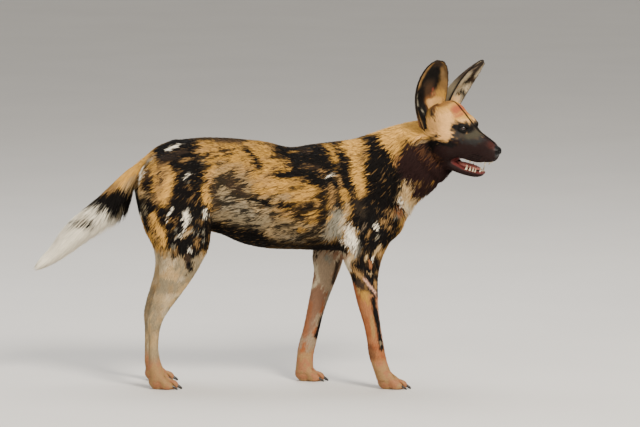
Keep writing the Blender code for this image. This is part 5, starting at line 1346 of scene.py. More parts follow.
class Graph:
    """The nodes of one material."""

    def __init__(self, name: str) -> None:
        """Makes a material with one Principled shader."""
        self.material = bpy.data.materials.new(name)
        self.material.use_nodes = True
        self.tree = self.material.node_tree
        self.shader = self.tree.nodes["Principled BSDF"]

    def node(self, kind: str, settings: dict, inputs: dict, output: int | str = 0) -> Wire:
        """Adds a node.

        Args:
            kind: The node's type.
            settings: Properties to set on it.
            inputs: Wires or constants by socket name or number.
            output: Which output to give back.

        Returns:
            The chosen output.
        """
        node = self.tree.nodes.new(kind)
        for key, value in settings.items():
            setattr(node, key, value)
        for key, value in inputs.items():
            self.feed(node.inputs[key], value)
        return Wire(self, node.outputs[output])

    def feed(self, socket: bpy.types.NodeSocket, value: "Wire | float | Sequence[float]") -> None:
        """Links a wire to a socket, or sets a constant on it."""
        if isinstance(value, Wire):
            self.tree.links.new(value.socket, socket)
        elif isinstance(value, (tuple, list)) and socket.type == "RGBA":
            socket.default_value = (*value, 1.0)
        else:
            socket.default_value = value

    def set(self, **inputs: "Wire | float | Sequence[float]") -> None:
        """Feeds the shader's inputs, named with underscores for spaces."""
        for key, value in inputs.items():
            self.feed(self.shader.inputs[key.replace("_", " ")], value)

    def place(self) -> Wire:
        """The point's own coordinates."""
        return self.node("ShaderNodeTexCoord", {}, {}, "Object")

    def stored(self, name: str, output: str = "Color") -> Wire:
        """An attribute kept on the mesh."""
        return self.node("ShaderNodeAttribute", {"attribute_name": name}, {}, output)

    def noise(self, place: Wire, size: float, detail: float = 3.0) -> Wire:
        """Smooth noise with grains of a size in metres."""
        return self.node("ShaderNodeTexNoise", {}, {"Vector": place, "Scale": 1 / size, "Detail": detail})

    def blend(self, low: "Wire | Sequence[float]", high: "Wire | Sequence[float]", share: "Wire | float",
              kind: str = "MIX") -> Wire:
        """Blends two colours."""
        settings = {"data_type": "RGBA", "blend_type": kind}
        return self.node("ShaderNodeMix", settings, {0: share, 6: low, 7: high}, 2)

    def tinted(self, colour: "Wire | Sequence[float]", shade: Wire, spread: float) -> Wire:
        """Makes a colour lighter and darker by a shade of 0 to 1."""
        level = 1 + (shade - 0.5) * spread
        grey = self.node("ShaderNodeCombineColor", {}, {0: level, 1: level, 2: level})
        return self.blend(colour, grey, 1.0, "MULTIPLY")

    def bump(self, height: Wire, depth: float, strength: float = 1.0) -> Wire:
        """A bumped normal, with heights of a depth in metres."""
        inputs = {"Height": height, "Distance": depth, "Strength": strength}
        return self.node("ShaderNodeBump", {}, inputs)


@dataclass(frozen=True)
class Finish:
    """A surface whose colour comes with the mesh, varied by grain."""

    name: str
    slot: str
    roughness: float
    grain: float
    spread: float
    relief: float = 0.0
    sheen: float = 0.0
    gloss: float = 0.3
    wet: float = 0.3

    def build(self) -> bpy.types.Material:
        """Makes the material: colour and wetness are read from the mesh."""
        graph = Graph(self.name)
        place = graph.place()
        shade = graph.noise(place, self.grain)
        colour = graph.tinted(graph.stored("coat"), shade, self.spread)
        wet = graph.stored("wet", "Fac")
        rough = self.roughness + (shade - 0.5) * 0.2
        graph.set(Base_Color=colour, Roughness=rough - wet * (self.roughness - self.wet), Sheen_Weight=self.sheen,
                  Specular_IOR_Level=self.gloss)
        if self.relief:
            graph.set(Normal=graph.bump(shade, self.relief))
        return graph.material


@dataclass(frozen=True)
class EyeFinish:
    """A wet amber-brown eye, drawn by the angle from its look."""

    name: str = "eye"
    slot: str = "eye_brown"
    pupil: float = 0.105
    iris: float = 0.215
    inner: tuple[float, float, float] = (0.042, 0.016, 0.006)
    outer: tuple[float, float, float] = (0.012, 0.005, 0.003)
    white: tuple[float, float, float] = (0.030, 0.016, 0.012)

    def build(self) -> bpy.types.Material:
        """Makes the material from the eye's own map: the angle from the look, then round it."""
        graph = Graph(self.name)
        spot = graph.node("ShaderNodeUVMap", {"uv_map": "Iris"}, {})
        split = graph.node("ShaderNodeSeparateXYZ", {}, {0: spot})
        angle = split
        stretched = graph.node("ShaderNodeVectorMath", {"operation": "MULTIPLY"}, {0: spot, 1: (6.0, 90.0, 1.0)})
        rays = graph.node("ShaderNodeTexNoise", {}, {"Vector": stretched, "Scale": 1.0, "Detail": 2.0})
        reach = angle + (rays - 0.5) * 0.03
        iris = graph.blend(self.inner, self.outer, reach.rise(self.pupil, self.iris))
        iris = graph.tinted(iris, rays, 0.9)
        colour = graph.blend(iris, (0.004, 0.003, 0.003), 1 - reach.rise(self.pupil * 0.9, self.pupil * 1.1))
        colour = graph.blend(colour, (0.008, 0.005, 0.004), reach.rise(self.iris * 0.84, self.iris))
        colour = graph.blend(colour, self.white, reach.rise(self.iris, self.iris * 1.18))
        graph.set(Base_Color=colour, Roughness=0.16 + rays * 0.06, Coat_Weight=0.45, Coat_Roughness=0.02)
        return graph.material


@dataclass(frozen=True)
class HornFinish:
    """Claws, teeth and whiskers, in two colours blended by grain."""

    name: str
    slot: str
    base: tuple[float, float, float]
    stain: tuple[float, float, float]
    roughness: float
    grain: float = 0.004
    gloss: float = 0.5
    wet: float = 0.25

    def build(self) -> bpy.types.Material:
        """Makes the material."""
        graph = Graph(self.name)
        place = graph.place()
        shade = graph.noise(place, self.grain)
        colour = graph.blend(self.base, self.stain, shade.rise(0.40, 0.68))
        graph.set(Base_Color=graph.tinted(colour, graph.noise(place, self.grain / 4), 0.35),
                  Roughness=self.roughness + shade * 0.12, Normal=graph.bump(shade, 0.0002), Coat_Weight=self.wet,
                  Specular_IOR_Level=self.gloss)
        return graph.material


@dataclass(frozen=True)
class FloorFinish:
    """Pale matt studio floor."""

    name: str = "floor"
    colour: tuple[float, float, float] = (0.62, 0.60, 0.57)

    def build(self) -> bpy.types.Material:
        """Makes the material."""
        graph = Graph(self.name)
        place = graph.place()
        colour = graph.tinted(self.colour, graph.noise(place, 0.5), 0.10)
        graph.set(Base_Color=colour, Roughness=0.85 + graph.noise(place, 0.01) * 0.1)
        return graph.material


FUR = Finish("fur", "coat_ochre", 0.66, 0.0016, 0.35, gloss=0.05)
LONG_FUR = Finish("long fur", "coat_white", 0.64, 0.0016, 0.25, gloss=0.06)
FACE_FUR = Finish("face fur", "coat_tan", 0.66, 0.0010, 0.35, gloss=0.05)
LEG_FUR = Finish("leg fur", "coat_cream", 0.66, 0.0012, 0.4, gloss=0.06)
DARK_FUR = Finish("ear fur", "coat_black", 0.68, 0.0010, 0.4, gloss=0.05)
HIDE = Finish("hide", "coat_ochre", 0.70, 0.0020, 0.7, relief=0.0008, gloss=0.2, wet=0.30)
FACE_HIDE = Finish("face hide", "coat_tan", 0.66, 0.0008, 0.5, relief=0.0004, gloss=0.14, wet=0.34)
TONGUE = Finish("tongue", "mouth_pink", 0.36, 0.0012, 0.5, relief=0.0005, gloss=0.5)
IVORY = HornFinish("ivory", "coat_white", (0.62, 0.53, 0.37), (0.34, 0.22, 0.12), 0.20)
CLAW = HornFinish("claw", "coat_black", (0.008, 0.006, 0.005), (0.030, 0.020, 0.014), 0.30)
WHISKER = HornFinish("whisker", "coat_black", (0.004, 0.0035, 0.0035), (0.010, 0.008, 0.007), 0.85, gloss=0.02, wet=0.0)
EYE = EyeFinish()
FLOOR = FloorFinish()


class Shop:
    """Builds each material once and joins pieces to the body."""

    def __init__(self) -> None:
        """Starts with no materials."""
        self.made: dict[str, bpy.types.Material] = {}

    def material(self, finish: Finish | EyeFinish | HornFinish | FloorFinish) -> bpy.types.Material:
        """Gives the finish's material."""
        if finish.name not in self.made:
            self.made[finish.name] = finish.build()
        return self.made[finish.name]

    def settle(self, obj: bpy.types.Object, finish: Finish | EyeFinish | HornFinish,
               stands_for: Sequence[str] = ()) -> bpy.types.Object:
        """Gives a piece its material and its place in the table.

        Args:
            obj: The finished piece.
            finish: What it is made of.
            stands_for: The CAD nodes that it replaces.

        Returns:
            The piece.
        """
        if not obj.data.materials:
            obj.data.materials.append(self.material(finish))
        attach(obj, BODY)
        if stands_for:
            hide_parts(*stands_for)
        LOG.info("%s: %d faces", obj.name, len(obj.data.polygons))
        return obj


SHOP = Shop()


# Meshes


def solid(name: str, points: Array, faces: Sequence[Array], colours: Array | None = None,
          wet: Array | None = None) -> bpy.types.Object:
    """Makes a smooth mesh object.

    Args:
        name: The object's name.
        points: The points, as rows.
        faces: Arrays of faces, each array with faces of one size.
        colours: Linear colours of the points, kept as the attribute "coat".
        wet: How wet each point is, kept as the attribute "wet".

    Returns:
        The object, in the scene.
    """
    mesh = bpy.data.meshes.new(name)
    corners = np.concatenate([f.ravel() for f in faces]).astype(np.int32)
    sizes = np.concatenate([np.full(len(f), f.shape[1]) for f in faces])
    starts = np.concatenate(((0,), np.cumsum(sizes)[:-1])).astype(np.int32)
    mesh.vertices.add(len(points))
    mesh.vertices.foreach_set("co", np.ascontiguousarray(points, np.float32).ravel())
    mesh.loops.add(len(corners))
    mesh.loops.foreach_set("vertex_index", corners)
    mesh.polygons.add(len(sizes))
    mesh.polygons.foreach_set("loop_start", starts)
    mesh.update(calc_edges=True)
    mesh.shade_smooth()
    if colours is not None:
        rgba = np.concatenate((colours, np.ones((len(colours), 1))), 1).astype(np.float32)
        mesh.attributes.new("coat", "FLOAT_COLOR", "POINT").data.foreach_set("color", rgba.ravel())
    if wet is not None:
        mesh.attributes.new("wet", "FLOAT", "POINT").data.foreach_set("value", wet.astype(np.float32))
    obj = bpy.data.objects.new(name, mesh)
    bpy.context.scene.collection.objects.link(obj)
    return obj


def tube_faces(rows: int, around: int) -> list[Array]:
    """Faces of a closed tube of rings, with a point in the middle of each end after the rings."""
    ring = np.arange(rows * around).reshape(rows, around)
    turned = np.roll(ring, -1, 1)
    quads = np.stack((ring[:-1], turned[:-1], turned[1:], ring[1:]), -1).reshape(-1, 4)
    first, last = rows * around, rows * around + 1
    start = np.stack((turned[0], ring[0], np.full(around, first)), 1)
    end = np.stack((ring[-1], turned[-1], np.full(around, last)), 1)
    return [quads, np.concatenate((start, end))]


@dataclass
class Tufts:
    """Many tufts of hair, with one row or entry for each."""

    roots: Array
    out: Array
    lie: Array
    length: Array
    width: Array
    height: Array
    colour: Array
    spot: Array

    SINK = 0.0008
    PATCH = 0.003

    def __len__(self) -> int:
        return len(self.roots)

    def part(self, chosen: Array) -> "Tufts":
        """Gives some of the tufts."""
        names = ("roots", "out", "lie", "length", "width", "height", "colour", "spot")
        return Tufts(*(getattr(self, name)[chosen] for name in names))

    def paths(self, steps: Sequence[float], skin: Field | None) -> Array:
        """Runs each tuft over the skin.

        Args:
            steps: How far along the tuft each ring lies, from 0 to 1.
            skin: The skin's field, where the tufts follow it.

        Returns:
            Points by tuft, step and axis.
        """
        found = []
        for step in steps:
            point = self.roots + self.lie * (self.length * step)[:, None]
            rise = self.height * step**1.2 - self.SINK * (1 - step)
            if skin is None:
                point = point + self.out * rise[:, None]
            else:
                way = skin.slope(point)
                point = point + way * (rise - skin.sample(point))[:, None]
            found.append(point)
        return np.stack(found, 1)


# A tuft's rings from root to tip: place along it and share of its full width.
SHORT_TUFT = ((0.0, 0.75), (0.45, 1.0), (1.0, 0.0))
LONG_TUFT = ((0.0, 0.60), (0.35, 1.0), (0.72, 0.62), (1.0, 0.0))
LIFT = 0.32  # how thick a tuft is, as a share of its width
EDGE_TURN = 0.6  # how far the normals at a tuft's edges lean outwards


def tuft_mesh(name: str, tufts: Tufts, paths: Array, widths: Sequence[float]) -> bpy.types.Object:
    """Joins tufts into one mesh of thin three-sided spikes.

    Args:
        name: The object's name.
        tufts: The tufts.
        paths: Each tuft's rings and tip, by tuft, step and axis.
        widths: Each ring's share of the tuft's width.

    Returns:
        The object.
    """
    count, steps = paths.shape[:2]
    rings = steps - 1
    travel = np.gradient(paths, axis=1)
    side = unit(np.cross(travel, tufts.out[:, None]))
    up = unit(np.cross(side, travel))
    half = tufts.width[:, None, None] * np.array(widths)[None, :, None] / 2
    left, right = paths - side * half, paths + side * half
    top = paths + up * half * 2 * LIFT
    body = np.stack((left, right, top), 2)[:, :rings].reshape(count, rings * 3, 3)
    points = np.concatenate((body, paths[:, -1:]), 1)
    size = rings * 3 + 1
    quads, triangles = [], [(0, 1, 2)]
    for ring in range(rings - 1):
        a, b = ring * 3, ring * 3 + 3
        quads += [(a + 1, b + 1, b + 2, a + 2), (a + 2, b + 2, b, a), (a, b, b + 1, a + 1)]
    a, tip = rings * 3 - 3, rings * 3
    triangles += [(a + 1, tip, a + 2), (a + 2, tip, a), (a, tip, a + 1)]
    shift = (np.arange(count) * size)[:, None, None]
    faces = [(shift + np.array(f)[None]).reshape(-1, len(f[0])) for f in (quads, triangles)]
    # Painted shade: each tuft darker towards its root, where the coat shades it, and a little lighter at its tip.
    shade = np.concatenate((np.repeat(np.linspace(0.88, 1.0, rings), 3), [1.05]))
    colours = np.clip(tufts.colour[:, None] * shade[None, :, None], 0, 1).reshape(-1, 3)
    obj = solid(name, points.reshape(-1, 3), faces, colours)
    lean = side[:, :rings] * EDGE_TURN
    normals = np.stack((up[:, :rings] - lean, up[:, :rings] + lean, up[:, :rings]), 2)
    normals = np.concatenate((normals.reshape(count, -1, 3), up[:, -1:]), 1)
    obj.data.normals_split_custom_set_from_vertices(unit(normals).reshape(-1, 3))
    patch_map(obj, tufts, rings)
    return obj


def patch_map(obj: bpy.types.Object, tufts: Tufts, rings: int) -> None:
    """Gives each tuft a small patch at its root's place on the skin's unwrap."""
    across = np.concatenate((np.tile((-0.5, 0.5, 0.0), rings), [0.0]))
    along = np.concatenate((np.repeat(np.linspace(-0.5, 0.2, rings), 3), [0.5]))
    patch = np.stack((across, along), 1) * Tufts.PATCH
    spots = np.clip(tufts.spot, 0.002, 0.998)[:, None] + patch[None]
    flat = spots.reshape(-1, 2)
    corners = np.empty(len(obj.data.loops), np.int32)
    obj.data.loops.foreach_get("vertex_index", corners)
    layer = obj.data.uv_layers.new(name="OFBake")
    layer.uv.foreach_set("vector", flat[corners].astype(np.float32).ravel())


def unwrap(axes: Axes, points: Array) -> Array:
    """Rolls points round an axis out flat into a unit square."""
    along, up, side = axes.local(points.T)
    low, high = along.min(), along.max()
    middle = (up.max() + up.min()) / 2, (side.max() + side.min()) / 2
    round_it = np.arctan2(side - middle[1], up - middle[0]) / math.tau + 0.5
    return np.stack(((along - low) / max(high - low, 1e-6), round_it), 1)


def scatter(points: Array, quads: Array, density: Callable[[Array], Array], random: np.random.Generator) -> Array:
    """Spreads roots over a surface.

    Args:
        points: The surface's points.
        quads: Its faces.
        density: Gives how many roots a square metre carries at points given as rows.
        random: The source of chance.

    Returns:
        The roots, as rows.
    """
    corner = points[quads]
    centre = corner.mean(1)
    area = 0.5 * np.linalg.norm(np.cross(corner[:, 2] - corner[:, 0], corner[:, 3] - corner[:, 1]), axis=1)
    wanted = area * density(centre)
    number = np.floor(wanted + random.random(len(wanted))).astype(int)
    chosen = np.repeat(np.arange(len(quads)), number)
    u, v = random.random((2, len(chosen), 1))
    corner = corner[chosen]
    low = corner[:, 0] * (1 - u) + corner[:, 1] * u
    high = corner[:, 3] * (1 - u) + corner[:, 2] * u
    return low * (1 - v) + high * v


# Skins


def wetness(points: Array) -> Array:
    """How wet the head's skin is: the nose, the mouth and the eyes' rims."""
    along, up, side = HEAD.local(points.T)
    nose = ramp(0.0, 0.004, 0.0205 - np.sqrt((along - 0.100) ** 2 + (up + 0.0415) ** 2 + side**2))
    wet = np.maximum(mouth_share(points), nose * ramp(0.086, 0.090, along))
    for side_of_eye in (-1, 1):
        rim = np.linalg.norm(points - eye_axes(side_of_eye).origin, axis=1)
        wet = np.maximum(wet, 0.7 * ramp(0.0142, 0.0128, rim))
    return wet


@dataclass
class Skin:
    """One stretch of the animal's skin and the field it was cut from."""

    name: str
    stands_for: tuple[str, ...]
    finish: Finish
    colours: Callable[[Array], Array]
    wet: Callable[[Array], Array] | None = None
    form: Field = field(init=False)
    points: Array = field(init=False)
    quads: Array = field(init=False)

    def shape(self) -> Field:
        """Builds the field of the skin."""
        raise NotImplementedError

    def build(self) -> bpy.types.Object:
        """Makes the skin's mesh."""
        self.form = self.shape()
        self.points, self.quads = self.form.surface()
        wet = self.wet(self.points) if self.wet else np.zeros(len(self.points))
        obj = solid(self.name, self.points, [self.quads], self.colours(self.points) * 0.8, wet)
        return SHOP.settle(obj, self.finish, self.stands_for)


@dataclass
class BodySkin(Skin):
    """The trunk, the neck, the tail's core and the legs down to the paws."""

    cell: float = 0.0042

    def shape(self) -> Field:
        """Builds the field of the skin."""
        body = Field(LEVEL, (-0.63, 0.060, -0.135), (0.56, 0.83, 0.135), self.cell)
        for shape, blend in trunk_shapes():
            body.join(shape, blend)
        for shape, blend in head_shapes():
            body.join(shape, blend)
        body.sink(coat_depth)
        body.cut(NECK_AXES, HEAD_SEAM + SKIN_LAP / 2, beyond=True)
        body.cut(UPRIGHT, PAW_TOP - SKIN_LAP / 2, beyond=False)
        return body


@dataclass
class PawSkin(Skin):
    """A paw with its pads, toes and knuckles."""

    leg: Leg = LEGS[0]
    cell: float = 0.0018

    def shape(self) -> Field:
        """Builds the field of the skin."""
        at = self.leg.paw_axes.origin
        low, high = (at[0] - 0.075, -0.006, at[1] - 0.045), (at[0] + 0.062, 0.086, at[1] + 0.045)
        paw = Field(LEVEL, low, high, self.cell)
        paw.join(self.leg.loft(), 0.01)
        for toe in self.leg.toes():
            paw.join(toe, 0.006)
        for (a, ahead, _), (b, behind, _) in zip(TOES, TOES[1:]):
            at, low, across = self.leg.paw_axes, min(ahead, behind), (a + b) / 2
            paw.carve(Bone(at.place(low + 0.020, 0.006, across), at.place(low + 0.006, 0.026, across), 0.0020, 0.0024), 0.004)
            paw.carve(Bone(at.place(low + 0.006, 0.026, across), at.place(-0.004, 0.038, across * 0.7), 0.0024, 0.0008), 0.005)
        paw.sink(coat_depth)
        paw.cut(UPRIGHT, PAW_TOP + SKIN_LAP / 2, beyond=True)
        paw.cut(UPRIGHT, 0.0, beyond=False)
        return paw


def mouth_shapes() -> Iterator[Form]:
    """The gap between the lips, widening towards the front, and the bed of the tongue."""
    yield Bone(HEAD.place(0.0, -0.0915, -0.055), HEAD.place(0.0, -0.0915, 0.055), 0.0060, 0.0060)
    for ahead, rise, tall in ((0.024, -0.096, 0.0110), (0.048, -0.0965, 0.0125), (0.074, -0.095, 0.0120)):
        yield Ball(HEAD, (ahead, rise, 0), (0.028, tall, 0.060))
    yield Ball(HEAD, (0.024, -0.1050, 0), (0.046, 0.010, 0.016))
    yield Ball(HEAD, (0.030, -0.0860, 0), (0.046, 0.008, 0.015))


@dataclass
class HeadSkin(Skin):
    """The head with its open mouth, lids, nostrils and folds."""

    cell: float = 0.0015
    lid: float = 0.0022
    opening: tuple[float, float] = (0.0112, 0.0050)

    def shape(self) -> Field:
        """Builds the field of the skin."""
        head = Field(HEAD, (-0.27, -0.25, -0.125), (0.130, 0.09, 0.115), self.cell)
        head.join(Loft(NECK_AXES, NECK), 0.02)
        for shape, blend in head_shapes():
            head.join(shape, blend)
        head.sink(coat_depth)
        for side in (-1, 1):
            self.add_lids(head, eye_axes(side), side)
        for shape in mouth_shapes():
            head.carve(shape, 0.003)
        self.add_nose(head)
        head.cut(NECK_AXES, HEAD_SEAM - SKIN_LAP / 2, beyond=False)
        return head

    def add_lids(self, head: Field, eye: Axes, side: int) -> None:
        """Lays lids over an eyeball, with a fold above and below, and opens them."""
        head.join(Ball(eye, (0, 0, 0), (EYE_RADIUS + self.lid,) * 3), 0.007)
        for rise, reach in ((0.0088, 0.0125), (-0.0082, 0.0120)):
            ends = [eye.place(0.0080, rise * 0.55, s * reach) for s in (-1, 1)]
            middle = eye.place(0.0098, rise, 0)
            for start, end in ((ends[0], middle), (middle, ends[1])):
                head.join(Bone(start, end, 0.0012, 0.0019), 0.004)
        inner = eye.place(0.0062, -0.0012, -side * 0.0125)
        head.carve(Bone(eye.place(0.0095, 0, -side * 0.0080), inner, 0.0016, 0.0008), 0.002)
        head.carve(EyeOpening(eye, *self.opening), 0.0012)
        head.carve(Ball(eye, (0, 0, 0), (EYE_RADIUS + 0.0003,) * 3), 0.0005)

    def add_nose(self, head: Field) -> None:
        """Opens the nostrils with their slits, and draws the groove down the nose to the lip."""
        for side in (-1, 1):
            head.carve(Ball(HEAD, (0.1118, -0.0405, side * 0.0082), (0.0062, 0.0036, 0.0042), 0.3), 0.0015)
            points = [HEAD.place(*p) for p in ((0.1110, -0.0440, side * 0.0100), (0.1075, -0.0465, side * 0.0148),
                                               (0.1010, -0.0445, side * 0.0180))]
            for start, end in zip(points, points[1:]):
                head.carve(Bone(start, end, 0.0017, 0.0012), 0.0015)
        head.carve(Bone(HEAD.place(0.1145, -0.0460, 0), HEAD.place(0.1040, -0.0740, 0), 0.0009, 0.0010), 0.002)


# The coat's growth


@dataclass(frozen=True)
class Pelt:
    """How the hair of one stretch grows: tufts per square metre, then sizes in metres."""

    density: float
    length: float
    width: float
    height: float

    def blend(self, other: "Pelt", share: Array) -> "Pelt":
        """Goes over to another stretch by a share."""
        names = ("density", "length", "width", "height")
        return Pelt(*(mix(getattr(self, n), getattr(other, n), share) for n in names))


BACK = Pelt(74_000, 0.0175, 0.0026, 0.0042)
SPARSE_BELLY = Pelt(60_000, 0.0140, 0.0024, 0.0036)
HAUNCH_EDGE = Pelt(76_000, 0.0230, 0.0026, 0.0058)
RUFF = Pelt(78_000, 0.0400, 0.0034, 0.0115)
LOWER_LEG = Pelt(104_000, 0.0105, 0.0019, 0.0017)
PAW = Pelt(200_000, 0.0062, 0.0013, 0.0009)
TAIL_ROOT = Pelt(90_000, 0.0190, 0.0026, 0.0026)
CROWN = Pelt(170_000, 0.0105, 0.0016, 0.0034)
FACE = Pelt(330_000, 0.0058, 0.0010, 0.0011)
CHEEK = Pelt(130_000, 0.0200, 0.0021, 0.0052)
THROAT = Pelt(100_000, 0.0320, 0.0030, 0.0100)
EAR_ROOT = Pelt(190_000, 0.0240, 0.0015, 0.0075)


def body_pelt(points: Array) -> Pelt:
    """The coat of the trunk, neck, legs and tail at points given as rows."""
    x, y, z = points.T
    pelt = BACK.blend(SPARSE_BELLY, ramp(0.44, 0.40, z) * ((x > -0.15) & (x < 0.12)))
    pelt = pelt.blend(HAUNCH_EDGE, ramp(-0.31, -0.34, x) * ramp(0.40, 0.46, z))
    pelt = pelt.blend(RUFF, neck_share(points.T))
    pelt = pelt.blend(LOWER_LEG, leg_share(points.T))
    tail = (x < -0.345) & (TAIL_AXES.local(points.T)[0] > 0.02) & (z > 0.33)
    return pelt.blend(TAIL_ROOT, tail * 1.0)


def head_pelt(points: Array) -> Pelt:
    """The coat of the head at points given as rows."""
    along, up, side = HEAD.local(points.T)
    pelt = CROWN.blend(RUFF, neck_share(points.T))
    cheek = ramp(-0.005, -0.035, along) * ramp(-0.010, -0.035, up)
    pelt = pelt.blend(CHEEK, cheek * (1 - 0.6 * neck_share(points.T)))
    throat = ramp(-0.095, -0.115, up) * ramp(0.02, -0.03, along)
    pelt = pelt.blend(THROAT, throat)
    return pelt.blend(FACE, face_share(points.T)).blend(EAR_ROOT, ear_root_share(points))


def ear_root_share(points: Array) -> Array:
    """How near points lie to an ear's root, from 0 to 1."""
    found = np.zeros(len(points))
    for ear in EARS:
        along, up, side = ear.axes.local(points.T)
        away = np.hypot(up, side)
        found = np.maximum(found, ramp(0.052, 0.040, away) * ramp(-0.03, -0.01, along) * ramp(0.07, 0.05, along))
    return found


@dataclass
class Comb:
    """Gives the way the hair lies all over the animal."""

    swirl: Noise = field(default_factory=lambda: Noise(23))

    def lay(self, wanted: Array, normals: Array, points: Array, random: np.random.Generator,
            waywardness: float) -> Array:
        """Lays wanted directions along the skin and turns them a little by chance.

        Args:
            wanted: Directions, as rows.
            normals: The skin's outward directions, as rows.
            points: Where the hair grows, as rows.
            random: The source of chance.
            waywardness: How far single tufts turn, in radians.

        Returns:
            Unit directions along the skin, as rows.
        """
        flat = unit(wanted - normals * np.einsum("ij,ij->i", wanted, normals)[:, None])
        turn = 0.35 * self.swirl.rough(points, 0.035) + random.normal(0, waywardness, len(points))
        across = np.cross(normals, flat)
        return flat * np.cos(turn)[:, None] + across * np.sin(turn)[:, None]

    def body(self, points: Array) -> Array:
        """Where the body's hair wants to lie."""
        x, y, z = points.T
        way = np.tile((-1.0, 0.0, -0.28), (len(points), 1))
        limb = ((x > 0.17) & (x < 0.40)) | ((x > -0.37) & (x < -0.15))
        down = limb * ramp(0.64, 0.50, z)
        way = mix(way, np.array((-0.55, 0.0, -0.85)), down[:, None])
        for leg in LEGS:
            near = leg.middle(z)
            on_leg = (np.abs(x - near) < 0.085) & (y * leg.side > 0) & (z < 0.44)
            slope = (leg.middle(z - 0.01) - near) / 0.01
            along = unit(np.stack((slope - 0.10, np.zeros(len(x)), -np.ones(len(x))), 1))
            way = mix(way, along, (on_leg * ramp(0.44, 0.38, z))[:, None])
        foot = ramp(0.075, 0.045, z)[:, None]
        way = mix(way, np.array((0.75, 0.0, -0.65)), foot)
        on_neck = ramp(-0.07, 0.02, NECK_AXES.local(points.T)[0]) * ramp(0.20, 0.17, self.from_neck(points))
        way = mix(way, unit(-NECK_AXES.along + np.array((0, 0, -0.35))), on_neck[:, None])
        rump = ramp(-0.26, -0.31, x) * ramp(0.56, 0.62, z)
        way = mix(way, np.array((-0.80, 0.0, -0.60)), rump[:, None])
        tail = (x < -0.345) & (z > 0.33) & (TAIL_AXES.local(points.T)[0] > 0.03)
        return mix(way, TAIL_AXES.along, (tail * 1.0)[:, None])

    def from_neck(self, points: Array) -> Array:
        """How far points lie from the neck's axis."""
        _, up, side = NECK_AXES.local(points.T)
        return np.hypot(up, side)

    def head(self, points: Array) -> Array:
        """Where the head's hair wants to lie."""
        along, up, side = HEAD.local(points.T)
        way = np.tile(-HEAD.along, (len(points), 1))
        cheek = ramp(0.0, -0.04, along) * ramp(-0.02, -0.05, up)
        back_and_down = unit(-HEAD.along * 0.8 - HEAD.up * 0.6)
        way = mix(way, back_and_down, cheek[:, None])
        for eye in (-1, 1):
            away = points - eye_axes(eye).origin
            near = ramp(0.034, 0.018, np.linalg.norm(away, axis=1))
            way = mix(way, unit(unit(away) - HEAD.along * 0.8), (near * 0.7)[:, None])
        lips = ramp(0.0, 0.03, along) * ramp(-0.055, -0.075, up)
        way = mix(way, unit(-HEAD.along * 0.9 - HEAD.up * 0.35), lips[:, None])
        for ear in EARS:
            up_ear = ramp(0.060, 0.035, np.linalg.norm(points - ear.axes.place(0.02, 0, 0), axis=1))
            way = mix(way, unit(ear.axes.along - HEAD.along * 0.5), up_ear[:, None])
        return mix(way, unit(-NECK_AXES.along + np.array((0, 0, -0.3))), neck_share(points.T)[:, None])


@dataclass
class Coat:
    """Clothes a skin in tufts, as several joined pieces."""

    name: str
    skin: Skin
    pelt: Callable[[Array], Pelt]
    wanted: Callable[[Array], Array]
    keep: Callable[[Array], Array]
    finish: Finish
    seed: int
    waywardness: float = 0.16
    long_over: float = 0.024

    MOST = {10: 19_000, 16: 11_500}

    def grow(self, comb: Comb) -> Tufts:
        """Finds every tuft's root, way, size and colour."""
        random = np.random.default_rng(self.seed)
        density = lambda at: self.pelt(at).density * self.keep(at)
        roots = scatter(self.skin.points, self.skin.quads, density, random)
        out = self.skin.form.slope(roots)
        pelt = self.pelt(roots)
        lie = comb.lay(self.wanted(roots), out, roots, random, self.waywardness)
        count = len(roots)
        length = pelt.length * random.uniform(0.70, 1.25, count)
        width = pelt.width * random.uniform(0.75, 1.25, count)
        height = pelt.height * random.uniform(0.45, 1.0, count)
        drawn = roots + lie * (random.normal(0.5, 0.3, count) * np.minimum(length, 0.02))[:, None]
        drawn = drawn + random.normal(0, 0.0010, (count, 3))
        colour = self.skin.colours(drawn) * random.uniform(0.88, 1.12, count)[:, None]
        spot = unwrap(self.unroll(roots), roots)
        return Tufts(roots, out, lie, length, width, height, colour, spot)

    def unroll(self, roots: Array) -> Axes:
        """The axis that this stretch of skin is rolled out from."""
        return HEAD if self.skin.name == "head_skin" else LEVEL

    def build(self, comb: Comb) -> None:
        """Makes the pieces: long tufts have one ring more."""
        tufts = self.grow(comb)
        long = tufts.length > self.long_over
        for word, chosen, rings in (("", ~long, SHORT_TUFT), ("_long", long, LONG_TUFT)):
            if chosen.sum():
                self.pieces(tufts.part(chosen), word, rings)

    def pieces(self, tufts: Tufts, word: str, rings: Sequence[tuple[float, float]]) -> None:
        """Parts tufts into pieces by side and from back to front."""
        triangles = 6 * (len(rings) - 2) + 4
        steps, widths = [r[0] for r in rings], [r[1] for r in rings]
        for side, flank in ((tufts.roots[:, 1] < 0, "right"), (tufts.roots[:, 1] >= 0, "left")):
            order = np.flatnonzero(side)
            order = order[np.argsort(tufts.roots[order, 0])]
            parts = math.ceil(len(order) / self.MOST[triangles])
            for number, chosen in enumerate(np.array_split(order, parts) if parts else ()):
                part = tufts.part(chosen)
                name = f"{self.name}{word}_{flank}" + (f"_{number + 1}" if parts > 1 else "")
                obj = tuft_mesh(name, part, part.paths(steps, self.skin.form), widths)
                SHOP.settle(obj, self.finish)


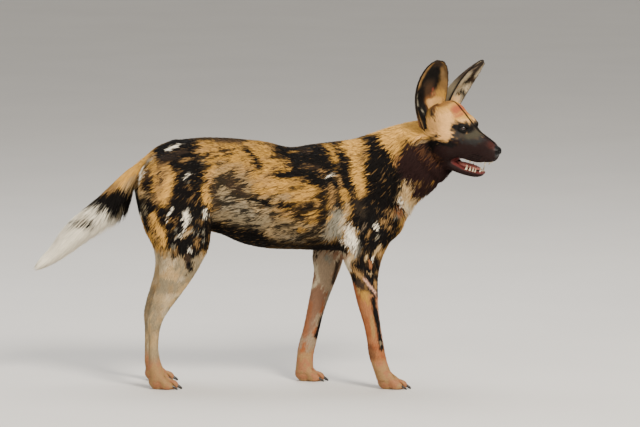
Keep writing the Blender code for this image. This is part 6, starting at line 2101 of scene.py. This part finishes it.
@dataclass
class Brush:
    """The tail's brush: long tufts whose tips fill the tail's outer form."""

    skin: Skin
    colours: Callable[[Array], Array]
    count: int = 9_500
    seed: int = 41
    first: float = 0.085
    last: float = 0.405

    def build(self) -> None:
        """Makes the brush's pieces."""
        random = np.random.default_rng(self.seed)
        at = self.first + (self.last - self.first) * random.random(self.count) ** 0.85
        turn = random.uniform(0, math.tau, self.count)
        root = self.on(TAIL_CORE, at, turn, 0.8)
        reach = np.interp(at, (0.085, 0.16, 0.25, 0.40), (0.045, 0.075, 0.100, 0.085))
        reach = reach * random.uniform(0.75, 1.2, self.count)
        tip_at = np.minimum(at + reach, 0.499 - 0.02 * random.random(self.count))
        fill = 0.35 + 0.63 * random.random(self.count) ** 0.5
        swing = turn + random.normal(0, 0.22, self.count)
        tip = self.on(TAIL, tip_at, swing, fill)
        bend = root * 0.5 + tip * 0.5 + unit(root - self.axis(at)) * (0.10 * reach)[:, None]
        out = unit(root - self.axis(at) + 1e-5)
        steps, widths = zip(*LONG_TUFT)
        paths = np.stack([root * (1 - t) ** 2 + bend * 2 * t * (1 - t) + tip * t * t for t in steps], 1)
        colour = self.colours(root * 0.45 + tip * 0.55) * random.uniform(0.82, 1.12, self.count)[:, None]
        length = np.linalg.norm(tip - root, axis=1)
        width = random.uniform(0.0022, 0.0036, self.count)
        spot = unwrap(TAIL_AXES, root)
        tufts = Tufts(root, out, unit(tip - root), length, width, length * 0, colour, spot)
        order = np.argsort(at)
        for name, chosen in (("tail_brush_root", order[: self.count // 2]), ("tail_brush_tip", order[self.count // 2:])):
            SHOP.settle(tuft_mesh(name, tufts.part(chosen), paths[chosen], widths), LONG_FUR)

    def axis(self, at: Array) -> Array:
        """The middle of the tail's core."""
        where, columns = curve_through(TAIL_CORE)
        up = (np.interp(at, where, columns[:, 0]) + np.interp(at, where, columns[:, 1])) / 2
        return TAIL_AXES.place(at, up, 0 * at)

    def on(self, rows: Sequence[Row], at: Array, turn: Array, share: float | Array) -> Array:
        """Points at an angle round a profile, at a share of the way out to it."""
        where, columns = curve_through(rows)
        high, low, half = (np.interp(at, where, columns[:, c]) for c in range(3))
        up = (high + low) / 2 + share * (high - low) / 2 * np.cos(turn)
        return TAIL_AXES.place(at, up, share * half * np.sin(turn))


# Ears, eyes, tongue and horn


@dataclass(frozen=True)
class Ear:
    """A rounded upright cup with a thin rim, open forwards."""

    name: str
    base: tuple[float, float, float]
    tip: tuple[float, float, float]
    facing: tuple[float, float, float]
    half_width: float
    depth: float
    taper: float
    inside: tuple[Mark, ...]
    ground: Hue
    back: Hue
    thick: float = 0.0024
    along_steps: int = 46
    around_steps: int = 36

    @property
    def axes(self) -> Axes:
        """The ear's axes: along it, out of its cup and across it."""
        root = HEAD.place(*self.base)
        along = unit(np.array(self.tip) - root)
        face = np.array(self.facing, float)
        face = unit(face - along * (face @ along))
        return Axes(root, along, face, unit(np.cross(along, face)))

    @property
    def length(self) -> float:
        """From the ear's root to its tip."""
        return float(np.linalg.norm(np.array(self.tip) - HEAD.place(*self.base)))

    def surface(self, u: Array, t: Array, inner: bool) -> Array:
        """Points on the ear.

        Args:
            u: How far along the ear, from 0 to 1.
            t: How far across it, from -1 to 1.
            inner: Whether they lie in the cup or on its back.

        Returns:
            The points, as rows.
        """
        swell = 0.5 + 0.5 * np.sin(np.minimum(u / 0.52, 1) * math.pi / 2)
        close = np.sqrt(np.maximum(1 - np.maximum((u - 0.52) / 0.48, 0) ** 2.2, 0))
        wide = np.maximum(self.half_width * swell * close, 0.0035)
        deep = self.depth * (1 - self.taper * u) * np.maximum(close, 0.35)
        lean = 0.010 * np.sin(u * math.pi)
        across, back = np.sin(t * math.pi / 2), np.cos(t * math.pi / 2)
        ripple = 0.0010 * np.sin(t * 9 + u * 5) * (1 - u) * back
        if not inner:
            return self.axes.place(u * self.length, -deep * back - lean, wide * across)
        hollow = ramp(0.10, 0.38, u)
        depth = np.maximum(deep - self.thick, 0.001) * hollow
        rise = -depth * back - lean + 0.0008 + ripple
        return self.axes.place(u * self.length * 0.99, rise, (wide - 0.0010) * across)

    def colours(self, u: Array, t: Array, inner: bool, markings: Markings) -> Array:
        """The ear's colours at places on it."""
        points = self.surface(u, t, inner)
        ragged = 0.45 * markings.edges.rough(points, 0.012)
        across = np.sin(t * math.pi / 2) * self.half_width * 100 + ragged
        up = u * self.length * 100 + ragged
        if inner:
            colours = self.ground.rows(len(u))
            markings.paint(colours, self.inside, across, up, np.ones(len(u)), 0.8)
            rim = ramp(0.90, 0.985, np.abs(t)) + ramp(0.955, 0.99, u)
            return mix(colours, Hue.UMBER.row, np.clip(rim, 0, 1)[:, None])
        tipward = ramp(0.42, 0.68, u + 0.05 * ragged)[:, None]
        colours = mix(self.back.rows(len(u)), Hue.UMBER.row, tipward)
        colours = mix(colours, Hue.RUSSET.row, ramp(0.22, 0.08, u)[:, None])
        return mix(colours, Hue.BLACK.row, ramp(0.84, 0.96, np.abs(t))[:, None])

    def build(self, markings: Markings) -> None:
        """Makes the ear's shell and its hair."""
        grid = np.linspace(0, 1, self.along_steps)
        grid = 1 - (1 - grid) ** 1.35
        t = np.linspace(-1, 1, self.around_steps)
        u, t = (g.ravel() for g in np.meshgrid(grid, t, indexing="ij"))
        shape = (self.along_steps, self.around_steps)
        sheets, paint = [], []
        for inner in (False, True):
            sheets.append(self.surface(u, t, inner).reshape(*shape, 3))
            paint.append(self.colours(u, t, inner, markings).reshape(*shape, 3))
        points = np.concatenate((sheets[0], sheets[1][:, ::-1]), 1)
        colours = np.concatenate((paint[0], paint[1][:, ::-1]), 1)
        ends = [points[i].mean(0) for i in (0, -1)]
        flat = np.concatenate((points.reshape(-1, 3), ends))
        tint = np.concatenate((colours.reshape(-1, 3), [colours[i].mean(0) for i in (0, -1)]))
        obj = solid(self.name + "_skin", flat, tube_faces(self.along_steps, 2 * self.around_steps), tint * 0.85,
                    np.zeros(len(flat)))
        SHOP.settle(obj, FACE_HIDE, (self.name,))
        self.add_hair(markings)

    def add_hair(self, markings: Markings) -> None:
        """Short hair over the back and in the cup, and a fringe inside the front edge."""
        random = np.random.default_rng(len(self.name) + int(self.half_width * 1e4))
        groups = []
        for inner, count, length, width, height in ((False, 2600, 0.0075, 0.0013, 0.0010),
                                                    (True, 2300, 0.0068, 0.0010, 0.0013),
                                                    (True, 420, 0.0150, 0.0011, 0.0050),
                                                    (True, 1500, 0.0320, 0.0014, 0.0070)):
            u, t = random.uniform(0.10, 0.965, count), random.uniform(-0.97, 0.97, count)
            if length > 0.02:
                u, t = random.uniform(0.04, 0.36, count), random.uniform(0.12, 0.97, count)
            elif length > 0.01:
                u, t = random.uniform(0.20, 0.72, count), random.uniform(0.45, 0.97, count)
            groups.append(self.hairs(markings, random, u, t, inner, length, width, height))
        names = ("roots", "out", "lie", "length", "width", "height", "colour", "spot")
        tufts = Tufts(*(np.concatenate([getattr(g, n) for g in groups]) for n in names))
        steps, widths = zip(*SHORT_TUFT)
        SHOP.settle(tuft_mesh(self.name + "_fur", tufts, tufts.paths(steps, None), widths), DARK_FUR)

    def hairs(self, markings: Markings, random: np.random.Generator, u: Array, t: Array, inner: bool,
              length: float, width: float, height: float) -> Tufts:
        """Tufts at places on the ear."""
        step = 0.02
        roots = self.surface(u, t, inner)
        along = unit(self.surface(np.minimum(u + step, 1), t, inner) - self.surface(u - step, t, inner))
        across = unit(self.surface(u, t + step, inner) - self.surface(u, t - step, inner))
        out = unit(np.cross(across, along)) * (1 if inner else -1)
        flip = np.sign(np.einsum("ij,j->i", out, self.axes.up)) * (1 if inner else -1)
        edge = np.abs(t) > 0.9
        out = out * np.where(edge, 1, flip)[:, None]
        lean = (-0.9 if inner and length > 0.01 else 0.35) * t + random.normal(0, 0.2, len(u))
        lie = unit(along + across * lean[:, None])
        count = len(u)
        colour = self.colours(u, t, inner, markings) * random.uniform(0.85, 1.15, count)[:, None]
        if length > 0.02:
            colour = mix(colour, Hue.PEACH.row, 0.7 * ramp(-0.2, 0.2, t)[:, None])
        size = random.uniform(0.75, 1.25, count)
        spot = np.stack(((t + 1) / 4 + (0.5 if inner else 0.0), u), 1)
        return Tufts(roots, out, lie, length * size, width * random.uniform(0.8, 1.2, count),
                     height * random.uniform(0.5, 1, count), colour, spot)


NEAR_EAR_INSIDE = (
    Mark(Hue.UMBER, (4.2, 12.4), (3.4, 17.4), 2.8, 2.2, 0.72),
    Mark(Hue.TAN, (4.6, 8.0), (4.8, 11.6), 1.9, 1.5, 0.8),
    Mark(Hue.GREY, (4.6, 13.0), (4.2, 15.6), 0.8, 0.6, 0.5),
    Mark(Hue.GOLD, (4.2, 3.0), (4.6, 7.6), 2.4, 1.8),
    Mark(Hue.PEACH, (1.5, 1.0), (2.4, 4.6), 3.0, 1.8),
    Mark(Hue.TAN, (4.4, 12.4), (3.8, 16.4), 1.2, 0.9, 0.6),
    Mark(Hue.TAN, (2.4, 8.6), (2.2, 11.0), 1.5, 1.3),
    # Black in the middle of the cup: partly dark hair, partly painted shade in the ear's hollow.
    Mark(Hue.BLACK, (0.3, 12.4), (0.3, 16.8), 3.8, 3.0),
    Mark(Hue.TAN, (-4.4, 10.6), (-4.1, 15.4), 0.9, 0.9),
    Mark(Hue.UMBER, (-1.0, 19.0), (3.4, 18.4), 1.2, 1.0),
    Mark(Hue.RUSSET, (0.6, 8.4), (0.6, 10.6), 1.5, 1.3),
    Mark(Hue.UMBER, (-0.2, 6.4), (0.2, 11.2), 1.7, 2.4, 0.85),
    Mark(Hue.RUSSET, (2.6, 6.0), (3.0, 7.8), 0.8, 0.7),
    Mark(Hue.RUSSET, (0.3, 5.0), (0.8, 7.2), 1.1, 1.0),
    Mark(Hue.BLACK, (-2.5, 1.0), (-2.8, 9.0), 2.9, 2.4),
    Mark(Hue.SILVER, (-3.6, 6.2), (-3.4, 7.4), 0.40, 0.35),
    Mark(Hue.SILVER, (-2.3, 4.4), (-2.2, 4.8), 0.30, 0.30),
    Mark(Hue.SILVER, (-4.1, 8.3), (-3.9, 8.7), 0.30, 0.30),
    Mark(Hue.BLOOD, (2.4, 9.9), (2.4, 10.2), 0.28, 0.28, 0.8),
    Mark(Hue.BLOOD, (2.1, 8.6), (2.2, 8.9), 0.28, 0.28, 0.8),
    Mark(Hue.BLOOD, (3.0, 8.3), (3.0, 8.6), 0.22, 0.22, 0.8),
)
FAR_EAR_INSIDE = (
    Mark(Hue.UMBER, (-5.0, 4.0), (-4.6, 17.0), 1.1, 1.0),
    Mark(Hue.UMBER, (-2.8, 15.0), (0.4, 19.6), 1.9, 1.8),
    Mark(Hue.BLACK, (4.8, 8.2), (5.1, 9.2), 0.60, 0.50),
    Mark(Hue.BLACK, (4.5, 12.2), (4.9, 13.6), 0.70, 0.70),
    Mark(Hue.UMBER, (4.8, 14.0), (3.0, 18.8), 1.0, 1.1),
    Mark(Hue.TAN, (1.6, 10.0), (3.6, 10.6), 0.7, 0.6, 0.7),
    Mark(Hue.UMBER, (-1.0, 18.9), (2.8, 18.6), 2.4, 2.4),
    Mark(Hue.SMOKE, (0.6, 15.6), (1.6, 18.0), 0.50, 0.45, 0.7),
)
EARS = (
    Ear("ear_right", (-0.094, -0.022, -0.043), (0.476, -0.108, 0.924), (0.62, -0.78, 0.05), 0.056, 0.040, 0.62,
        NEAR_EAR_INSIDE, Hue.TAN, Hue.UMBER),
    Ear("ear_left", (-0.090, -0.018, 0.043), (0.606, 0.014, 0.914), (0.95, -0.30, 0.05), 0.056, 0.056, 0.86,
        FAR_EAR_INSIDE, Hue.PALE, Hue.GREY),
)


@dataclass(frozen=True)
class Eye:
    """An eyeball with its cornea's bulge, mapped by the angle from its look."""

    name: str
    side: int
    rings: int = 44
    around: int = 40
    bulge: float = 0.0009

    def build(self) -> None:
        """Makes the eyeball."""
        eye = eye_axes(self.side)
        angle = np.linspace(0, math.pi, self.rings + 2)[1:-1]
        turn = np.arange(self.around) * math.tau / self.around
        a, b = (g.ravel() for g in np.meshgrid(angle, turn, indexing="ij"))
        radius = EYE_RADIUS - self.bulge * 0.5 + self.bulge * np.exp(-((a / 0.55) ** 2))
        points = eye.place(radius * np.cos(a), radius * np.sin(a) * np.cos(b), radius * np.sin(a) * np.sin(b))
        ends = [eye.place(EYE_RADIUS + self.bulge * 0.5, 0, 0), eye.place(-EYE_RADIUS, 0, 0)]
        obj = solid(self.name, np.concatenate((points, ends)), self.faces())
        corners = np.empty(len(obj.data.loops), np.int32)
        obj.data.loops.foreach_get("vertex_index", corners)
        share = np.stack((np.concatenate((a, (0, math.pi))) / math.pi, np.concatenate((b, (0, 0))) / math.tau), 1)
        layer = obj.data.uv_layers.new(name="Iris")
        layer.uv.foreach_set("vector", share[corners].astype(np.float32).ravel())
        SHOP.settle(obj, EYE, (self.name,))

    def faces(self) -> list[Array]:
        """The eyeball's faces, turned outwards."""
        return [f[:, ::-1] for f in tube_faces(self.rings, self.around)]


@dataclass(frozen=True)
class Tongue:
    """The tongue, with a groove down its middle."""

    middle: tuple[float, float, float] = (0.022, -0.1050, 0.0)
    radii: tuple[float, float, float] = (0.0425, 0.0078, 0.0132)
    cell: float = 0.0010

    def build(self) -> None:
        """Makes the tongue."""
        shape = Field(HEAD, (-0.026, -0.118, -0.018), (0.070, -0.090, 0.018), self.cell)
        shape.join(Ball(HEAD, self.middle, self.radii), 0.002)
        top = self.middle[1] + self.radii[1]
        shape.carve(Bone(HEAD.place(-0.01, top + 0.0016, 0), HEAD.place(0.058, top - 0.001, 0), 0.0022, 0.0014), 0.004)
        points, quads = shape.surface()
        tint = Hue.ROSE.rows(len(points)) * np.array((0.75, 0.42, 0.48))
        obj = solid("tongue", points, [quads], tint, np.ones(len(points)))
        SHOP.settle(obj, TONGUE, ("tongue",))


def horn_tree() -> bpy.types.NodeTree:
    """A Geometry Nodes tree that stands a tapered, bent horn on every point.

    Each point carries "turn" (Euler angles) and "size" (length and girth).

    Returns:
        The tree, with inputs Bend, Taper, Sides and Material.
    """
    tree = bpy.data.node_groups.new("horns", "GeometryNodeTree")
    face = tree.interface
    for name, kind, given in (("Points", "NodeSocketGeometry", None), ("Bend", "NodeSocketFloat", 0.12),
                              ("Taper", "NodeSocketFloat", 0.9), ("Sides", "NodeSocketInt", 10),
                              ("Material", "NodeSocketMaterial", None)):
        socket = face.new_socket(name, in_out="INPUT", socket_type=kind)
        if given is not None:
            socket.default_value = given
    face.new_socket("Horns", in_out="OUTPUT", socket_type="NodeSocketGeometry")
    make, link = tree.nodes.new, tree.links.new
    given, made = make("NodeGroupInput"), make("NodeGroupOutput")
    line = make("GeometryNodeCurveQuadraticBezier")
    line.inputs["Resolution"].default_value = 10
    line.inputs["Start"].default_value, line.inputs["Middle"].default_value = (0, 0, 0), (0, 0, 0.55)
    end = make("ShaderNodeCombineXYZ")
    end.inputs["Z"].default_value = 1.0
    link(given.outputs["Bend"], end.inputs["X"])
    link(end.outputs[0], line.inputs["End"])
    way = make("GeometryNodeSplineParameter")
    power, drop = make("ShaderNodeMath"), make("ShaderNodeMath")
    power.operation, drop.operation = "POWER", "MULTIPLY_ADD"
    power.inputs[1].default_value = 1.6
    link(way.outputs["Factor"], power.inputs[0])
    taper = make("ShaderNodeMath")
    taper.operation = "MULTIPLY"
    taper.inputs[1].default_value = -1.0
    link(given.outputs["Taper"], taper.inputs[0])
    link(power.outputs[0], drop.inputs[0])
    link(taper.outputs[0], drop.inputs[1])
    drop.inputs[2].default_value = 1.0
    ring = make("GeometryNodeCurvePrimitiveCircle")
    link(given.outputs["Sides"], ring.inputs["Resolution"])
    ring.inputs["Radius"].default_value = 1.0
    skin = make("GeometryNodeCurveToMesh")
    skin.inputs["Fill Caps"].default_value = True
    link(line.outputs["Curve"], skin.inputs["Curve"])
    link(ring.outputs["Curve"], skin.inputs["Profile Curve"])
    link(drop.outputs[0], skin.inputs["Scale"])
    stand = make("GeometryNodeInstanceOnPoints")
    turn, size = make("GeometryNodeInputNamedAttribute"), make("GeometryNodeInputNamedAttribute")
    for node, name in ((turn, "turn"), (size, "size")):
        node.data_type = "FLOAT_VECTOR"
        node.inputs["Name"].default_value = name
    euler = make("FunctionNodeEulerToRotation")
    link(turn.outputs["Attribute"], euler.inputs["Euler"])
    link(given.outputs["Points"], stand.inputs["Points"])
    link(skin.outputs["Mesh"], stand.inputs["Instance"])
    link(euler.outputs["Rotation"], stand.inputs["Rotation"])
    link(size.outputs["Attribute"], stand.inputs["Scale"])
    real, smooth, dress = (make("GeometryNode" + n) for n in ("RealizeInstances", "SetShadeSmooth", "SetMaterial"))
    link(stand.outputs["Instances"], real.inputs["Geometry"])
    link(real.outputs["Geometry"], smooth.inputs["Geometry"])
    link(smooth.outputs["Geometry"], dress.inputs["Geometry"])
    link(given.outputs["Material"], dress.inputs["Material"])
    link(dress.outputs["Geometry"], made.inputs["Horns"])
    return tree


@dataclass(frozen=True)
class Peg:
    """One claw, tooth or whisker, from its root to its tip."""

    root: Array
    tip: Array
    radius: float
    back: Array  # the side that it bends towards


@dataclass
class Horns:
    """A joined set of pegs made by the horn tree."""

    name: str
    finish: HornFinish
    pegs: list[Peg]
    bend: float = 0.12
    taper: float = 0.9
    sides: int = 10

    def build(self, tree: bpy.types.NodeTree) -> None:
        """Stands the horns on their points and makes them a mesh."""
        mesh = bpy.data.meshes.new(self.name + " points")
        mesh.from_pydata([p.root for p in self.pegs], [], [])
        turns, sizes = [], []
        for peg in self.pegs:
            along = peg.tip - peg.root
            length = float(np.linalg.norm(along))
            z = along / length
            x = unit(peg.back - z * (peg.back @ z))
            matrix = Matrix(np.stack((x, np.cross(z, x), z), 1).tolist())
            turns.append(tuple(matrix.to_euler()))
            sizes.append((peg.radius, peg.radius, length))
        for name, rows in (("turn", turns), ("size", sizes)):
            layer = mesh.attributes.new(name, "FLOAT_VECTOR", "POINT")
            layer.data.foreach_set("vector", np.array(rows, np.float32).ravel())
        stand = bpy.data.objects.new(self.name + " stand", mesh)
        bpy.context.scene.collection.objects.link(stand)
        modifier = stand.modifiers.new("horns", "NODES")
        modifier.node_group = tree
        bend = self.bend * np.mean([s[2] / s[0] for s in sizes])
        values = {"Bend": float(bend), "Taper": self.taper, "Sides": self.sides,
                  "Material": SHOP.material(self.finish)}
        for item in tree.interface.items_tree:
            if item.in_out == "INPUT" and item.name in values:
                modifier[item.identifier] = values[item.name]
        graph = bpy.context.evaluated_depsgraph_get()
        made = bpy.data.meshes.new_from_object(stand.evaluated_get(graph), depsgraph=graph)
        bpy.data.objects.remove(stand)
        obj = bpy.data.objects.new(self.name, made)
        bpy.context.scene.collection.objects.link(obj)
        SHOP.settle(obj, self.finish)


# Teeth of one side, in the head's axes: ahead, up, out, length and root radius.
UPPER_TEETH = (
    (0.0780, -0.0765, 0.0150, 0.0125, 0.0030),
    (0.0870, -0.0735, 0.0095, 0.0062, 0.0020),
    (0.0895, -0.0730, 0.0058, 0.0056, 0.0018),
    (0.0905, -0.0730, 0.0020, 0.0056, 0.0018),
    (0.0690, -0.0785, 0.0165, 0.0045, 0.0022),
    (0.0630, -0.0790, 0.0170, 0.0060, 0.0026),
    (0.0555, -0.0795, 0.0178, 0.0066, 0.0030),
    (0.0460, -0.0805, 0.0188, 0.0075, 0.0036),
    (0.0340, -0.0815, 0.0200, 0.0090, 0.0042),
    (0.0220, -0.0820, 0.0205, 0.0060, 0.0040),
)
LOWER_TEETH = (
    (0.0640, -0.1110, 0.0095, 0.0140, 0.0028),
    (0.0685, -0.1120, 0.0055, 0.0075, 0.0017),
    (0.0700, -0.1120, 0.0018, 0.0075, 0.0017),
    (0.0520, -0.1120, 0.0150, 0.0085, 0.0024),
    (0.0450, -0.1118, 0.0165, 0.0090, 0.0028),
    (0.0365, -0.1115, 0.0182, 0.0100, 0.0032),
    (0.0260, -0.1110, 0.0200, 0.0110, 0.0038),
)


def tooth_pegs(rows: Sequence[tuple[float, ...]], down: int) -> list[Peg]:
    """Pegs for both sides of a jaw, down from the upper one or up from the lower one."""
    pegs = []
    for ahead, up, out, length, radius in rows:
        for side in (-1, 1):
            root = HEAD.place(ahead, up + down * 0.002, side * out)
            tip = HEAD.place(ahead + 0.12 * length * (-1 if down > 0 else 1), up - down * length, side * out)
            pegs.append(Peg(root, tip, radius, -HEAD.along))
    return pegs


def claw_pegs() -> list[Peg]:
    """Every paw's claws."""
    return [Peg(start, end, 0.0034, np.array((0, 0, -1.0))) for leg in LEGS for start, end in leg.claws()]


def whisker_pegs() -> list[Peg]:
    """Rows of fine whiskers on the muzzle."""
    random = np.random.default_rng(5)
    pegs = []
    for side in (-1, 1):
        for row in range(2):
            for step in range(3):
                root = HEAD.place(0.052 + 0.011 * step - 0.004 * row, -0.060 - 0.0065 * row, side * (0.0285 - 0.0012 * step))
                way = HEAD.turned((-0.55 - 0.12 * random.random(), -0.25 - 0.12 * row, side * (0.75 + 0.1 * random.random())))
                pegs.append(Peg(root, root + unit(way) * random.uniform(0.014, 0.022), 0.00003, np.array((0, 0, -1.0))))
    return pegs


# Studio


@dataclass(frozen=True)
class Lamp:
    """A soft square light aimed at the animal's middle."""

    name: str
    place: tuple[float, float, float]
    size: float
    power: float
    colour: tuple[float, float, float] = (1.0, 1.0, 1.0)

    def build(self) -> bpy.types.Object:
        """Makes the light."""
        data = bpy.data.lights.new(self.name, "AREA")
        data.shape, data.size, data.energy, data.color = "SQUARE", self.size, self.power, self.colour
        lamp = bpy.data.objects.new(self.name, data)
        lamp.location = self.place
        way = Vector((0.1, 0.0, 0.5)) - lamp.location
        lamp.rotation_euler = way.to_track_quat("-Z", "Y").to_euler()
        bpy.context.scene.collection.objects.link(lamp)
        return lamp


@dataclass(frozen=True)
class Studio:
    """Pale floor, soft light and the camera at the photograph's angle."""

    target: tuple[float, float, float] = (0.1498, 0.0, 0.4838)
    distance: float = 14.0
    elevation: float = math.radians(7)
    lens: float = 281.25
    floor_size: float = 60.0
    sky: tuple[float, float, float] = (1.0, 0.97, 0.92)
    sky_strength: float = 0.60
    lamps: tuple[Lamp, ...] = (
        Lamp("key", (2.6, -4.2, 4.6), 1.6, 640.0, (1.0, 0.93, 0.82)),
        Lamp("fill", (-4.0, -4.5, 2.6), 3.5, 120.0, (1.0, 0.97, 0.92)),
        Lamp("top", (-0.4, 1.6, 4.8), 3.0, 210.0),
    )

    def build(self) -> None:
        """Sets up the floor, the lights and the camera."""
        reach = self.floor_size / 2
        corners = np.array([(-reach, -reach, 0), (reach, -reach, 0), (reach, reach, 0), (-reach, reach, 0)], float)
        floor = solid("floor", corners, [np.array([[0, 1, 2, 3]])])
        floor.data.materials.append(SHOP.material(FLOOR))
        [lamp.build() for lamp in self.lamps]
        world = bpy.data.worlds.new("sky")
        world.use_nodes = True
        back = world.node_tree.nodes["Background"]
        back.inputs["Color"].default_value = (*self.sky, 1.0)
        back.inputs["Strength"].default_value = self.sky_strength
        bpy.context.scene.world = world
        self.place_camera()

    def place_camera(self) -> None:
        """Places the camera."""
        data = bpy.data.cameras.new("camera")
        data.lens, data.sensor_width, data.sensor_fit = self.lens, 36.0, "HORIZONTAL"
        camera = bpy.data.objects.new("camera", data)
        aim = Vector(self.target)
        back = Vector((0, -math.cos(self.elevation), math.sin(self.elevation)))
        camera.location = aim + back * self.distance
        camera.rotation_euler = (-back).to_track_quat("-Z", "Y").to_euler()
        bpy.context.scene.collection.objects.link(camera)
        bpy.context.scene.camera = camera


# The whole animal


BODY_NODES = ("torso", "neck", "tail_base", "tail_brush") + tuple(node for leg in LEGS for node in leg.nodes)


def build_skins(markings: Markings) -> dict[str, Skin]:
    """Makes the skins, which overlap a little where they meet."""
    skins = {
        "body": BodySkin("body_skin", BODY_NODES, HIDE, markings.colours),
        "head": HeadSkin("head_skin", ("head", "lower_jaw"), FACE_HIDE, markings.head_colours, wetness),
    }
    for leg in LEGS:
        end, side = leg.name.split("_")
        nodes = (f"{end}_paw_{side}",)
        skins[leg.name] = PawSkin(f"{end}_paw_skin_{side}", nodes, HIDE, markings.colours, leg=leg)
    for skin in skins.values():
        skin.build()
    return skins


def build_coat(skins: dict[str, Skin], markings: Markings) -> None:
    """Grows the fur of every stretch."""
    comb = Comb()
    seam = lambda at: NECK_AXES.local(at.T)[0]
    brush = lambda at: (TAIL_AXES.local(at.T)[0] > 0.13) & (at[:, 0] < -0.36) & (at[:, 2] > 0.33)
    trunk = lambda at: (at[:, 2] > 0.37) & (seam(at) < HEAD_SEAM) & ~brush(at)
    legs = lambda at: (at[:, 2] <= 0.37) & (at[:, 2] > PAW_TOP) & ~brush(at)
    Coat("coat", skins["body"], body_pelt, comb.body, trunk, FUR, 101).build(comb)
    Coat("leg_coat", skins["body"], body_pelt, comb.body, legs, LEG_FUR, 102, long_over=1.0).build(comb)
    face = lambda at: (seam(at) >= HEAD_SEAM) & ~bald_share(at)
    Coat("head_coat", skins["head"], head_pelt, comb.head, face, FACE_FUR, 103).build(comb)
    paw = lambda at: (at[:, 2] < PAW_TOP) & (at[:, 2] > 0.006)
    for number, leg in enumerate(LEGS):
        name = "paw_coat_" + leg.name.split("_")[0]
        Coat(name, skins[leg.name], lambda at: PAW, comb.body, paw, LEG_FUR, 110 + number).build(comb)
    Brush(skins["body"], markings.colours).build()


def main() -> None:
    """Builds the dressed animal and the studio round it."""
    logging.basicConfig(level=logging.INFO, format="%(message)s")
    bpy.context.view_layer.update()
    markings = Markings()
    skins = build_skins(markings)
    build_coat(skins, markings)
    for ear in EARS:
        ear.build(markings)
    for side, name in ((-1, "eye_right"), (1, "eye_left")):
        Eye(name, side).build()
    Tongue().build()
    tree = horn_tree()
    Horns("teeth", IVORY, tooth_pegs(UPPER_TEETH, 1) + tooth_pegs(LOWER_TEETH, -1), bend=0.10, taper=0.85).build(tree)
    Horns("claws", CLAW, claw_pegs(), bend=0.16, taper=0.8).build(tree)
    Horns("whiskers", WHISKER, whisker_pegs(), bend=0.10, taper=0.7, sides=5).build(tree)
    Studio().build()


if __name__ == "__main__":
    main()
